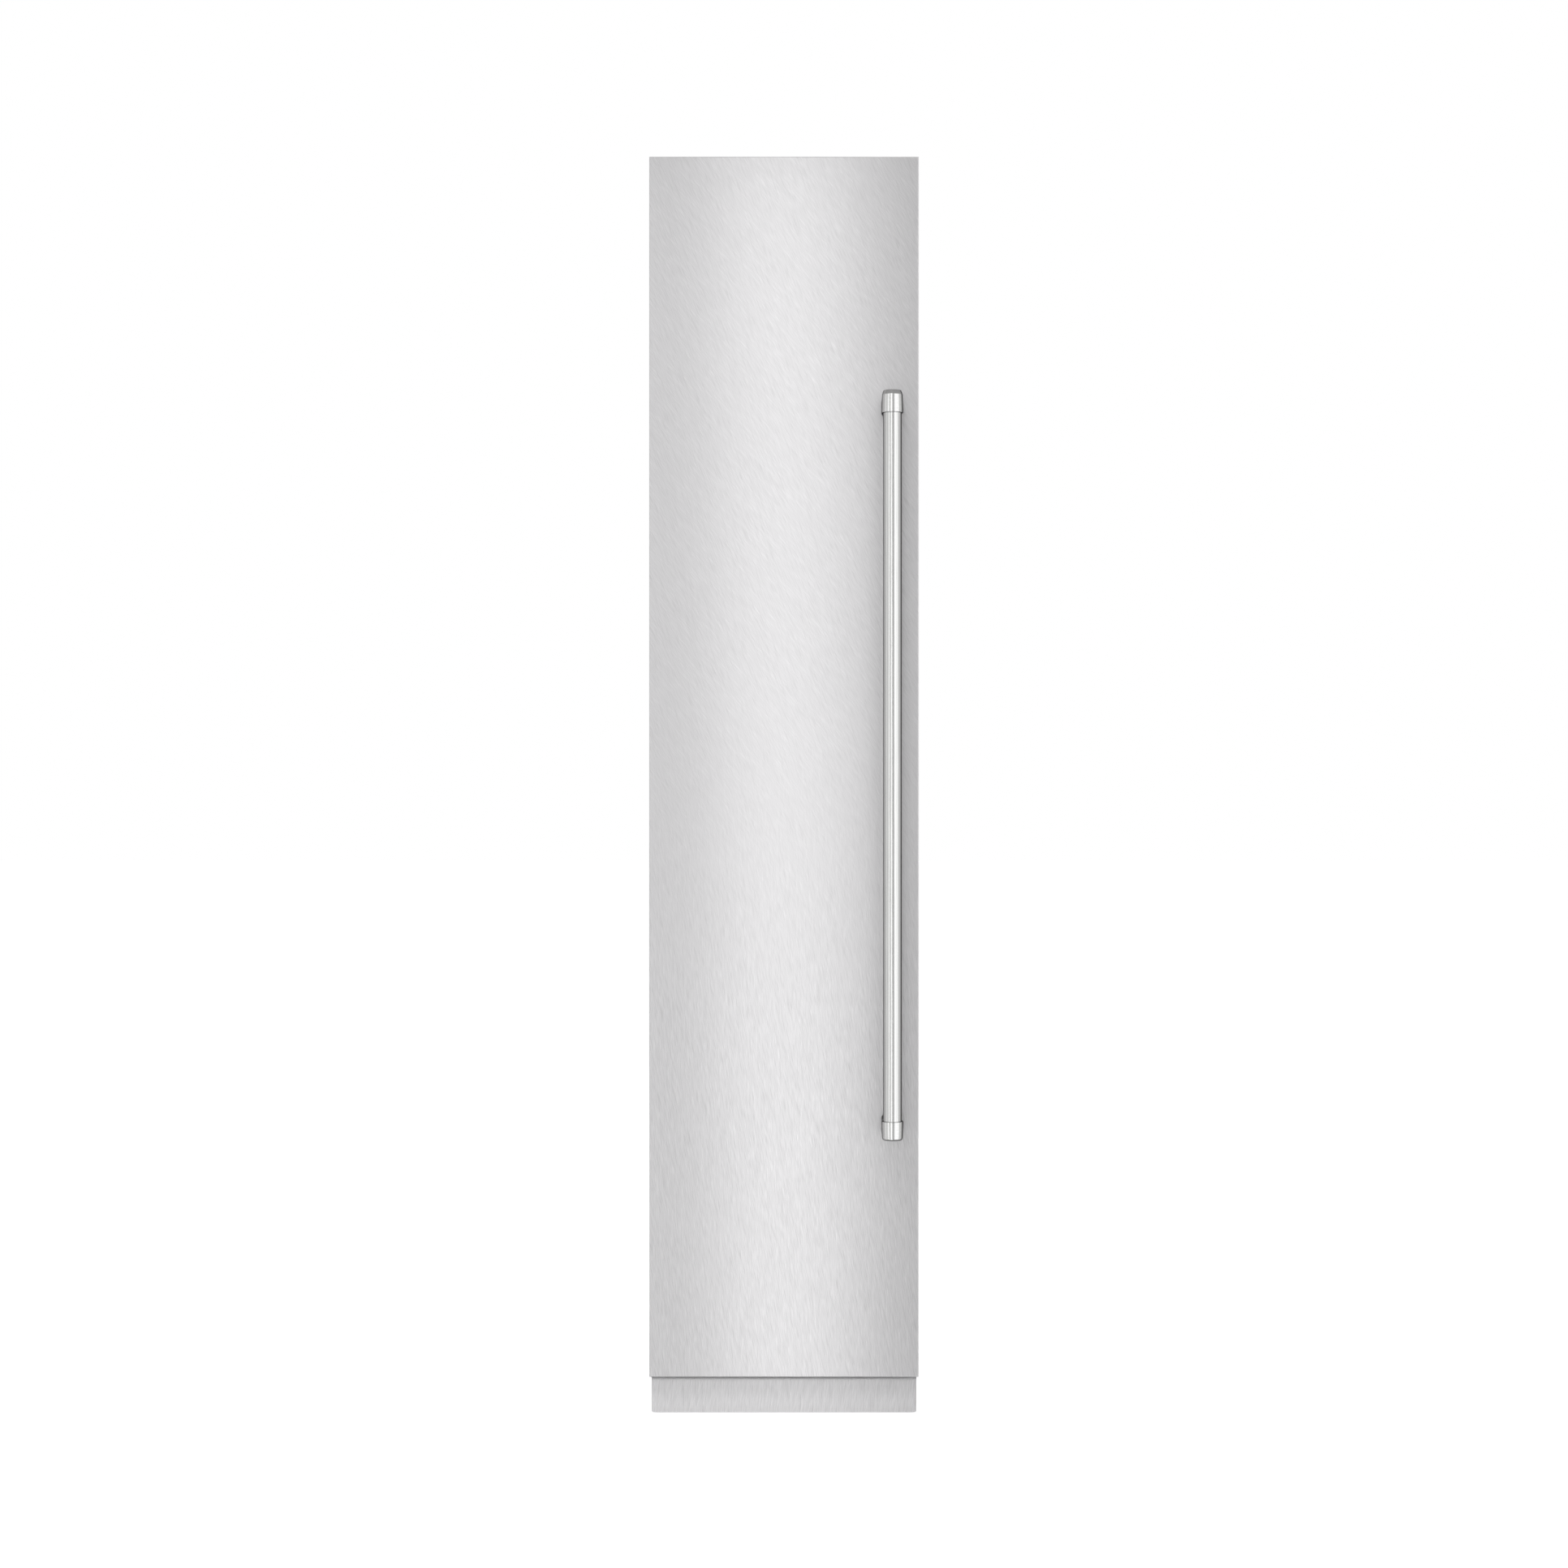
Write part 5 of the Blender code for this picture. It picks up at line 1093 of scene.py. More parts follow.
    def make_floor(self) -> None:
        """Makes a pale floor that stays white to see but for the object's shadow."""
        bm = bmesh.new()
        bmesh.ops.create_grid(bm, x_segments=1, y_segments=1, size=self.floor_size / 2)
        mesh = bpy.data.meshes.new("studio_floor")
        bm.to_mesh(mesh)
        bm.free()
        floor = bpy.data.objects.new("studio_floor", mesh)
        bpy.context.scene.collection.objects.link(floor)
        material = bpy.data.materials.new("painted_studio_floor")
        material.use_nodes = True
        tree = material.node_tree
        tree.nodes.clear()
        matt, shade = (
            add_node(tree, "ShaderNodeBsdfDiffuse", {"Color": linear(code)}) for code in self.floor_colours
        )
        glow = add_node(tree, "ShaderNodeEmission", {"Strength": self.floor_glow})
        both = add_node(tree, "ShaderNodeAddShader", {0: shade.outputs[0], 1: glow.outputs[0]})
        final = between(tree, self.seen(tree), matt, both)
        add_node(tree, "ShaderNodeOutputMaterial", {"Surface": final.outputs[0]})
        mesh.materials.append(material)
        floor.visible_glossy = False

    def make_lamps(self) -> None:
        """Hangs two tall soft sheets in front of the door, and soft lamps above, beside and behind."""
        for name, x, width, power in self.sheets:
            place = (x, FRONT - self.sheet_distance, self.sheet_height)
            self.make_lamp(name, place, (width, self.sheet_length), power, True)
        for side in (-1, 1):
            for name, (x, y, z), size, power in self.lamps:
                self.make_lamp(name, (side * x, y, z), size, power, False)

    def make_lamp(self, name: str, place: Point, size: Span, power: float, shows: bool) -> None:
        """Makes one soft lamp: a sheet that hangs square to the door, or one aimed at the object.

        Args:
            name: The lamp's name.
            place: Where it hangs.
            size: Its width and height.
            power: Its power in watts.
            shows: Whether it is a sheet, which metal reflects.
        """
        data = bpy.data.lights.new(name, "AREA")
        data.shape = "RECTANGLE"
        data.size, data.size_y = size
        data.energy = power
        lamp = bpy.data.objects.new(name, data)
        lamp.location = place
        target = Vector((place[0] if shows else 0, 0, place[2] if shows else self.aim_height))
        lamp.rotation_euler = (target - Vector(place)).to_track_quat("-Z", "Z").to_euler()
        lamp.visible_camera = False
        lamp.visible_glossy = shows
        bpy.context.scene.collection.objects.link(lamp)


# The door's outside


@dataclass
class DoorFront:
    """The door's stainless skin, folded back all round."""

    fold: float = 1.6 * MM
    sheet: float = 0.9 * MM
    lip: float = 24 * MM

    def build(self) -> None:
        """Makes the folded skin with its lip behind, and the stiffener inside it."""
        x, y, z = spans(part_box("door_front_panel"))
        bm = rounded(cuboid(x, y, z), self.fold, 8, at_place(Axis.Y, y[0]))
        at_back = at_place(Axis.Y, y[1])
        back = [face for face in bm.faces if at_back(face)]
        bmesh.ops.inset_individual(bm, faces=back, thickness=self.lip, use_even_offset=True)
        bmesh.ops.delete(bm, geom=back, context="FACES_ONLY")
        make_piece("door_skin", thickened(bm, self.sheet), BRUSHED_STAINLESS, "door", "door_front_panel")
        x, y, z = spans(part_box("door_panel_core"))
        core = soft_block(x, (y[0], y[1] - self.sheet - FIT), z, Axis.Y, self.fold, self.fold / 2)
        make_piece("door_skin_stiffener", core, RIGID_FOAM, "door", "door_panel_core")


@dataclass
class Handle:
    """The tubular handle: a drawn tube between two turned caps, each on a post."""

    draft: float = 0.9 * MM
    chamfer_in: float = 2.6 * MM
    chamfer_down: float = 7.4 * MM
    soft_rim: float = 0.5 * MM
    low_rim: float = 5 * MM
    low_height: float = 32 * MM
    wall: float = 1.3 * MM
    mouth: float = 7 * MM
    bore_depth: float = 15 * MM
    post_half: float = 17 * MM
    post_start: float = 2 * MM
    post_corner: float = 5 * MM
    screw_radius: float = 2.2 * MM
    screw_length: float = 2 * MM
    screw_shows: float = 0.6 * MM
    screw_rim: float = 0.4 * MM
    steps: int = 128

    def build(self) -> None:
        """Makes the tube and a cap over each of its ends."""
        low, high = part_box("handle_tube")
        centre = (low + high) / 2
        radius = (high[0] - low[0]) / 2
        bm = rod((centre[0], centre[1], low[2]), (0, 0, 1), high[2] - low[2], radius, self.steps)
        make_piece("handle_bar", bm, DRAWN_STAINLESS, "door", "handle_tube", even=False)
        self.make_top(centre, radius + FIT)
        self.make_bottom(centre, radius + FIT)

    def make_top(self, centre: Vector, bore: float) -> None:
        """Makes the cap over the tube's top end, a little wider at its mouth."""
        low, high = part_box("handle_cap_top")
        wide, tall = (high[0] - low[0]) / 2, high[2] - low[2]
        narrow = wide - self.draft
        profile = [(0, self.bore_depth), (bore, self.bore_depth), (bore, self.mouth)]
        profile += [(wide - self.wall, self.mouth), (wide - self.wall, 0), (wide, 0)]
        profile += [(narrow, tall - self.chamfer_down), (narrow - self.chamfer_in, tall), (0, tall)]
        rims = dict.fromkeys((5, 6, 7), self.soft_rim)
        bm = turned(profile, (centre[0], centre[1], low[2]), steps=self.steps, rims=rims)
        post = self.make_post(centre, (low[2] + self.post_start, high[2] - self.chamfer_down))
        make_piece("handle_top_mount", merged(bm, post), TURNED_STAINLESS, "door", "handle_cap_top")

    def make_bottom(self, centre: Vector, bore: float) -> None:
        """Makes the cap under the tube's lower end, its foot well rounded."""
        low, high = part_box("handle_cap_bottom")
        wide, tall = (high[0] - low[0]) / 2, self.low_height
        profile = [(0, 0), (wide - self.draft, 0), (wide, tall), (wide - self.wall, tall)]
        profile += [(wide - self.wall, tall - self.mouth), (bore, tall - self.mouth)]
        profile += [(bore, tall - self.bore_depth), (0, tall - self.bore_depth)]
        rims = {1: self.low_rim, 2: self.soft_rim}
        bm = turned(profile, (centre[0], centre[1], low[2]), steps=self.steps, rims=rims)
        post = self.make_post(centre, (low[2] + self.low_rim, high[2]))
        make_piece("handle_bottom_mount", merged(bm, post), TURNED_STAINLESS, "door", "handle_cap_bottom")

    def make_post(self, centre: Vector, rise: Span) -> BMesh:
        """Makes the post that carries a cap on the door, with its grub screw underneath.

        Args:
            centre: The tube's own centre.
            rise: The post's lower and upper end.

        Returns:
            The post and its screw.
        """
        x, y = about(centre[0], self.post_half), (centre[1], FRONT - FIT)
        post = rounded(cuboid(x, y, rise), self.post_corner, 6, along(Axis.Y))
        place = (centre[0], (centre[1] + FRONT) / 2, rise[0] - self.screw_shows)
        return merged(post, rod(place, (0, 0, 1), self.screw_length, self.screw_radius, 24, self.screw_rim))


@dataclass
class ToeKick:
    """The toe kick: a bent stainless sheet between the door and the floor."""

    bend: float = 9.5 * MM
    foot: float = 3 * MM
    sheet: float = 1.2 * MM

    def build(self) -> None:
        """Makes the bent sheet."""
        x, y, z = spans(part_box("kick_plate"))
        bm = cuboid(x, y, z)
        front, foot, top = at_place(Axis.Y, y[0]), at_place(Axis.Z, z[0]), at_place(Axis.Z, z[1])
        rounded(bm, self.bend, 10, lambda edge: front(edge) and top(edge))
        rounded(bm, self.foot, 5, lambda edge: foot(edge) and along(Axis.Y)(edge))
        opened(bm, lambda face: face.normal.y > 0.9 or face.normal.z < -0.9)
        make_piece("toe_kick", thickened(bm, self.sheet), KICK_STAINLESS, "cabinet", "kick_plate")


# The door's inside


@dataclass
class DoorLiner:
    """The formed white inner face of the door, with two ridges that carry the bins."""

    wall: float = 3 * MM
    corner: float = 6 * MM
    edge: float = 0.6 * MM
    ridge: Span = (152 * MM, 166 * MM)
    ridge_z: Span = (660 * MM, 2020 * MM)
    ridge_round: float = 5.5 * MM
    ridge_draft: float = 1.5 * MM
    lug: Point = (12 * MM, 20 * MM, 8 * MM)
    lug_edge: float = 2 * MM
    dish_depth: float = 1.2 * MM
    dish_x: float = 140 * MM
    dish_corner: float = 22 * MM
    dish_edge: float = 1.1 * MM
    dishes: tuple[Span, ...] = ((112 * MM, 622 * MM), (668 * MM, 2012 * MM))
    bins: int = 4

    def build(self) -> None:
        """Makes the liner."""
        x, y, z = spans(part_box("door_liner"))
        face = y[0] + self.wall
        plate = soft_block(x, (y[0], face), z, Axis.Y, self.corner, self.edge)
        deep = (face - self.dish_depth, face + self.wall)
        hollows = [
            soft_block(about(0, self.dish_x), deep, dish, Axis.Y, self.dish_corner, self.dish_edge)
            for dish in self.dishes
        ]
        bm = carved(plate, *hollows)
        ridge = self.make_ridge(face, y[1])
        bm = merged(bm, mirrored(ridge), ridge)
        make_piece("door_inner_liner", bm, LINER_PLASTIC, "door", "door_liner")

    def make_ridge(self, face: float, back: float) -> BMesh:
        """Makes the right-hand ridge with the lugs that its bins stand on.

        Args:
            face: The y of the liner's own face.
            back: The y of the ridge's crest.

        Returns:
            The ridge and its lugs.
        """
        front = face - self.wall / 2
        bm = cuboid(self.ridge, (front, back), self.ridge_z)
        crest = [vert for vert in bm.verts if vert.co.y > face]
        middle = Vector((sum(self.ridge) / 2, back, sum(self.ridge_z) / 2))
        narrow = 1 - 2 * self.ridge_draft / (self.ridge[1] - self.ridge[0])
        bmesh.ops.scale(bm, vec=(narrow, 1, 1), space=Matrix.Translation(-middle), verts=crest)
        rounded(bm, self.ridge_round, 5, lambda edge: not at_place(Axis.Y, front)(edge))
        x = (self.ridge[0] - self.lug[0], self.ridge[0] + self.lug[0] / 2)
        for index in range(self.bins):
            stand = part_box(f"door_bin_{index + 1}")[0][2] - FIT
            lug = round_block(x, (front, face + self.lug[1]), (stand - self.lug[2], stand), self.lug_edge)
            bm = merged(bm, lug)
        return bm


@dataclass
class DoorSeal:
    """The magnetic seal: a foot in the door's groove, a folded bellows and the magnet's flat pad."""

    foot: Span = (22 * MM, 2.2 * MM)
    bellows: Span = (11 * MM, 3.0 * MM)
    corner: float = 3 * MM
    soft: float = 0.9 * MM

    def build(self) -> None:
        """Makes the three layers of the seal, each a frame."""
        x, y, z = spans(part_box("door_gasket"))
        width, thick = self.foot
        neck, fold = self.bellows
        middle = y[0] + thick
        layers = (
            (0.0, width, (y[0], middle)),
            ((width - neck) / 2, neck, (middle - self.soft / 2, middle + fold)),
            (self.soft, width - 2 * self.soft, (middle + fold - self.soft / 2, y[1])),
        )
        frames = [
            frame_of(inner(x, inset), depth, inner(z, inset), across, self.corner, self.soft, Axis.Y)
            for inset, across, depth in layers
        ]
        make_piece("door_seal", merged(*frames), GASKET_RUBBER, "door", "door_gasket")


@dataclass
class DoorBins:
    """Clear door bins: rounded tubs whose front rim dips towards the room, with ribs on the floor."""

    count: int = 4
    wall: float = 2.2 * MM
    flange: float = 2.6 * MM
    corner: float = 14 * MM
    foot: float = 5 * MM
    front_height: float = 85 * MM
    dip_starts: float = 30 * MM
    rib_width: float = 1.6 * MM
    rib_height: float = 1 * MM
    rib_edge: float = 0.4 * MM
    rib_share: float = 0.8
    ribs: int = 9

    def build(self) -> None:
        """Makes every bin."""
        for index in range(1, self.count + 1):
            self.make_bin(f"door_bin_{index}")

    def make_bin(self, node: str) -> None:
        """Makes one bin in its node's place."""
        low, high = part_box(node)
        x, y, z = spans((low, high))
        x, y, z = inner(x, self.flange), inner(y, self.flange), (z[0], z[1] - self.wall)
        bm = open_tub(x, y, z, self.corner, self.foot)
        start = low[1] + self.dip_starts
        fall = high[2] - low[2] - self.front_height
        bmesh.ops.bisect_plane(
            bm,
            geom=bm.verts[:] + bm.edges[:] + bm.faces[:],
            plane_co=(0, start, z[1]),
            plane_no=(0, fall, y[1] - start),
            clear_outer=True,
        )
        walled(bm, self.wall, self.flange)
        spread = (x[1] - x[0]) * self.rib_share
        first = (-spread / 2, -spread / 2 + self.rib_width)
        floor = z[0] + self.wall
        rise = (floor - self.rib_height / 2, floor + self.rib_height)
        rib = round_block(first, inner(y, self.corner), rise, self.rib_edge, 2)
        ribs = repeated(rib, (spread / (self.ribs - 1), 0, 0), self.ribs)
        make_piece(f"clear_{node}", merged(bm, ribs), CLEAR_PLASTIC, "door", node)


# The cabinet


@dataclass
class CabinetWrap:
    """The painted wrap: two sides and a top in one bent sheet."""

    bend: float = 4 * MM
    sheet: float = 0.9 * MM

    def build(self) -> None:
        """Makes the bent sheet."""
        x, y, z = spans(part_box("outer_case"))
        top = at_place(Axis.Z, z[1])
        bm = rounded(cuboid(x, y, z), self.bend, 6, lambda edge: along(Axis.Y)(edge) and top(edge))
        opened(bm, lambda face: abs(face.normal.y) > 0.9 or face.normal.z < -0.9)
        make_piece("cabinet_wrap", thickened(bm, self.sheet), CABINET_PAINT, "cabinet", "outer_case")


@dataclass
class FreezerRoom:
    """The formed white room with the step over the machine room behind its floor."""

    wall: float = 2 * MM
    corner: float = 6 * MM
    step_depth: float = 363 * MM
    step_height: float = 347 * MM

    def build(self) -> None:
        """Makes the room as a surface with round corners, then gives it its wall outwards."""
        low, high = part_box("freezer_liner")
        left, _, floor = (place + self.wall for place in low)
        right, back, top = (place - self.wall for place in high)
        step_y, step_z = FRONT + self.step_depth, self.step_height
        corners = (
            (low[1], floor), (step_y, floor), (step_y, step_z), (back, step_z), (back, top), (low[1], top)
        )
        bm = sheet_of([(left, y, z) for y, z in corners], (right - left, 0, 0))
        front = at_place(Axis.Y, low[1])
        rounded(bm, self.corner, 5, lambda edge: not front(edge))
        bm = outwards(thickened(opened(bm, front), -self.wall))
        make_piece("inner_room", bm, LINER_PLASTIC, "cabinet", "freezer_liner")


@dataclass
class RearSheets:
    """The zinc sheets at the back: a beaded panel, and a slotted cover over the machine room."""

    sheet: float = 0.5 * MM
    corner: float = 2 * MM
    edge: float = 0.15 * MM
    bead_half: float = 4 * MM
    bead_lift: float = 0.65 * MM
    bead_run_out: float = 28 * MM
    beads: int = 12
    grid: tuple[int, int] = (28, 24)
    screw_radius: float = 4.5 * MM
    screw_rim: float = 0.2 * MM
    screw_inset: float = 9 * MM
    screw_steps: int = 6
    recess_reach: float = 2.79 * MM
    recess_width: float = 0.6 * MM
    recess_share: float = 0.6
    slot: Span = (90 * MM, 2.5 * MM)
    slots: int = 12
    slot_pitch: float = 12 * MM
    first_slot: float = 97.5 * MM
    rib: Span = (3 * MM, 75 * MM)
    rib_beside_slots: float = 22 * MM
    rib_below_middle: float = 14 * MM
    rib_edge: float = 0.35 * MM
    rib_sunk: float = 0.1 * MM
    # The inlet's opening ends a little above it; the valve's is open to the cover's top edge
    inlet_gap: float = FIT
    valve_gap: float = 0.5 * MM

    def build(self) -> None:
        """Makes both sheets and their screws."""
        self.make_back()
        self.make_cover()

    def screw(self, x: float, z: float, back: float) -> BMesh:
        """Makes a flat screw head with a cross recess."""
        head = rod((x, back - self.sheet, z), (0, 1, 0), self.sheet, self.screw_radius, 24, self.screw_rim)
        deep = (back - self.sheet * self.recess_share, back + self.sheet)
        reach, width = self.recess_reach, self.recess_width
        cross = [cuboid(about(x, a), deep, about(z, b)) for a, b in ((reach, width), (width, reach))]
        return carved(head, *cross)

    def make_screws(self, name: str, places: Sequence[Span], back: float) -> None:
        """Makes a piece of screws, one at each place, from one screw's copies."""
        (x, z), *others = places
        first = self.screw(x, z, back)
        copies = [moved(first, (across - x, 0, rise - z)) for across, rise in others]
        make_piece(name, merged(first, *copies), ZINC_PLATED, "cabinet")

    def make_back(self) -> None:
        """Makes the back panel as one sheet with shallow beads pressed across it."""
        low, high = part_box("back_panel")
        back = high[1]
        size = high - low
        pitch = size.z / self.beads
        bm = bmesh.new()
        across_steps, steps = self.grid
        bmesh.ops.create_grid(bm, x_segments=across_steps, y_segments=self.beads * steps, size=0.5)
        for vert in bm.verts:
            across, rise = vert.co.x + 0.5, (vert.co.y + 0.5) * self.beads
            count, share = divmod(rise, 1)
            near = abs(share - 0.5) * 4
            reach = min(near, 1) * self.bead_half + max(0, near - 1) * (pitch / 2 - self.bead_half)
            edge = min(across, 1 - across) * size.x
            fade = min(1.0, max(0.0, edge / self.bead_run_out - 1.0))
            swell = max(0.0, 1 - near)
            lift = self.bead_lift * math.sin(swell * math.pi / 2) ** 2 * math.sin(fade * math.pi / 2) ** 2
            height = (count + 0.5) * pitch + math.copysign(reach, share - 0.5)
            vert.co = (low.x + across * size.x, back - self.bead_lift + lift, low.z + height)
        outwards(bm)
        if sum(face.normal.y for face in bm.faces) < 0:
            bmesh.ops.reverse_faces(bm, faces=bm.faces)
        thickened(bm, self.sheet - self.edge)
        make_piece("back_sheet", bm, ZINC_SHEET, "cabinet", "back_panel", even=False)
        x, rise = inner((low[0], high[0]), self.screw_inset), high[2] - low[2] - 2 * self.screw_inset
        count = self.screw_steps
        heights = [low[2] + self.screw_inset + rise * step / count for step in range(count + 1)]
        places = [(side, z) for side in x for z in heights] + [(0, heights[0]), (0, heights[-1])]
        self.make_screws("back_sheet_screws", places, back)

    def make_cover(self) -> None:
        """Makes the slotted cover with holes for the inlet and the valve, and an upright rib each side."""
        x, y, z = spans(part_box("machine_cover"))
        through = (y[0] - self.sheet, y[1] + self.sheet)
        half, tall = self.slot
        slot = cuboid(about(0, half), through, about(self.first_slot, tall))
        rounded(slot, tall * FULL_ROUND, 4, along(Axis.Y))
        holes = [repeated(slot, (0, 0, self.slot_pitch), self.slots)]
        inlet_x, _, inlet_z = spans(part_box("power_inlet"))
        valve_x, _, valve_z = spans(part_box("water_valve"))
        openings = (
            (inner(inlet_x, -self.inlet_gap), inner(inlet_z, -self.inlet_gap)),
            (inner(valve_x, -self.valve_gap), (valve_z[0] - self.valve_gap, z[1] + self.sheet)),
        )
        for wide, rise in openings:
            holes.append(rounded(cuboid(wide, through, rise), self.corner, 4, along(Axis.Y)))
        plate = soft_block(x, (y[0], y[0] + self.sheet), z, Axis.Y, self.corner, self.edge)
        bm = carved(plate, *holes)
        across, length = self.rib
        deep = (y[0] + self.sheet / 2, y[1] - self.rib_sunk)
        middle = sum(z) / 2
        place = (about(half + self.rib_beside_slots, across), about(middle - self.rib_below_middle, length))
        rib = rounded(cuboid(place[0], deep, place[1]), across * FULL_ROUND, 6, along(Axis.Y))
        rounded(rib, self.rib_edge, 3, at_place(Axis.Y, deep[1]))
        bm = merged(bm, mirrored(rib), rib)
        make_piece("machine_room_cover", bm, ZINC_SHEET, "cabinet", "machine_cover")
        rows = (z[0] + self.screw_inset, middle, z[1] - self.screw_inset)
        places = [(side, row) for side in inner(x, self.screw_inset) for row in rows]
        self.make_screws("machine_room_cover_screws", places, y[1])


@dataclass
class Footing:
    """Two levelling feet in front and two rollers behind."""

    pad_height: float = 8 * MM
    pad_radius: float = 17 * MM
    pad_rims: Span = (1 * MM, 1.5 * MM)
    pad_edge_share: float = 0.45
    nut_height: float = 7 * MM
    nut_radius: float = 10 * MM
    stem_radius: float = 5 * MM
    thread_pitch: float = 1.5 * MM
    thread_depth: float = 0.7 * MM
    bore_radius: float = 3.45 * MM
    tread: float = 1.2 * MM
    dish: float = 2.2 * MM
    # The hub's radius at its face and at the dish's floor, for a bore of radius 1
    hub: Span = (1.8, 2.0)
    # How far inside the tread the dish ends and the rim starts, and the rim's chamfer
    rim: Point = (5 * MM, 4.4 * MM, 1.5 * MM)

    def build(self) -> None:
        """Makes every foot and roller."""
        for side in ("left", "right"):
            self.make_foot(f"foot_{side}")
            self.make_roller(f"roller_{side}")

    def make_foot(self, body: str) -> None:
        """Makes a foot: a domed pad, a hexagon to turn it by, and a threaded stem."""
        low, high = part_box(body)
        place = ((low[0] + high[0]) / 2, (low[1] + high[1]) / 2, 0.0)
        pad_top = self.pad_height
        pad = [
            (0, 0),
            (self.pad_radius, 0),
            (self.pad_radius, pad_top * self.pad_edge_share),
            (self.nut_radius, pad_top),
        ]
        bm = turned([*pad, (0, pad_top)], place, steps=64, rims=dict(enumerate(self.pad_rims, 1)))
        top = pad_top + self.nut_height
        nut = [(0, pad_top - MM), (self.nut_radius, pad_top - MM), (self.nut_radius, top - MM)]
        nut += [(self.nut_radius - MM, top), (0, top)]
        inner_radius = self.stem_radius - self.thread_depth
        thread = thread_of(inner_radius, self.stem_radius, self.thread_pitch, (top, high[2] - MM))
        stem = [(0, top - MM), (inner_radius, top - MM), *thread, (inner_radius, high[2]), (0, high[2])]
        bm = merged(bm, turned(nut, place, steps=6), turned(stem, place, steps=24))
        make_piece(f"levelling_{body}", bm, DARK_PLASTIC, body, body)

    def make_roller(self, body: str) -> None:
        """Makes a roller with a shallow dish on each face and two grooves round its tread."""
        low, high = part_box(body)
        centre = (low + high) / 2
        width, radius = high[0] - low[0], (high[2] - low[2]) / 2
        bore, groove, dish, tread = self.bore_radius, width / 3, self.dish, self.tread
        dish_ends, rim_starts, chamfer = (radius - inset for inset in self.rim)
        near = [(bore, 0), (bore * self.hub[0], 0), (bore * self.hub[1], dish), (dish_ends, dish)]
        near += [(rim_starts, 0), (chamfer, 0), (radius, self.rim[2])]
        near += [(radius, groove - tread), (radius - tread, groove), (radius, groove + tread)]
        far = [(out, width - depth) for out, depth in reversed(near)]
        bm = turned([*near, *far, near[0]], (low[0], centre[1], centre[2]), (1, 0, 0), 48)
        make_piece(f"rear_{body}", bm, DARK_PLASTIC, body, body)


# The freezer room's fittings


@dataclass
class Drawers:
    """Two clear drawers, each on side runners behind a white front with a scooped grip."""

    wall: float = 2.2 * MM
    flange: float = 1.2 * MM
    half_width: float = 160 * MM
    corner: float = 16 * MM
    foot: float = 6 * MM
    front_corner: float = 6 * MM
    front_edge: float = 2.5 * MM
    grip_half: float = 55 * MM
    grip_height: float = 24 * MM
    grip_depth: float = 8 * MM
    grip_edge: float = 5 * MM
    dip: float = 30 * MM
    dip_corner_share: float = 0.9
    runner_start: float = 65 * MM
    runner_end: float = 4 * MM
    runner_height: float = 6 * MM
    runner_edge: float = 1.2 * MM
    runner_share: float = 0.55

    def build(self) -> None:
        """Makes both drawers."""
        for name in ("drawer_lower", "drawer_upper"):
            self.make_tub(name)
            self.make_front(name)

    def make_tub(self, name: str) -> None:
        """Makes the clear tub, its side rims lower than its ends, and its two runners."""
        low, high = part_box(name)
        x = about(0, self.half_width - self.flange)
        y = (low[1] + self.flange, high[1] - self.flange)
        z = (low[2], high[2] - self.wall)
        bm = walled(open_tub(x, y, z, self.corner, self.foot), self.wall, self.flange)
        side = cuboid(inner(x, -self.wall), inner(y, self.dip), about(z[1], self.dip))
        bm = carved(bm, rounded(side, self.corner * self.dip_corner_share, 6, along(Axis.X)))
        rise = low[2] + (high[2] - low[2]) * self.runner_share
        reach = (self.half_width - self.flange + FIT, high[0])
        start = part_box(f"{name}_front")[0][1] + self.runner_start
        run = (start, y[1] - self.runner_end)
        runner = round_block(reach, run, (rise, rise + self.runner_height), self.runner_edge)
        make_piece(f"{name}_tub", bm, CLEAR_PLASTIC, name, name)
        make_piece(f"{name}_runners", merged(mirrored(runner), runner), WHITE_PLASTIC, name)

    def make_front(self, name: str) -> None:
        """Makes the white front, its grip scooped out of the top edge."""
        x, y, z = spans(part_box(f"{name}_front"))
        front = soft_block(x, y, z, Axis.Y, self.front_corner, self.front_edge)
        deep = (y[0] - self.grip_depth * 2, y[0] + self.grip_depth)
        scoop = round_block(about(0, self.grip_half), deep, about(z[1], self.grip_height), self.grip_edge, 5)
        bm = carved(front, scoop)
        make_piece(f"{name}_face", bm, WHITE_PLASTIC, name, f"{name}_front", even=False)


@dataclass
class Shelves:
    """Glass shelves in white rims, the panes lying in a rebate."""

    count: int = 4
    rim: float = 14 * MM
    bearing: float = 5 * MM
    corner: float = 4 * MM
    soft: float = 1.2 * MM
    pane_edge: float = 0.5 * MM

    def build(self) -> None:
        """Makes every rim and pane."""
        for index in range(1, self.count + 1):
            x, y, z = spans(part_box(f"shelf_frame_{index}"))
            pane = spans(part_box(f"shelf_glass_{index}"))
            outer = frame_of(x, y, z, self.rim, self.corner, self.soft, Axis.Z)
            x, y = (inner(side, self.rim - self.soft) for side in (x, y))
            z = (z[0] + self.soft / 2, pane[2][0] - FIT)
            ledge = frame_of(x, y, z, self.bearing + self.soft, self.corner, self.soft / 2, Axis.Z)
            rim = merged(outer, ledge)
            make_piece(f"shelf_rim_{index}", rim, WHITE_PLASTIC, "cabinet", f"shelf_frame_{index}")
            glass = soft_block(*pane, Axis.Z, self.corner, self.pane_edge)
            make_piece(f"shelf_pane_{index}", glass, SHELF_GLASS, "cabinet", f"shelf_glass_{index}")


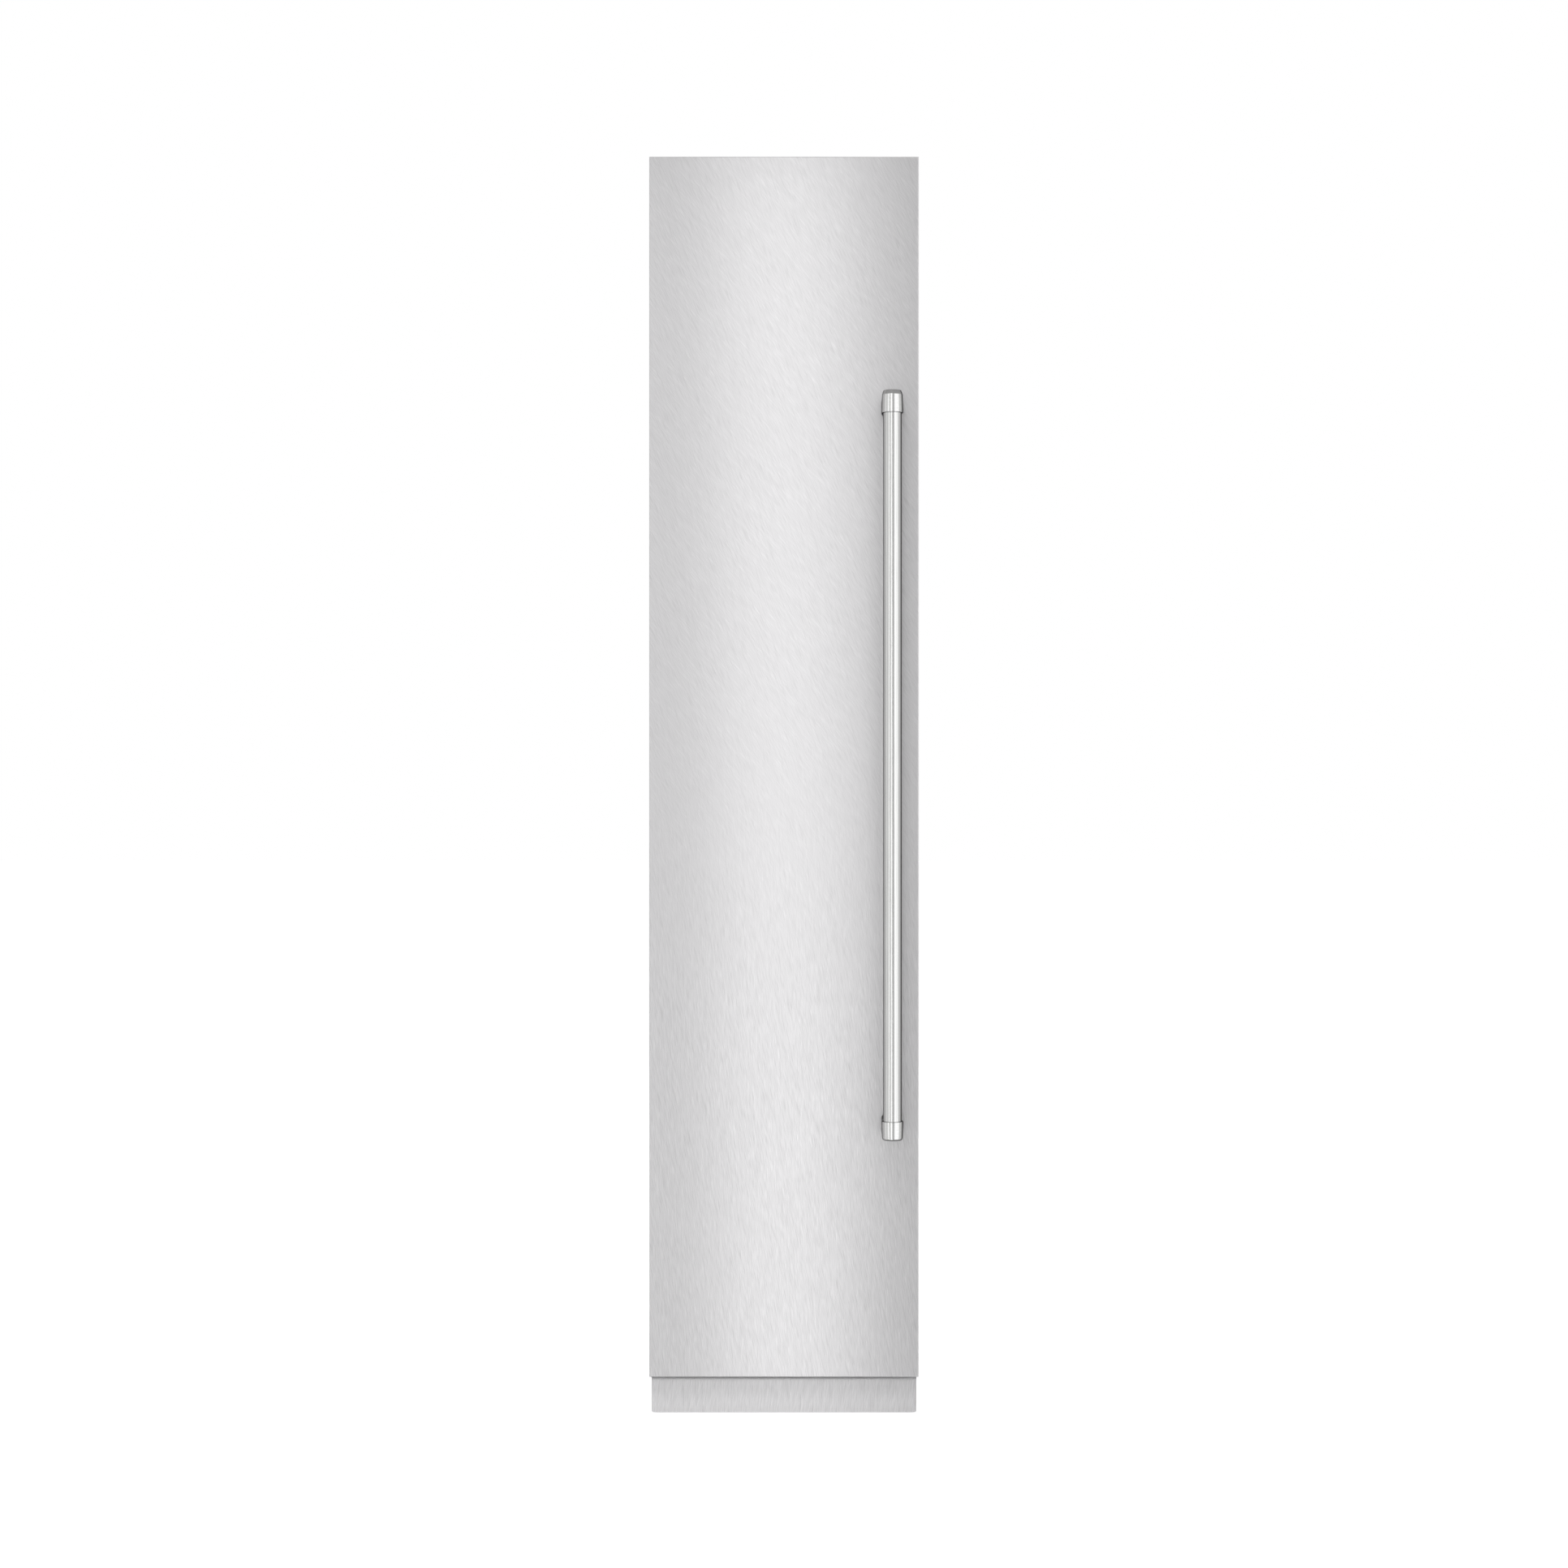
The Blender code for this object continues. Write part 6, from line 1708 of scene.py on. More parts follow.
@dataclass
class LightStrips:
    """The opal light strips on the room's side walls."""

    corner: float = 2.4 * MM
    edge: float = 1 * MM

    def build(self) -> None:
        """Makes both strips."""
        for side in ("left", "right"):
            node = f"light_bar_{side}"
            bm = soft_block(*spans(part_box(node)), Axis.Z, self.corner, self.edge)
            make_piece(f"light_strip_{side}", bm, LAMP_COVER, "cabinet", node)


@dataclass
class ControlPanel:
    """The touch panel under the room's ceiling: a dark housing with a sloping window and touch marks."""

    slope: float = 18 * MM
    edge: float = 2 * MM
    window: Point = (170 * MM, 17 * MM, 0.8 * MM)
    window_sunk: float = 0.2 * MM
    window_corner: float = 3 * MM
    window_edge: float = 0.15 * MM
    display: Span = (15 * MM, 5 * MM)
    mark_lift: float = 0.3 * MM
    mark_radius: float = 3 * MM
    mark_width: float = 0.8 * MM
    mark_edge: float = 0.05 * MM
    mark_pitch: float = 26 * MM
    # The corners' radius for a line of width 1
    mark_corner: float = 0.9
    display_corner: float = 2 / 3
    slant: float = math.radians(135)
    marks: tuple[int, ...] = (-2, -1, 1, 2)

    def build(self) -> None:
        """Makes the housing, its window and the marks."""
        x, y, z = spans(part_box("control_panel"))
        slope = ((y[0], z[0] + self.slope), (y[0] + self.slope, z[0]))
        corners = ((y[0], z[1]), *slope, (y[1], z[0]), (y[1], z[1]))
        bm = sheet_of([(x[0], *corner) for corner in corners], (x[1] - x[0], 0, 0))
        make_piece("control_housing", rounded(bm, self.edge, 4), DARK_PLASTIC, "cabinet", "control_panel")
        middle = Vector((0, y[0] + self.slope / 2, z[0] + self.slope / 2))
        width, tall, thick = self.window
        size = (about(0, width / 2), about(0, tall / 2), (-thick, self.window_sunk))
        pane = soft_block(*size, Axis.Z, self.window_corner, self.window_edge)
        make_piece("control_window", self.on_slope(pane, middle), PANEL_WINDOW, "cabinet")
        square = (self.mark_radius, self.mark_radius)
        frames = [
            (place * self.mark_pitch, square, self.mark_width, self.mark_corner) for place in self.marks
        ]
        frames.append((0, self.display, self.mark_width / 2, self.display_corner))
        rings = []
        for place, (half_x, half_y), line, share in frames:
            size = (about(place, half_x), about(0, half_y), (0, self.mark_lift))
            rings.append(frame_of(*size, line, line * share, self.mark_edge, Axis.Z))
        make_piece("control_marks", self.on_slope(merged(*rings), middle), PRINTED_INK, "cabinet")

    def on_slope(self, bm: BMesh, middle: Vector) -> BMesh:
        """Lays a shape that was made flat on the panel's sloping face.

        Args:
            bm: The shape, changed in place.
            middle: The middle of the sloping face.

        Returns:
            The same mesh.
        """
        turn = Matrix.Rotation(self.slant, 3, "X")
        bmesh.ops.rotate(bm, cent=(0, 0, 0), matrix=turn, verts=bm.verts)
        bmesh.ops.translate(bm, vec=middle, verts=bm.verts)
        return bm


@dataclass
class AirDuctCover:
    """The white panel in front of the evaporator, with two groups of vents, beads and screw caps."""

    corner: float = 5 * MM
    edge: float = 0.8 * MM
    vent: Span = (55 * MM, 4 * MM)
    vents: int = 5
    pitch: float = 20 * MM
    groups: Span = (1410 * MM, 597 * MM)
    bead_x: Span = (84 * MM, 128 * MM)
    bead_z: Span = (700 * MM, 1840 * MM)
    bead_width: float = 5 * MM
    bead_depth: float = 0.7 * MM
    bead_edge: float = 0.5 * MM
    cap_radius: float = 7 * MM
    cap_length: float = 1.3 * MM
    cap_sunk: float = 0.5 * MM
    cap_rim: float = 0.6 * MM
    caps_z: Point = (380 * MM, 1000 * MM, 1560 * MM)
    cap_x: float = 150 * MM

    def build(self) -> None:
        """Makes the panel."""
        x, y, z = spans(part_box("evaporator_cover"))
        half, tall = self.vent
        through = (y[0] - MM, y[1] + MM)
        cutters = []
        for start in self.groups:
            vent = rounded(
                cuboid(about(0, half), through, about(start, tall)), tall * FULL_ROUND, 5, along(Axis.Y)
            )
            cutters.append(repeated(vent, (0, 0, self.pitch), self.vents))
        deep = (y[0] - self.bead_width, y[0] + self.bead_depth)
        for place in self.bead_x:
            groove = round_block(about(place, self.bead_width / 2), deep, self.bead_z, self.bead_edge, 2)
            cutters += [mirrored(groove), groove]
        bm = carved(soft_block(x, y, z, Axis.Y, self.corner, self.edge), *cutters)
        for height in self.caps_z:
            place = (self.cap_x, y[0] + self.cap_sunk, height)
            cap = rod(place, (0, -1, 0), self.cap_length, self.cap_radius, 32, self.cap_rim)
            bm = merged(bm, mirrored(cap), cap)
        make_piece("air_duct_cover", bm, LINER_PLASTIC, "cabinet", "evaporator_cover")


# The ice maker


@dataclass
class IceMaker:
    """The ice maker: a drive housing, a tray of moulds, its feeler arm and the bin below."""

    motor_width: float = 50 * MM
    tray_depth: float = 40 * MM
    wall: float = 8 * MM
    moulds: int = 7
    mould_radius: float = 64.6 * MM
    mould_share: float = 0.85
    mould_wall: float = 3 * MM
    axis_lift: float = 4 * MM
    shaft_radius: float = 4 * MM
    shaft_lift: float = 8 * MM
    finger_reach: float = 42 * MM
    # Starts are measured from the maker's left side, heights from the tray's top
    tray_start: float = 2 * MM
    shaft_start: float = 6 * MM
    shaft_short: float = 5 * MM
    finger_half: float = 2 * MM
    finger_z: Span = (5 * MM, 11 * MM)
    finger_edge: float = 1.5 * MM
    bearing_half: float = 9 * MM
    bearing_z: Span = (-6 * MM, 16 * MM)
    bearing_edge: float = 2 * MM
    edge: float = 3 * MM
    drive_gap: float = 1 * MM
    back_overlap: float = 4 * MM
    # The cover's and the switch's places are measured from the drive's sides, front and foot
    cover_x: Span = (7 * MM, -6 * MM)
    cover_y: Span = (-0.6 * MM, 2 * MM)
    cover_margin: float = 8 * MM
    cover_corner: float = 5 * MM
    cover_edge: float = 0.5 * MM
    switch_margin: float = 18 * MM
    switch_y: Span = (-2.4 * MM, 1 * MM)
    switch_z: Span = (60 * MM, 74 * MM)
    switch_edge: float = 1.2 * MM
    wire_radius: float = 2 * MM
    wire_bend: float = 3.6 * MM
    bin_wall: float = 2.6 * MM
    bin_corner: float = 20 * MM
    bin_foot: float = 8 * MM
    bin_flange: float = 1.4 * MM
    dip: float = 40 * MM
    dip_corner: float = 18 * MM

    def build(self) -> None:
        """Makes the maker, the arm and the bin."""
        x, y, z = spans(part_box("ice_maker"))
        split = x[1] - self.motor_width
        self.make_tray((x[0], split), y, z[0] + 2 * self.tray_depth)
        drive = round_block((split + self.drive_gap, x[1]), y, z, self.edge * 2, 5)
        back = ((x[0], split + self.back_overlap), (y[1] - self.wall, y[1]), (z[0] + self.tray_depth, z[1]))
        plate = soft_block(*back, Axis.Y, self.edge * 2, self.edge / 3)
        make_piece("ice_maker_housing", merged(drive, plate), WHITE_PLASTIC, "cabinet", "ice_maker")
        wide = (split + self.cover_x[0], x[1] + self.cover_x[1])
        face = (wide, shifted(self.cover_y, y[0]), inner(z, self.cover_margin))
        cover = soft_block(*face, Axis.Y, self.cover_corner, self.cover_edge)
        wide = inner((split, x[1]), self.switch_margin)
        deep, tall = shifted(self.switch_y, y[0]), shifted(self.switch_z, z[0])
        switch = round_block(wide, deep, tall, self.switch_edge)
        make_piece("ice_drive_cover", merged(cover, switch), WHITE_PLASTIC, "cabinet")
        self.make_arm(x[1] + FIT)
        self.make_bin()

    def make_tray(self, x: Span, y: Span, top: float) -> None:
        """Makes the metal tray with a row of round-bottomed moulds, and the ejector.

        Args:
            x: The tray's left and right.
            y: The maker's front and back.
            top: The tray's top.
        """
        y = (y[0] + self.wall, y[1] - self.wall - FIT)
        block = round_block((x[0] + self.tray_start, x[1]), y, (top - 2 * self.tray_depth, top), self.edge)
        pitch = (x[1] - x[0] - 4 * self.wall) / self.moulds
        middle = sum(y) / 2
        first = x[0] + 2 * self.wall
        axis = top + self.axis_lift
        start = (first + self.mould_wall / 2, middle, axis)
        mould = rod(start, (1, 0, 0), pitch - self.mould_wall, self.mould_radius, 48)
        lower = Matrix.Translation((0, 0, -axis))
        bmesh.ops.scale(mould, vec=(1, 1, self.mould_share), space=lower, verts=mould.verts)
        bm = carved(block, repeated(mould, (pitch, 0, 0), self.moulds))
        start = (x[0] + self.shaft_start, middle, top + self.shaft_lift)
        shaft = rod(start, (1, 0, 0), x[1] - x[0] - self.shaft_short, self.shaft_radius, 24, MM)
        wide, deep = about(first + pitch / 2, self.finger_half), (middle - self.finger_reach, middle)
        finger = round_block(wide, deep, shifted(self.finger_z, top), self.finger_edge)
        wide, deep = (x[0] + self.tray_start, x[0] + self.wall), about(middle, self.bearing_half)
        bearing = round_block(wide, deep, shifted(self.bearing_z, top), self.bearing_edge)
        fingers = repeated(finger, (pitch, 0, 0), self.moulds)
        make_piece("ice_mould_tray", merged(bm, bearing), COIL_ALUMINIUM, "cabinet", slot="liner_plastic")
        make_piece("ice_ejector", merged(shaft, fingers), WHITE_PLASTIC, "cabinet")

    def make_arm(self, root: float) -> None:
        """Makes the feeler arm, a wire bent round two corners, from the maker's right side on."""
        x, y, z = (inner(span, self.wire_radius) for span in spans(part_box("ice_arm")))
        left = x[0] - self.wire_radius
        path = [(root, y[1], z[1]), (x[1], y[1], z[1]), (x[1], y[0], z[0]), (left, y[0], z[0])]
        bm = tube(path, self.wire_radius, self.wire_bend, 16)
        make_piece("ice_feeler_arm", bm, ZINC_PLATED, "ice_arm", "ice_arm")

    def make_bin(self) -> None:
        """Makes the ice bin, its front wall dipped so that a hand can reach in."""
        low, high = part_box("ice_bin")
        flange, wall = self.bin_flange, self.bin_wall
        x, y, z = spans((low, high))
        x, y = inner(x, flange), inner(y, flange)
        bm = walled(open_tub(x, y, (z[0], z[1] - wall), self.bin_corner, self.bin_foot), wall, flange)
        front = (low[1] - MM, low[1] + self.bin_corner)
        dip = rounded(
            cuboid(inner(x, self.dip), front, about(z[1], self.dip)), self.dip_corner, 6, along(Axis.Y)
        )
        make_piece("ice_store_bin", carved(bm, dip), CLEAR_PLASTIC, "cabinet", "ice_bin")


# The cooling system


@dataclass
class FanSet:
    """A fan: a wheel with swept blades, and its motor can on a bracket behind."""

    body: str
    bracket_down: bool
    blades: int = 5
    hub_share: float = 0.3
    hub_wall: float = 2 * MM
    boss: float = 3 * MM
    pitch: float = math.radians(62)
    sweep: float = math.radians(18)
    blade: float = 1.2 * MM
    blade_steps: int = 16
    blade_sunk: float = 0.6 * MM
    tip_narrows: float = 0.4
    margin: float = 0.12
    camber: float = 0.12
    rim_gap: float = 0.5 * MM
    motor_radius: float = 22 * MM
    shaft_radius: float = 2.4 * MM
    bore_radius: float = 2.6 * MM
    hub_floor: float = 3 * MM
    hub_rim: float = 1 * MM
    can_gap: float = 2 * MM
    can_rim: float = 2 * MM
    sole: float = 2 * MM
    sole_inset: float = 3 * MM
    sole_corner: float = 3 * MM
    sole_edge: float = 0.5 * MM
    # The post's half width, and its front and back measured from the can's back
    post_half: float = 9 * MM
    post_y: Span = (-4 * MM, -1 * MM)
    post_edge: float = 0.8 * MM
    bar: float = 3 * MM
    bar_half: float = 7 * MM
    bar_corner: float = 6 * MM
    bar_edge: float = 0.6 * MM
    screw_inset: float = 8 * MM
    screw_start: float = 5 * MM
    screw_radius: float = 3.6 * MM
    screw_rim: float = 0.8 * MM

    def build(self) -> None:
        """Makes the wheel and the motor."""
        low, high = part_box(self.body)
        motor_low, motor_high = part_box(f"{self.body}_motor")
        middle = (motor_low[2] + motor_high[2]) / 2
        height = motor_high[2] - self.motor_radius if self.bracket_down else middle
        centre = Vector(((motor_low[0] + motor_high[0]) / 2, low[1], height))
        reach = max(high[2] - centre.z, centre.z - low[2], high[0] - centre.x) - self.rim_gap
        depth = high[1] - low[1]
        hub, wall, bore = reach * self.hub_share, self.hub_wall, self.bore_radius
        boss, end, floor = bore + self.boss, depth - MM, self.hub_floor
        profile = [(0, 0), (hub - wall, 0), (hub, wall), (hub, depth), (hub - wall, depth)]
        profile += [(hub - wall, floor), (boss, floor), (boss, end), (bore, end)]
        profile += [(bore, floor + MM / 2), (0, floor + MM / 2)]
        wheel = turned(profile, tuple(centre), (0, 1, 0), 48, rims={2: self.hub_rim})
        blade = self.make_blade((hub - self.blade_sunk, reach), depth)
        for index in range(self.blades):
            copy = blade.copy()
            turn = Matrix.Rotation(math.tau * index / self.blades, 3, "Y")
            bmesh.ops.rotate(copy, cent=(0, 0, 0), matrix=turn, verts=copy.verts)
            bmesh.ops.translate(copy, vec=centre, verts=copy.verts)
            wheel = merged(wheel, copy)
        blade.free()
        make_piece(f"{self.body}_wheel", wheel, DARK_PLASTIC, self.body, self.body)
        self.make_motor(centre, motor_low, motor_high, depth)

    def make_blade(self, radii: Span, depth: float) -> BMesh:
        """Makes one blade: a sheet that winds round the axis, swept back towards its tip.

        Args:
            radii: The radius that it starts at and the one that it ends at.
            depth: The wheel's depth.

        Returns:
            The blade, round the axis at the origin.
        """
        root, tip = radii
        bm = bmesh.new()
        bmesh.ops.create_grid(bm, x_segments=self.blade_steps, y_segments=self.blade_steps, size=0.5)
        for vert in bm.verts:
            out, across = vert.co.x + 0.5, vert.co.y + 0.5
            radius = root + (tip - root) * out
            wide = 1 - self.tip_narrows * out**5
            angle = self.pitch * (across - 0.5) * wide + self.sweep * out
            curve = math.sin(math.pi * across) * self.camber
            share = 0.5 + (across - 0.5) * wide + curve * (1 - out)
            height = depth * (self.margin + (1 - 2 * self.margin) * share)
            vert.co = (radius * math.cos(angle), height, radius * math.sin(angle))
        return outwards(thickened(outwards(bm), self.blade))

    def make_motor(self, centre: Vector, low: Vector, high: Vector, depth: float) -> None:
        """Makes the can with a pressed waist and end rings, its shaft, and its bracket.

        Args:
            centre: The middle of the wheel's front.
            low: The near corner of the motor's box.
            high: Its far corner.
            depth: The wheel's depth.
        """
        face, back = centre.y + depth + self.can_gap, high[1]
        length, radius = back - face, self.motor_radius
        # Shares of the radius and millimetres from the face, then shares of the length
        front = [(0, 0), (0.35, 0), (0.4, 3), (0.85, 4), (1, 7)]
        waist = [(1, 0.45), (0.95, 0.48), (0.95, 0.55), (1, 0.58)]
        profile = [(radius * out, along_axis * MM) for out, along_axis in front]
        profile += [(radius * out, length * share) for out, share in waist]
        profile += [(radius, length - self.can_rim), (radius * 0.9, length), (0, length)]
        can = turned(profile, (centre.x, face, centre.z), (0, 1, 0), 48)
        run = face - low[1] + MM
        shaft = rod((centre.x, low[1], centre.z), (0, 1, 0), run, self.shaft_radius, 16)
        if self.bracket_down:
            bracket = self.make_foot(centre, face, low, back)
        else:
            bracket = self.make_bar(centre, low, high)
        can = merged(can, shaft, bracket)
        make_piece(f"{self.body}_motor_can", can, MOTOR_PAINT, "cabinet", f"{self.body}_motor")

    def make_foot(self, centre: Vector, face: float, low: Vector, back: float) -> BMesh:
        """Makes the post under a can and its sole on the floor.

        Args:
            centre: The middle of the wheel's front.
            face: The y of the can's face.
            low: The near corner of the motor's box.
            back: The y of the can's back.

        Returns:
            The foot.
        """
        rise = (low[2] + MM, centre.z)
        post = round_block(about(centre.x, self.post_half), shifted(self.post_y, back), rise, self.post_edge)
        wide, deep = about(centre.x, self.motor_radius), (face + self.sole_inset, back)
        size = (wide, deep, (low[2], low[2] + self.sole))
        return merged(post, soft_block(*size, Axis.Z, self.sole_corner, self.sole_edge))

    def make_bar(self, centre: Vector, low: Vector, high: Vector) -> BMesh:
        """Makes the bar behind a can with a screw at each end.

        Args:
            centre: The middle of the wheel's front.
            low: The near corner of the motor's box.
            high: Its far corner.

        Returns:
            The bar and its screws.
        """
        size = ((low[0], high[0]), (high[1] - self.bar, high[1]), about(centre.z, self.bar_half))
        bar = soft_block(*size, Axis.Y, self.bar_corner, self.bar_edge)
        reach = high[0] - centre.x - self.screw_inset
        for x in (centre.x - reach, centre.x + reach):
            place = (x, high[1] - self.screw_start, centre.z)
            bar = merged(bar, rod(place, (0, 1, 0), self.bar, self.screw_radius, 20, self.screw_rim))
        return bar


@dataclass
class Coil:
    """A heat exchanger: straight tubes joined by bends at both sides, through a stack of thin fins."""

    node: str
    slot: str
    fins: int
    rows: int
    tube_finish: Finish
    fin_finish: Finish
    columns: int = 2
    tube_radius: float = 4 * MM
    bend_share: float = 0.35
    fin: float = 0.5 * MM
    fin_inset: Span = (1 * MM, 4 * MM)
    end: float = 1.2 * MM
    end_corner: float = 4 * MM
    end_edge: float = 0.3 * MM
    side_room: float = 13 * MM

    def build(self) -> None:
        """Makes the fins, the end plates and the tubes."""
        low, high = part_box(self.node)
        x, y, z = spans((low, high))
        left, right = inner(x, self.side_room)
        pitch = (right - left - self.fin) / (self.fins - 1)
        deep, tall = (inner(span, inset) for span, inset in zip((y, z), self.fin_inset))
        stack = repeated(cuboid((left, left + self.fin), deep, tall), (pitch, 0, 0), self.fins)
        plates = [
            soft_block((side, side + self.end), y, z, Axis.X, self.end_corner, self.end_edge)
            for side in (left - self.end - pitch, right + pitch)
        ]
        fins = merged(stack, *plates)
        make_piece(
            f"{self.node}_fins", fins, self.fin_finish, "cabinet", self.node, slot=self.slot, even=False
        )
        rise = (high[2] - low[2]) / self.rows
        step = (high[1] - low[1]) / self.columns
        reach = inner(x, self.tube_radius)
        path = []
        for column in range(self.columns):
            depth = low[1] + step * (column + 0.5)
            for row in range(self.rows) if column % 2 == 0 else reversed(range(self.rows)):
                height = low[2] + rise * (row + 0.5)
                ends = reach if len(path) % 4 == 0 else reversed(reach)
                path += [(end, depth, height) for end in ends]
        bm = tube(path, self.tube_radius, min(rise, self.side_room) * self.bend_share, 12)
        make_piece(f"{self.node}_tubes", bm, self.tube_finish, "cabinet", slot=self.slot)


@dataclass
class Compressor:
    """The compressor: two pressed shells welded round the middle, on a plate with rubber grommets."""

    radius: float = 74 * MM
    lip: float = 4.5 * MM
    foot: float = 12 * MM
    shoulder: float = 26 * MM
    shoulder_steps: int = 6
    steps: int = 96
    plate: float = 3 * MM
    plate_corner: float = 14 * MM
    plate_edge: float = 0.8 * MM
    # Each pipe's degrees round the pot and its share of the height
    pipes: tuple[Span, ...] = ((130, 0.42), (150, 0.3), (205, 0.62))
    pipe_radius: float = 4 * MM
    pipe_bend: float = 5 * MM
    pipe_sunk: float = 4 * MM
    pipe_reach: float = 10 * MM
    pipe_rise: float = 24 * MM
    cover_width: float = 38 * MM
    cover_half: float = 24 * MM
    cover_edge: float = 4 * MM
    grommet_inset: float = 14 * MM
    grommet_lift: float = 0.2 * MM
    # Radius and height in millimetres
    grommet: tuple[Span, ...] = ((0, 0), (11, 0), (11, 3), (7, 4.5), (7, 6), (9, 7), (9, 9.5), (0, 9.5))

    def build(self) -> None:
        """Makes the shells, plate, pipe stubs, terminal cover and grommets."""
        low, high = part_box("compressor")
        half = (high[1] - low[1]) / 2
        base_x = high[0] - (high[1] - low[1])
        centre = Vector(((base_x + high[0]) / 2, (low[1] + high[1]) / 2, low[2]))
        tall = high[2] - low[2]
        seam = self.foot + (tall - self.foot) / 2
        pot = turned(self.pot_profile(tall, seam), tuple(centre), steps=self.steps)
        size = ((centre.x - half, high[0]), (low[1], high[1]), (low[2], low[2] + self.plate))
        plate = soft_block(*size, Axis.Z, self.plate_corner, self.plate_edge)
        neck = rod((centre.x, centre.y, low[2] + MM), (0, 0, 1), self.foot * 2, self.radius * 0.5, 48)
        pipes = []
        for angle, height in self.pipes:
            out = Vector((math.cos(math.radians(angle)), math.sin(math.radians(angle)), 0))
            start = centre + out * (self.radius - self.pipe_sunk) + Vector((0, 0, tall * height))
            bend = start + out * self.pipe_reach
            path = [tuple(start), tuple(bend), tuple(bend + Vector((0, 0, self.pipe_rise)))]
            pipes.append(tube(path, self.pipe_radius, self.pipe_bend, 12))
        make_piece("compressor_shell", merged(pot, plate, neck), COMPRESSOR_ENAMEL, "cabinet", "compressor")
        make_piece("compressor_pipes", merged(*pipes), COIL_COPPER, "cabinet")
        size = (about(centre.y, self.cover_half), about(low[2] + seam, self.cover_half))
        box = round_block((low[0], low[0] + self.cover_width), *size, self.cover_edge, 4)
        make_piece("compressor_terminal_cover", box, DARK_PLASTIC, "cabinet")
        reach = half - self.grommet_inset
        profile = [(out * MM, rise * MM) for out, rise in self.grommet]
        grommets = [
            turned(
                profile,
                (centre.x + side * reach, centre.y + end * reach, centre.z + self.grommet_lift),
                steps=24,
            )
            for side in (-1, 1)
            for end in (-1, 1)
        ]
        make_piece("compressor_grommets", merged(*grommets), DARK_RUBBER, "cabinet")

    def pot_profile(self, tall: float, seam: float) -> list[Span]:
        """Gives the outline of the two shells with the weld between them.

        Args:
            tall: The height of the whole.
            seam: The height of the weld.

        Returns:
            Radius and height of each point.
        """
        turns = [math.radians(90 * part / self.shoulder_steps) for part in range(self.shoulder_steps + 1)]
        arc = [
            (self.radius - self.shoulder * (1 - math.sin(turn)), self.shoulder * (1 - math.cos(turn)))
            for turn in turns
        ]
        lower = [(out, self.foot + rise) for out, rise in arc]
        upper = [(out, tall - rise) for out, rise in reversed(arc)]
        weld = [
            (self.radius + self.lip * out, seam + self.lip * rise)
            for out, rise in ((0, -1), (0.8, -0.5), (1, 0), (0.8, 0.5), (0, 1))
        ]
        return [(0, self.foot), *lower, *weld, *upper, (0, tall)]


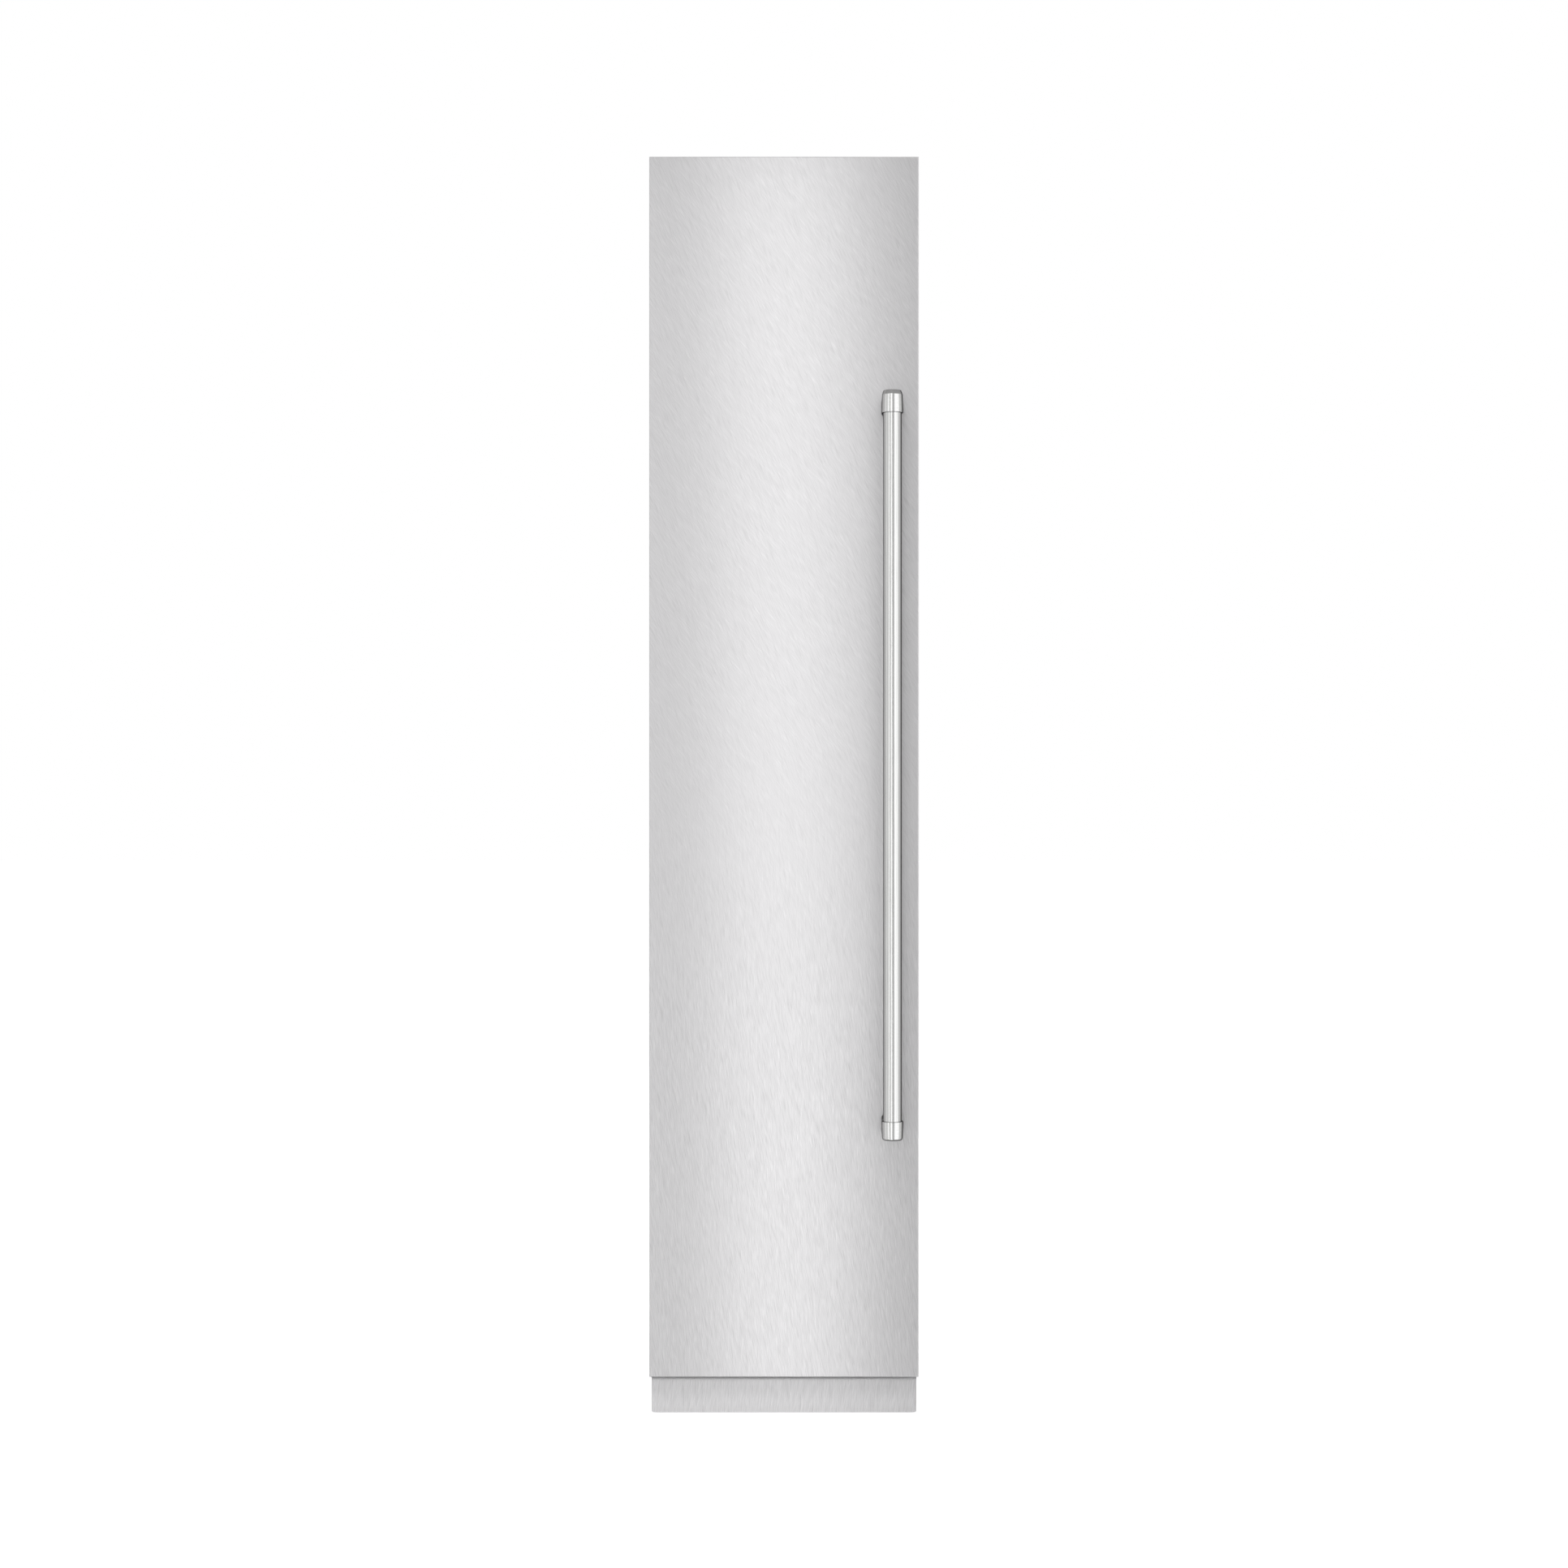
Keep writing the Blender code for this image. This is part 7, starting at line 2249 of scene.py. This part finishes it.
@dataclass
class MachineRoomFittings:
    """The melt-water pan, the appliance inlet and the water valve."""

    pan_corner: float = 12 * MM
    pan_foot: float = 5 * MM
    pan_wall: float = 1.8 * MM
    inlet_wall: float = 5 * MM
    inlet_recess: float = 15 * MM
    inlet_corner: float = 6 * MM
    flange_corner: float = 3 * MM
    flange_edge: float = 0.6 * MM
    blade: Point = (2.4 * MM, 11 * MM, 8 * MM)
    blade_edge: float = 0.5 * MM
    blades: int = 3
    valve_reach: float = 8 * MM
    valve_edge: float = 3 * MM
    stub_radius: float = 9.5 * MM
    thread_depth: float = 0.8 * MM
    bore_radius: float = 5 * MM
    thread_pitch: float = 1.6 * MM

    def build(self) -> None:
        """Makes the three fittings."""
        x, y, z = spans(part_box("drain_pan"))
        size = (inner(x, MM), inner(y, MM), (z[0], z[1] - self.pan_wall))
        bm = walled(open_tub(*size, self.pan_corner, self.pan_foot), self.pan_wall, MM)
        make_piece("melt_water_pan", bm, DARK_PLASTIC, "cabinet", "drain_pan")
        self.make_inlet()
        self.make_valve()

    def make_inlet(self) -> None:
        """Makes the inlet: a recessed socket with flat contact blades."""
        low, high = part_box("power_inlet")
        x, y, z = spans((low, high))
        wall, floor = self.inlet_wall, high[1] - self.inlet_recess
        top = at_place(Axis.Z, z[1] - wall)
        hollow = cuboid(inner(x, wall), (floor, high[1] + wall), inner(z, wall))
        rounded(hollow, self.inlet_corner, 5, lambda edge: along(Axis.Y)(edge) and top(edge))
        bm = carved(soft_block(x, y, z, Axis.Y, self.flange_corner, self.flange_edge), hollow)
        make_piece("appliance_inlet", bm, DARK_PLASTIC, "cabinet", "power_inlet")
        thick, reach, tall = self.blade
        middle = (low + high) / 2
        pitch = (x[1] - x[0] - 2 * wall) / (self.blades + 1)
        deep = (floor - MM, floor + reach)
        blade = round_block(
            about(middle[0] - pitch, thick / 2), deep, about(middle[2], tall / 2), self.blade_edge
        )
        blades = repeated(blade, (pitch, 0, 0), self.blades)
        make_piece("appliance_inlet_blades", blades, ZINC_PLATED, "cabinet")

    def make_valve(self) -> None:
        """Makes the valve: a moulded body with a threaded stub for the supply hose."""
        low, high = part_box("water_valve")
        face = high[1] - self.valve_reach
        middle = (low + high) / 2
        block = round_block((low[0], high[0]), (low[1], face), (low[2], high[2]), self.valve_edge, 4)
        root, length = self.stub_radius - self.thread_depth, self.valve_reach + MM
        thread = thread_of(root, self.stub_radius, self.thread_pitch, (MM, length - MM))
        profile = [(self.bore_radius, 0), (root, 0), *thread, (root, length)]
        profile += [(self.bore_radius, length), (self.bore_radius, 0)]
        stub = turned(profile, (middle[0], face - MM, middle[2]), (0, 1, 0), 40)
        make_piece("supply_valve", merged(block, stub), WHITE_PLASTIC, "cabinet", "water_valve")


@dataclass
class CarriedOver:
    """The CAD's own solids that keep their shape and get their real finish."""

    nodes: dict[str, Object]

    def build(self) -> None:
        """Dresses each node that no piece replaces."""
        finishes = {
            CABINET_PAINT: ("door_shell", "front_frame"),
            RIGID_FOAM: ("door_foam", "cabinet_foam"),
            LINER_PLASTIC: ("side_rack_left", "side_rack_right"),
            DARK_PLASTIC: ("hinge_bush_top", "hinge_bush_bottom"),
            ZINC_PLATED: ("hinge_bracket_top", "hinge_bracket_bottom"),
            ZINC_SHEET: ("base_frame",),
        }
        for finish, names in finishes.items():
            for name in names:
                for slot in self.nodes[name].material_slots:
                    slot.material = finish.build()
                LOG.info("%s keeps its shape, in %s", name, finish.name)


def main() -> None:
    """Builds the studio, then each sub-assembly in order."""
    logging.basicConfig(level=logging.INFO, format="%(message)s")
    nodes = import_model()["nodes"]
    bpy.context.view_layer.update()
    parts = (
        Studio(),
        DoorFront(),
        Handle(),
        ToeKick(),
        DoorLiner(),
        DoorSeal(),
        DoorBins(),
        CabinetWrap(),
        FreezerRoom(),
        RearSheets(),
        Footing(),
        Drawers(),
        Shelves(),
        LightStrips(),
        ControlPanel(),
        AirDuctCover(),
        IceMaker(),
        FanSet("evaporator_fan", False),
        FanSet("condenser_fan", True),
        Coil("evaporator", "coil_aluminium", 60, 12, COIL_ALUMINIUM, COIL_ALUMINIUM),
        Coil("condenser", "coil_copper", 36, 6, COIL_COPPER, COIL_ALUMINIUM),
        Compressor(),
        MachineRoomFittings(),
        CarriedOver(nodes),
    )
    for part in parts:
        LOG.info("building %s", type(part).__name__)
        part.build()


if __name__ == "__main__":
    main()
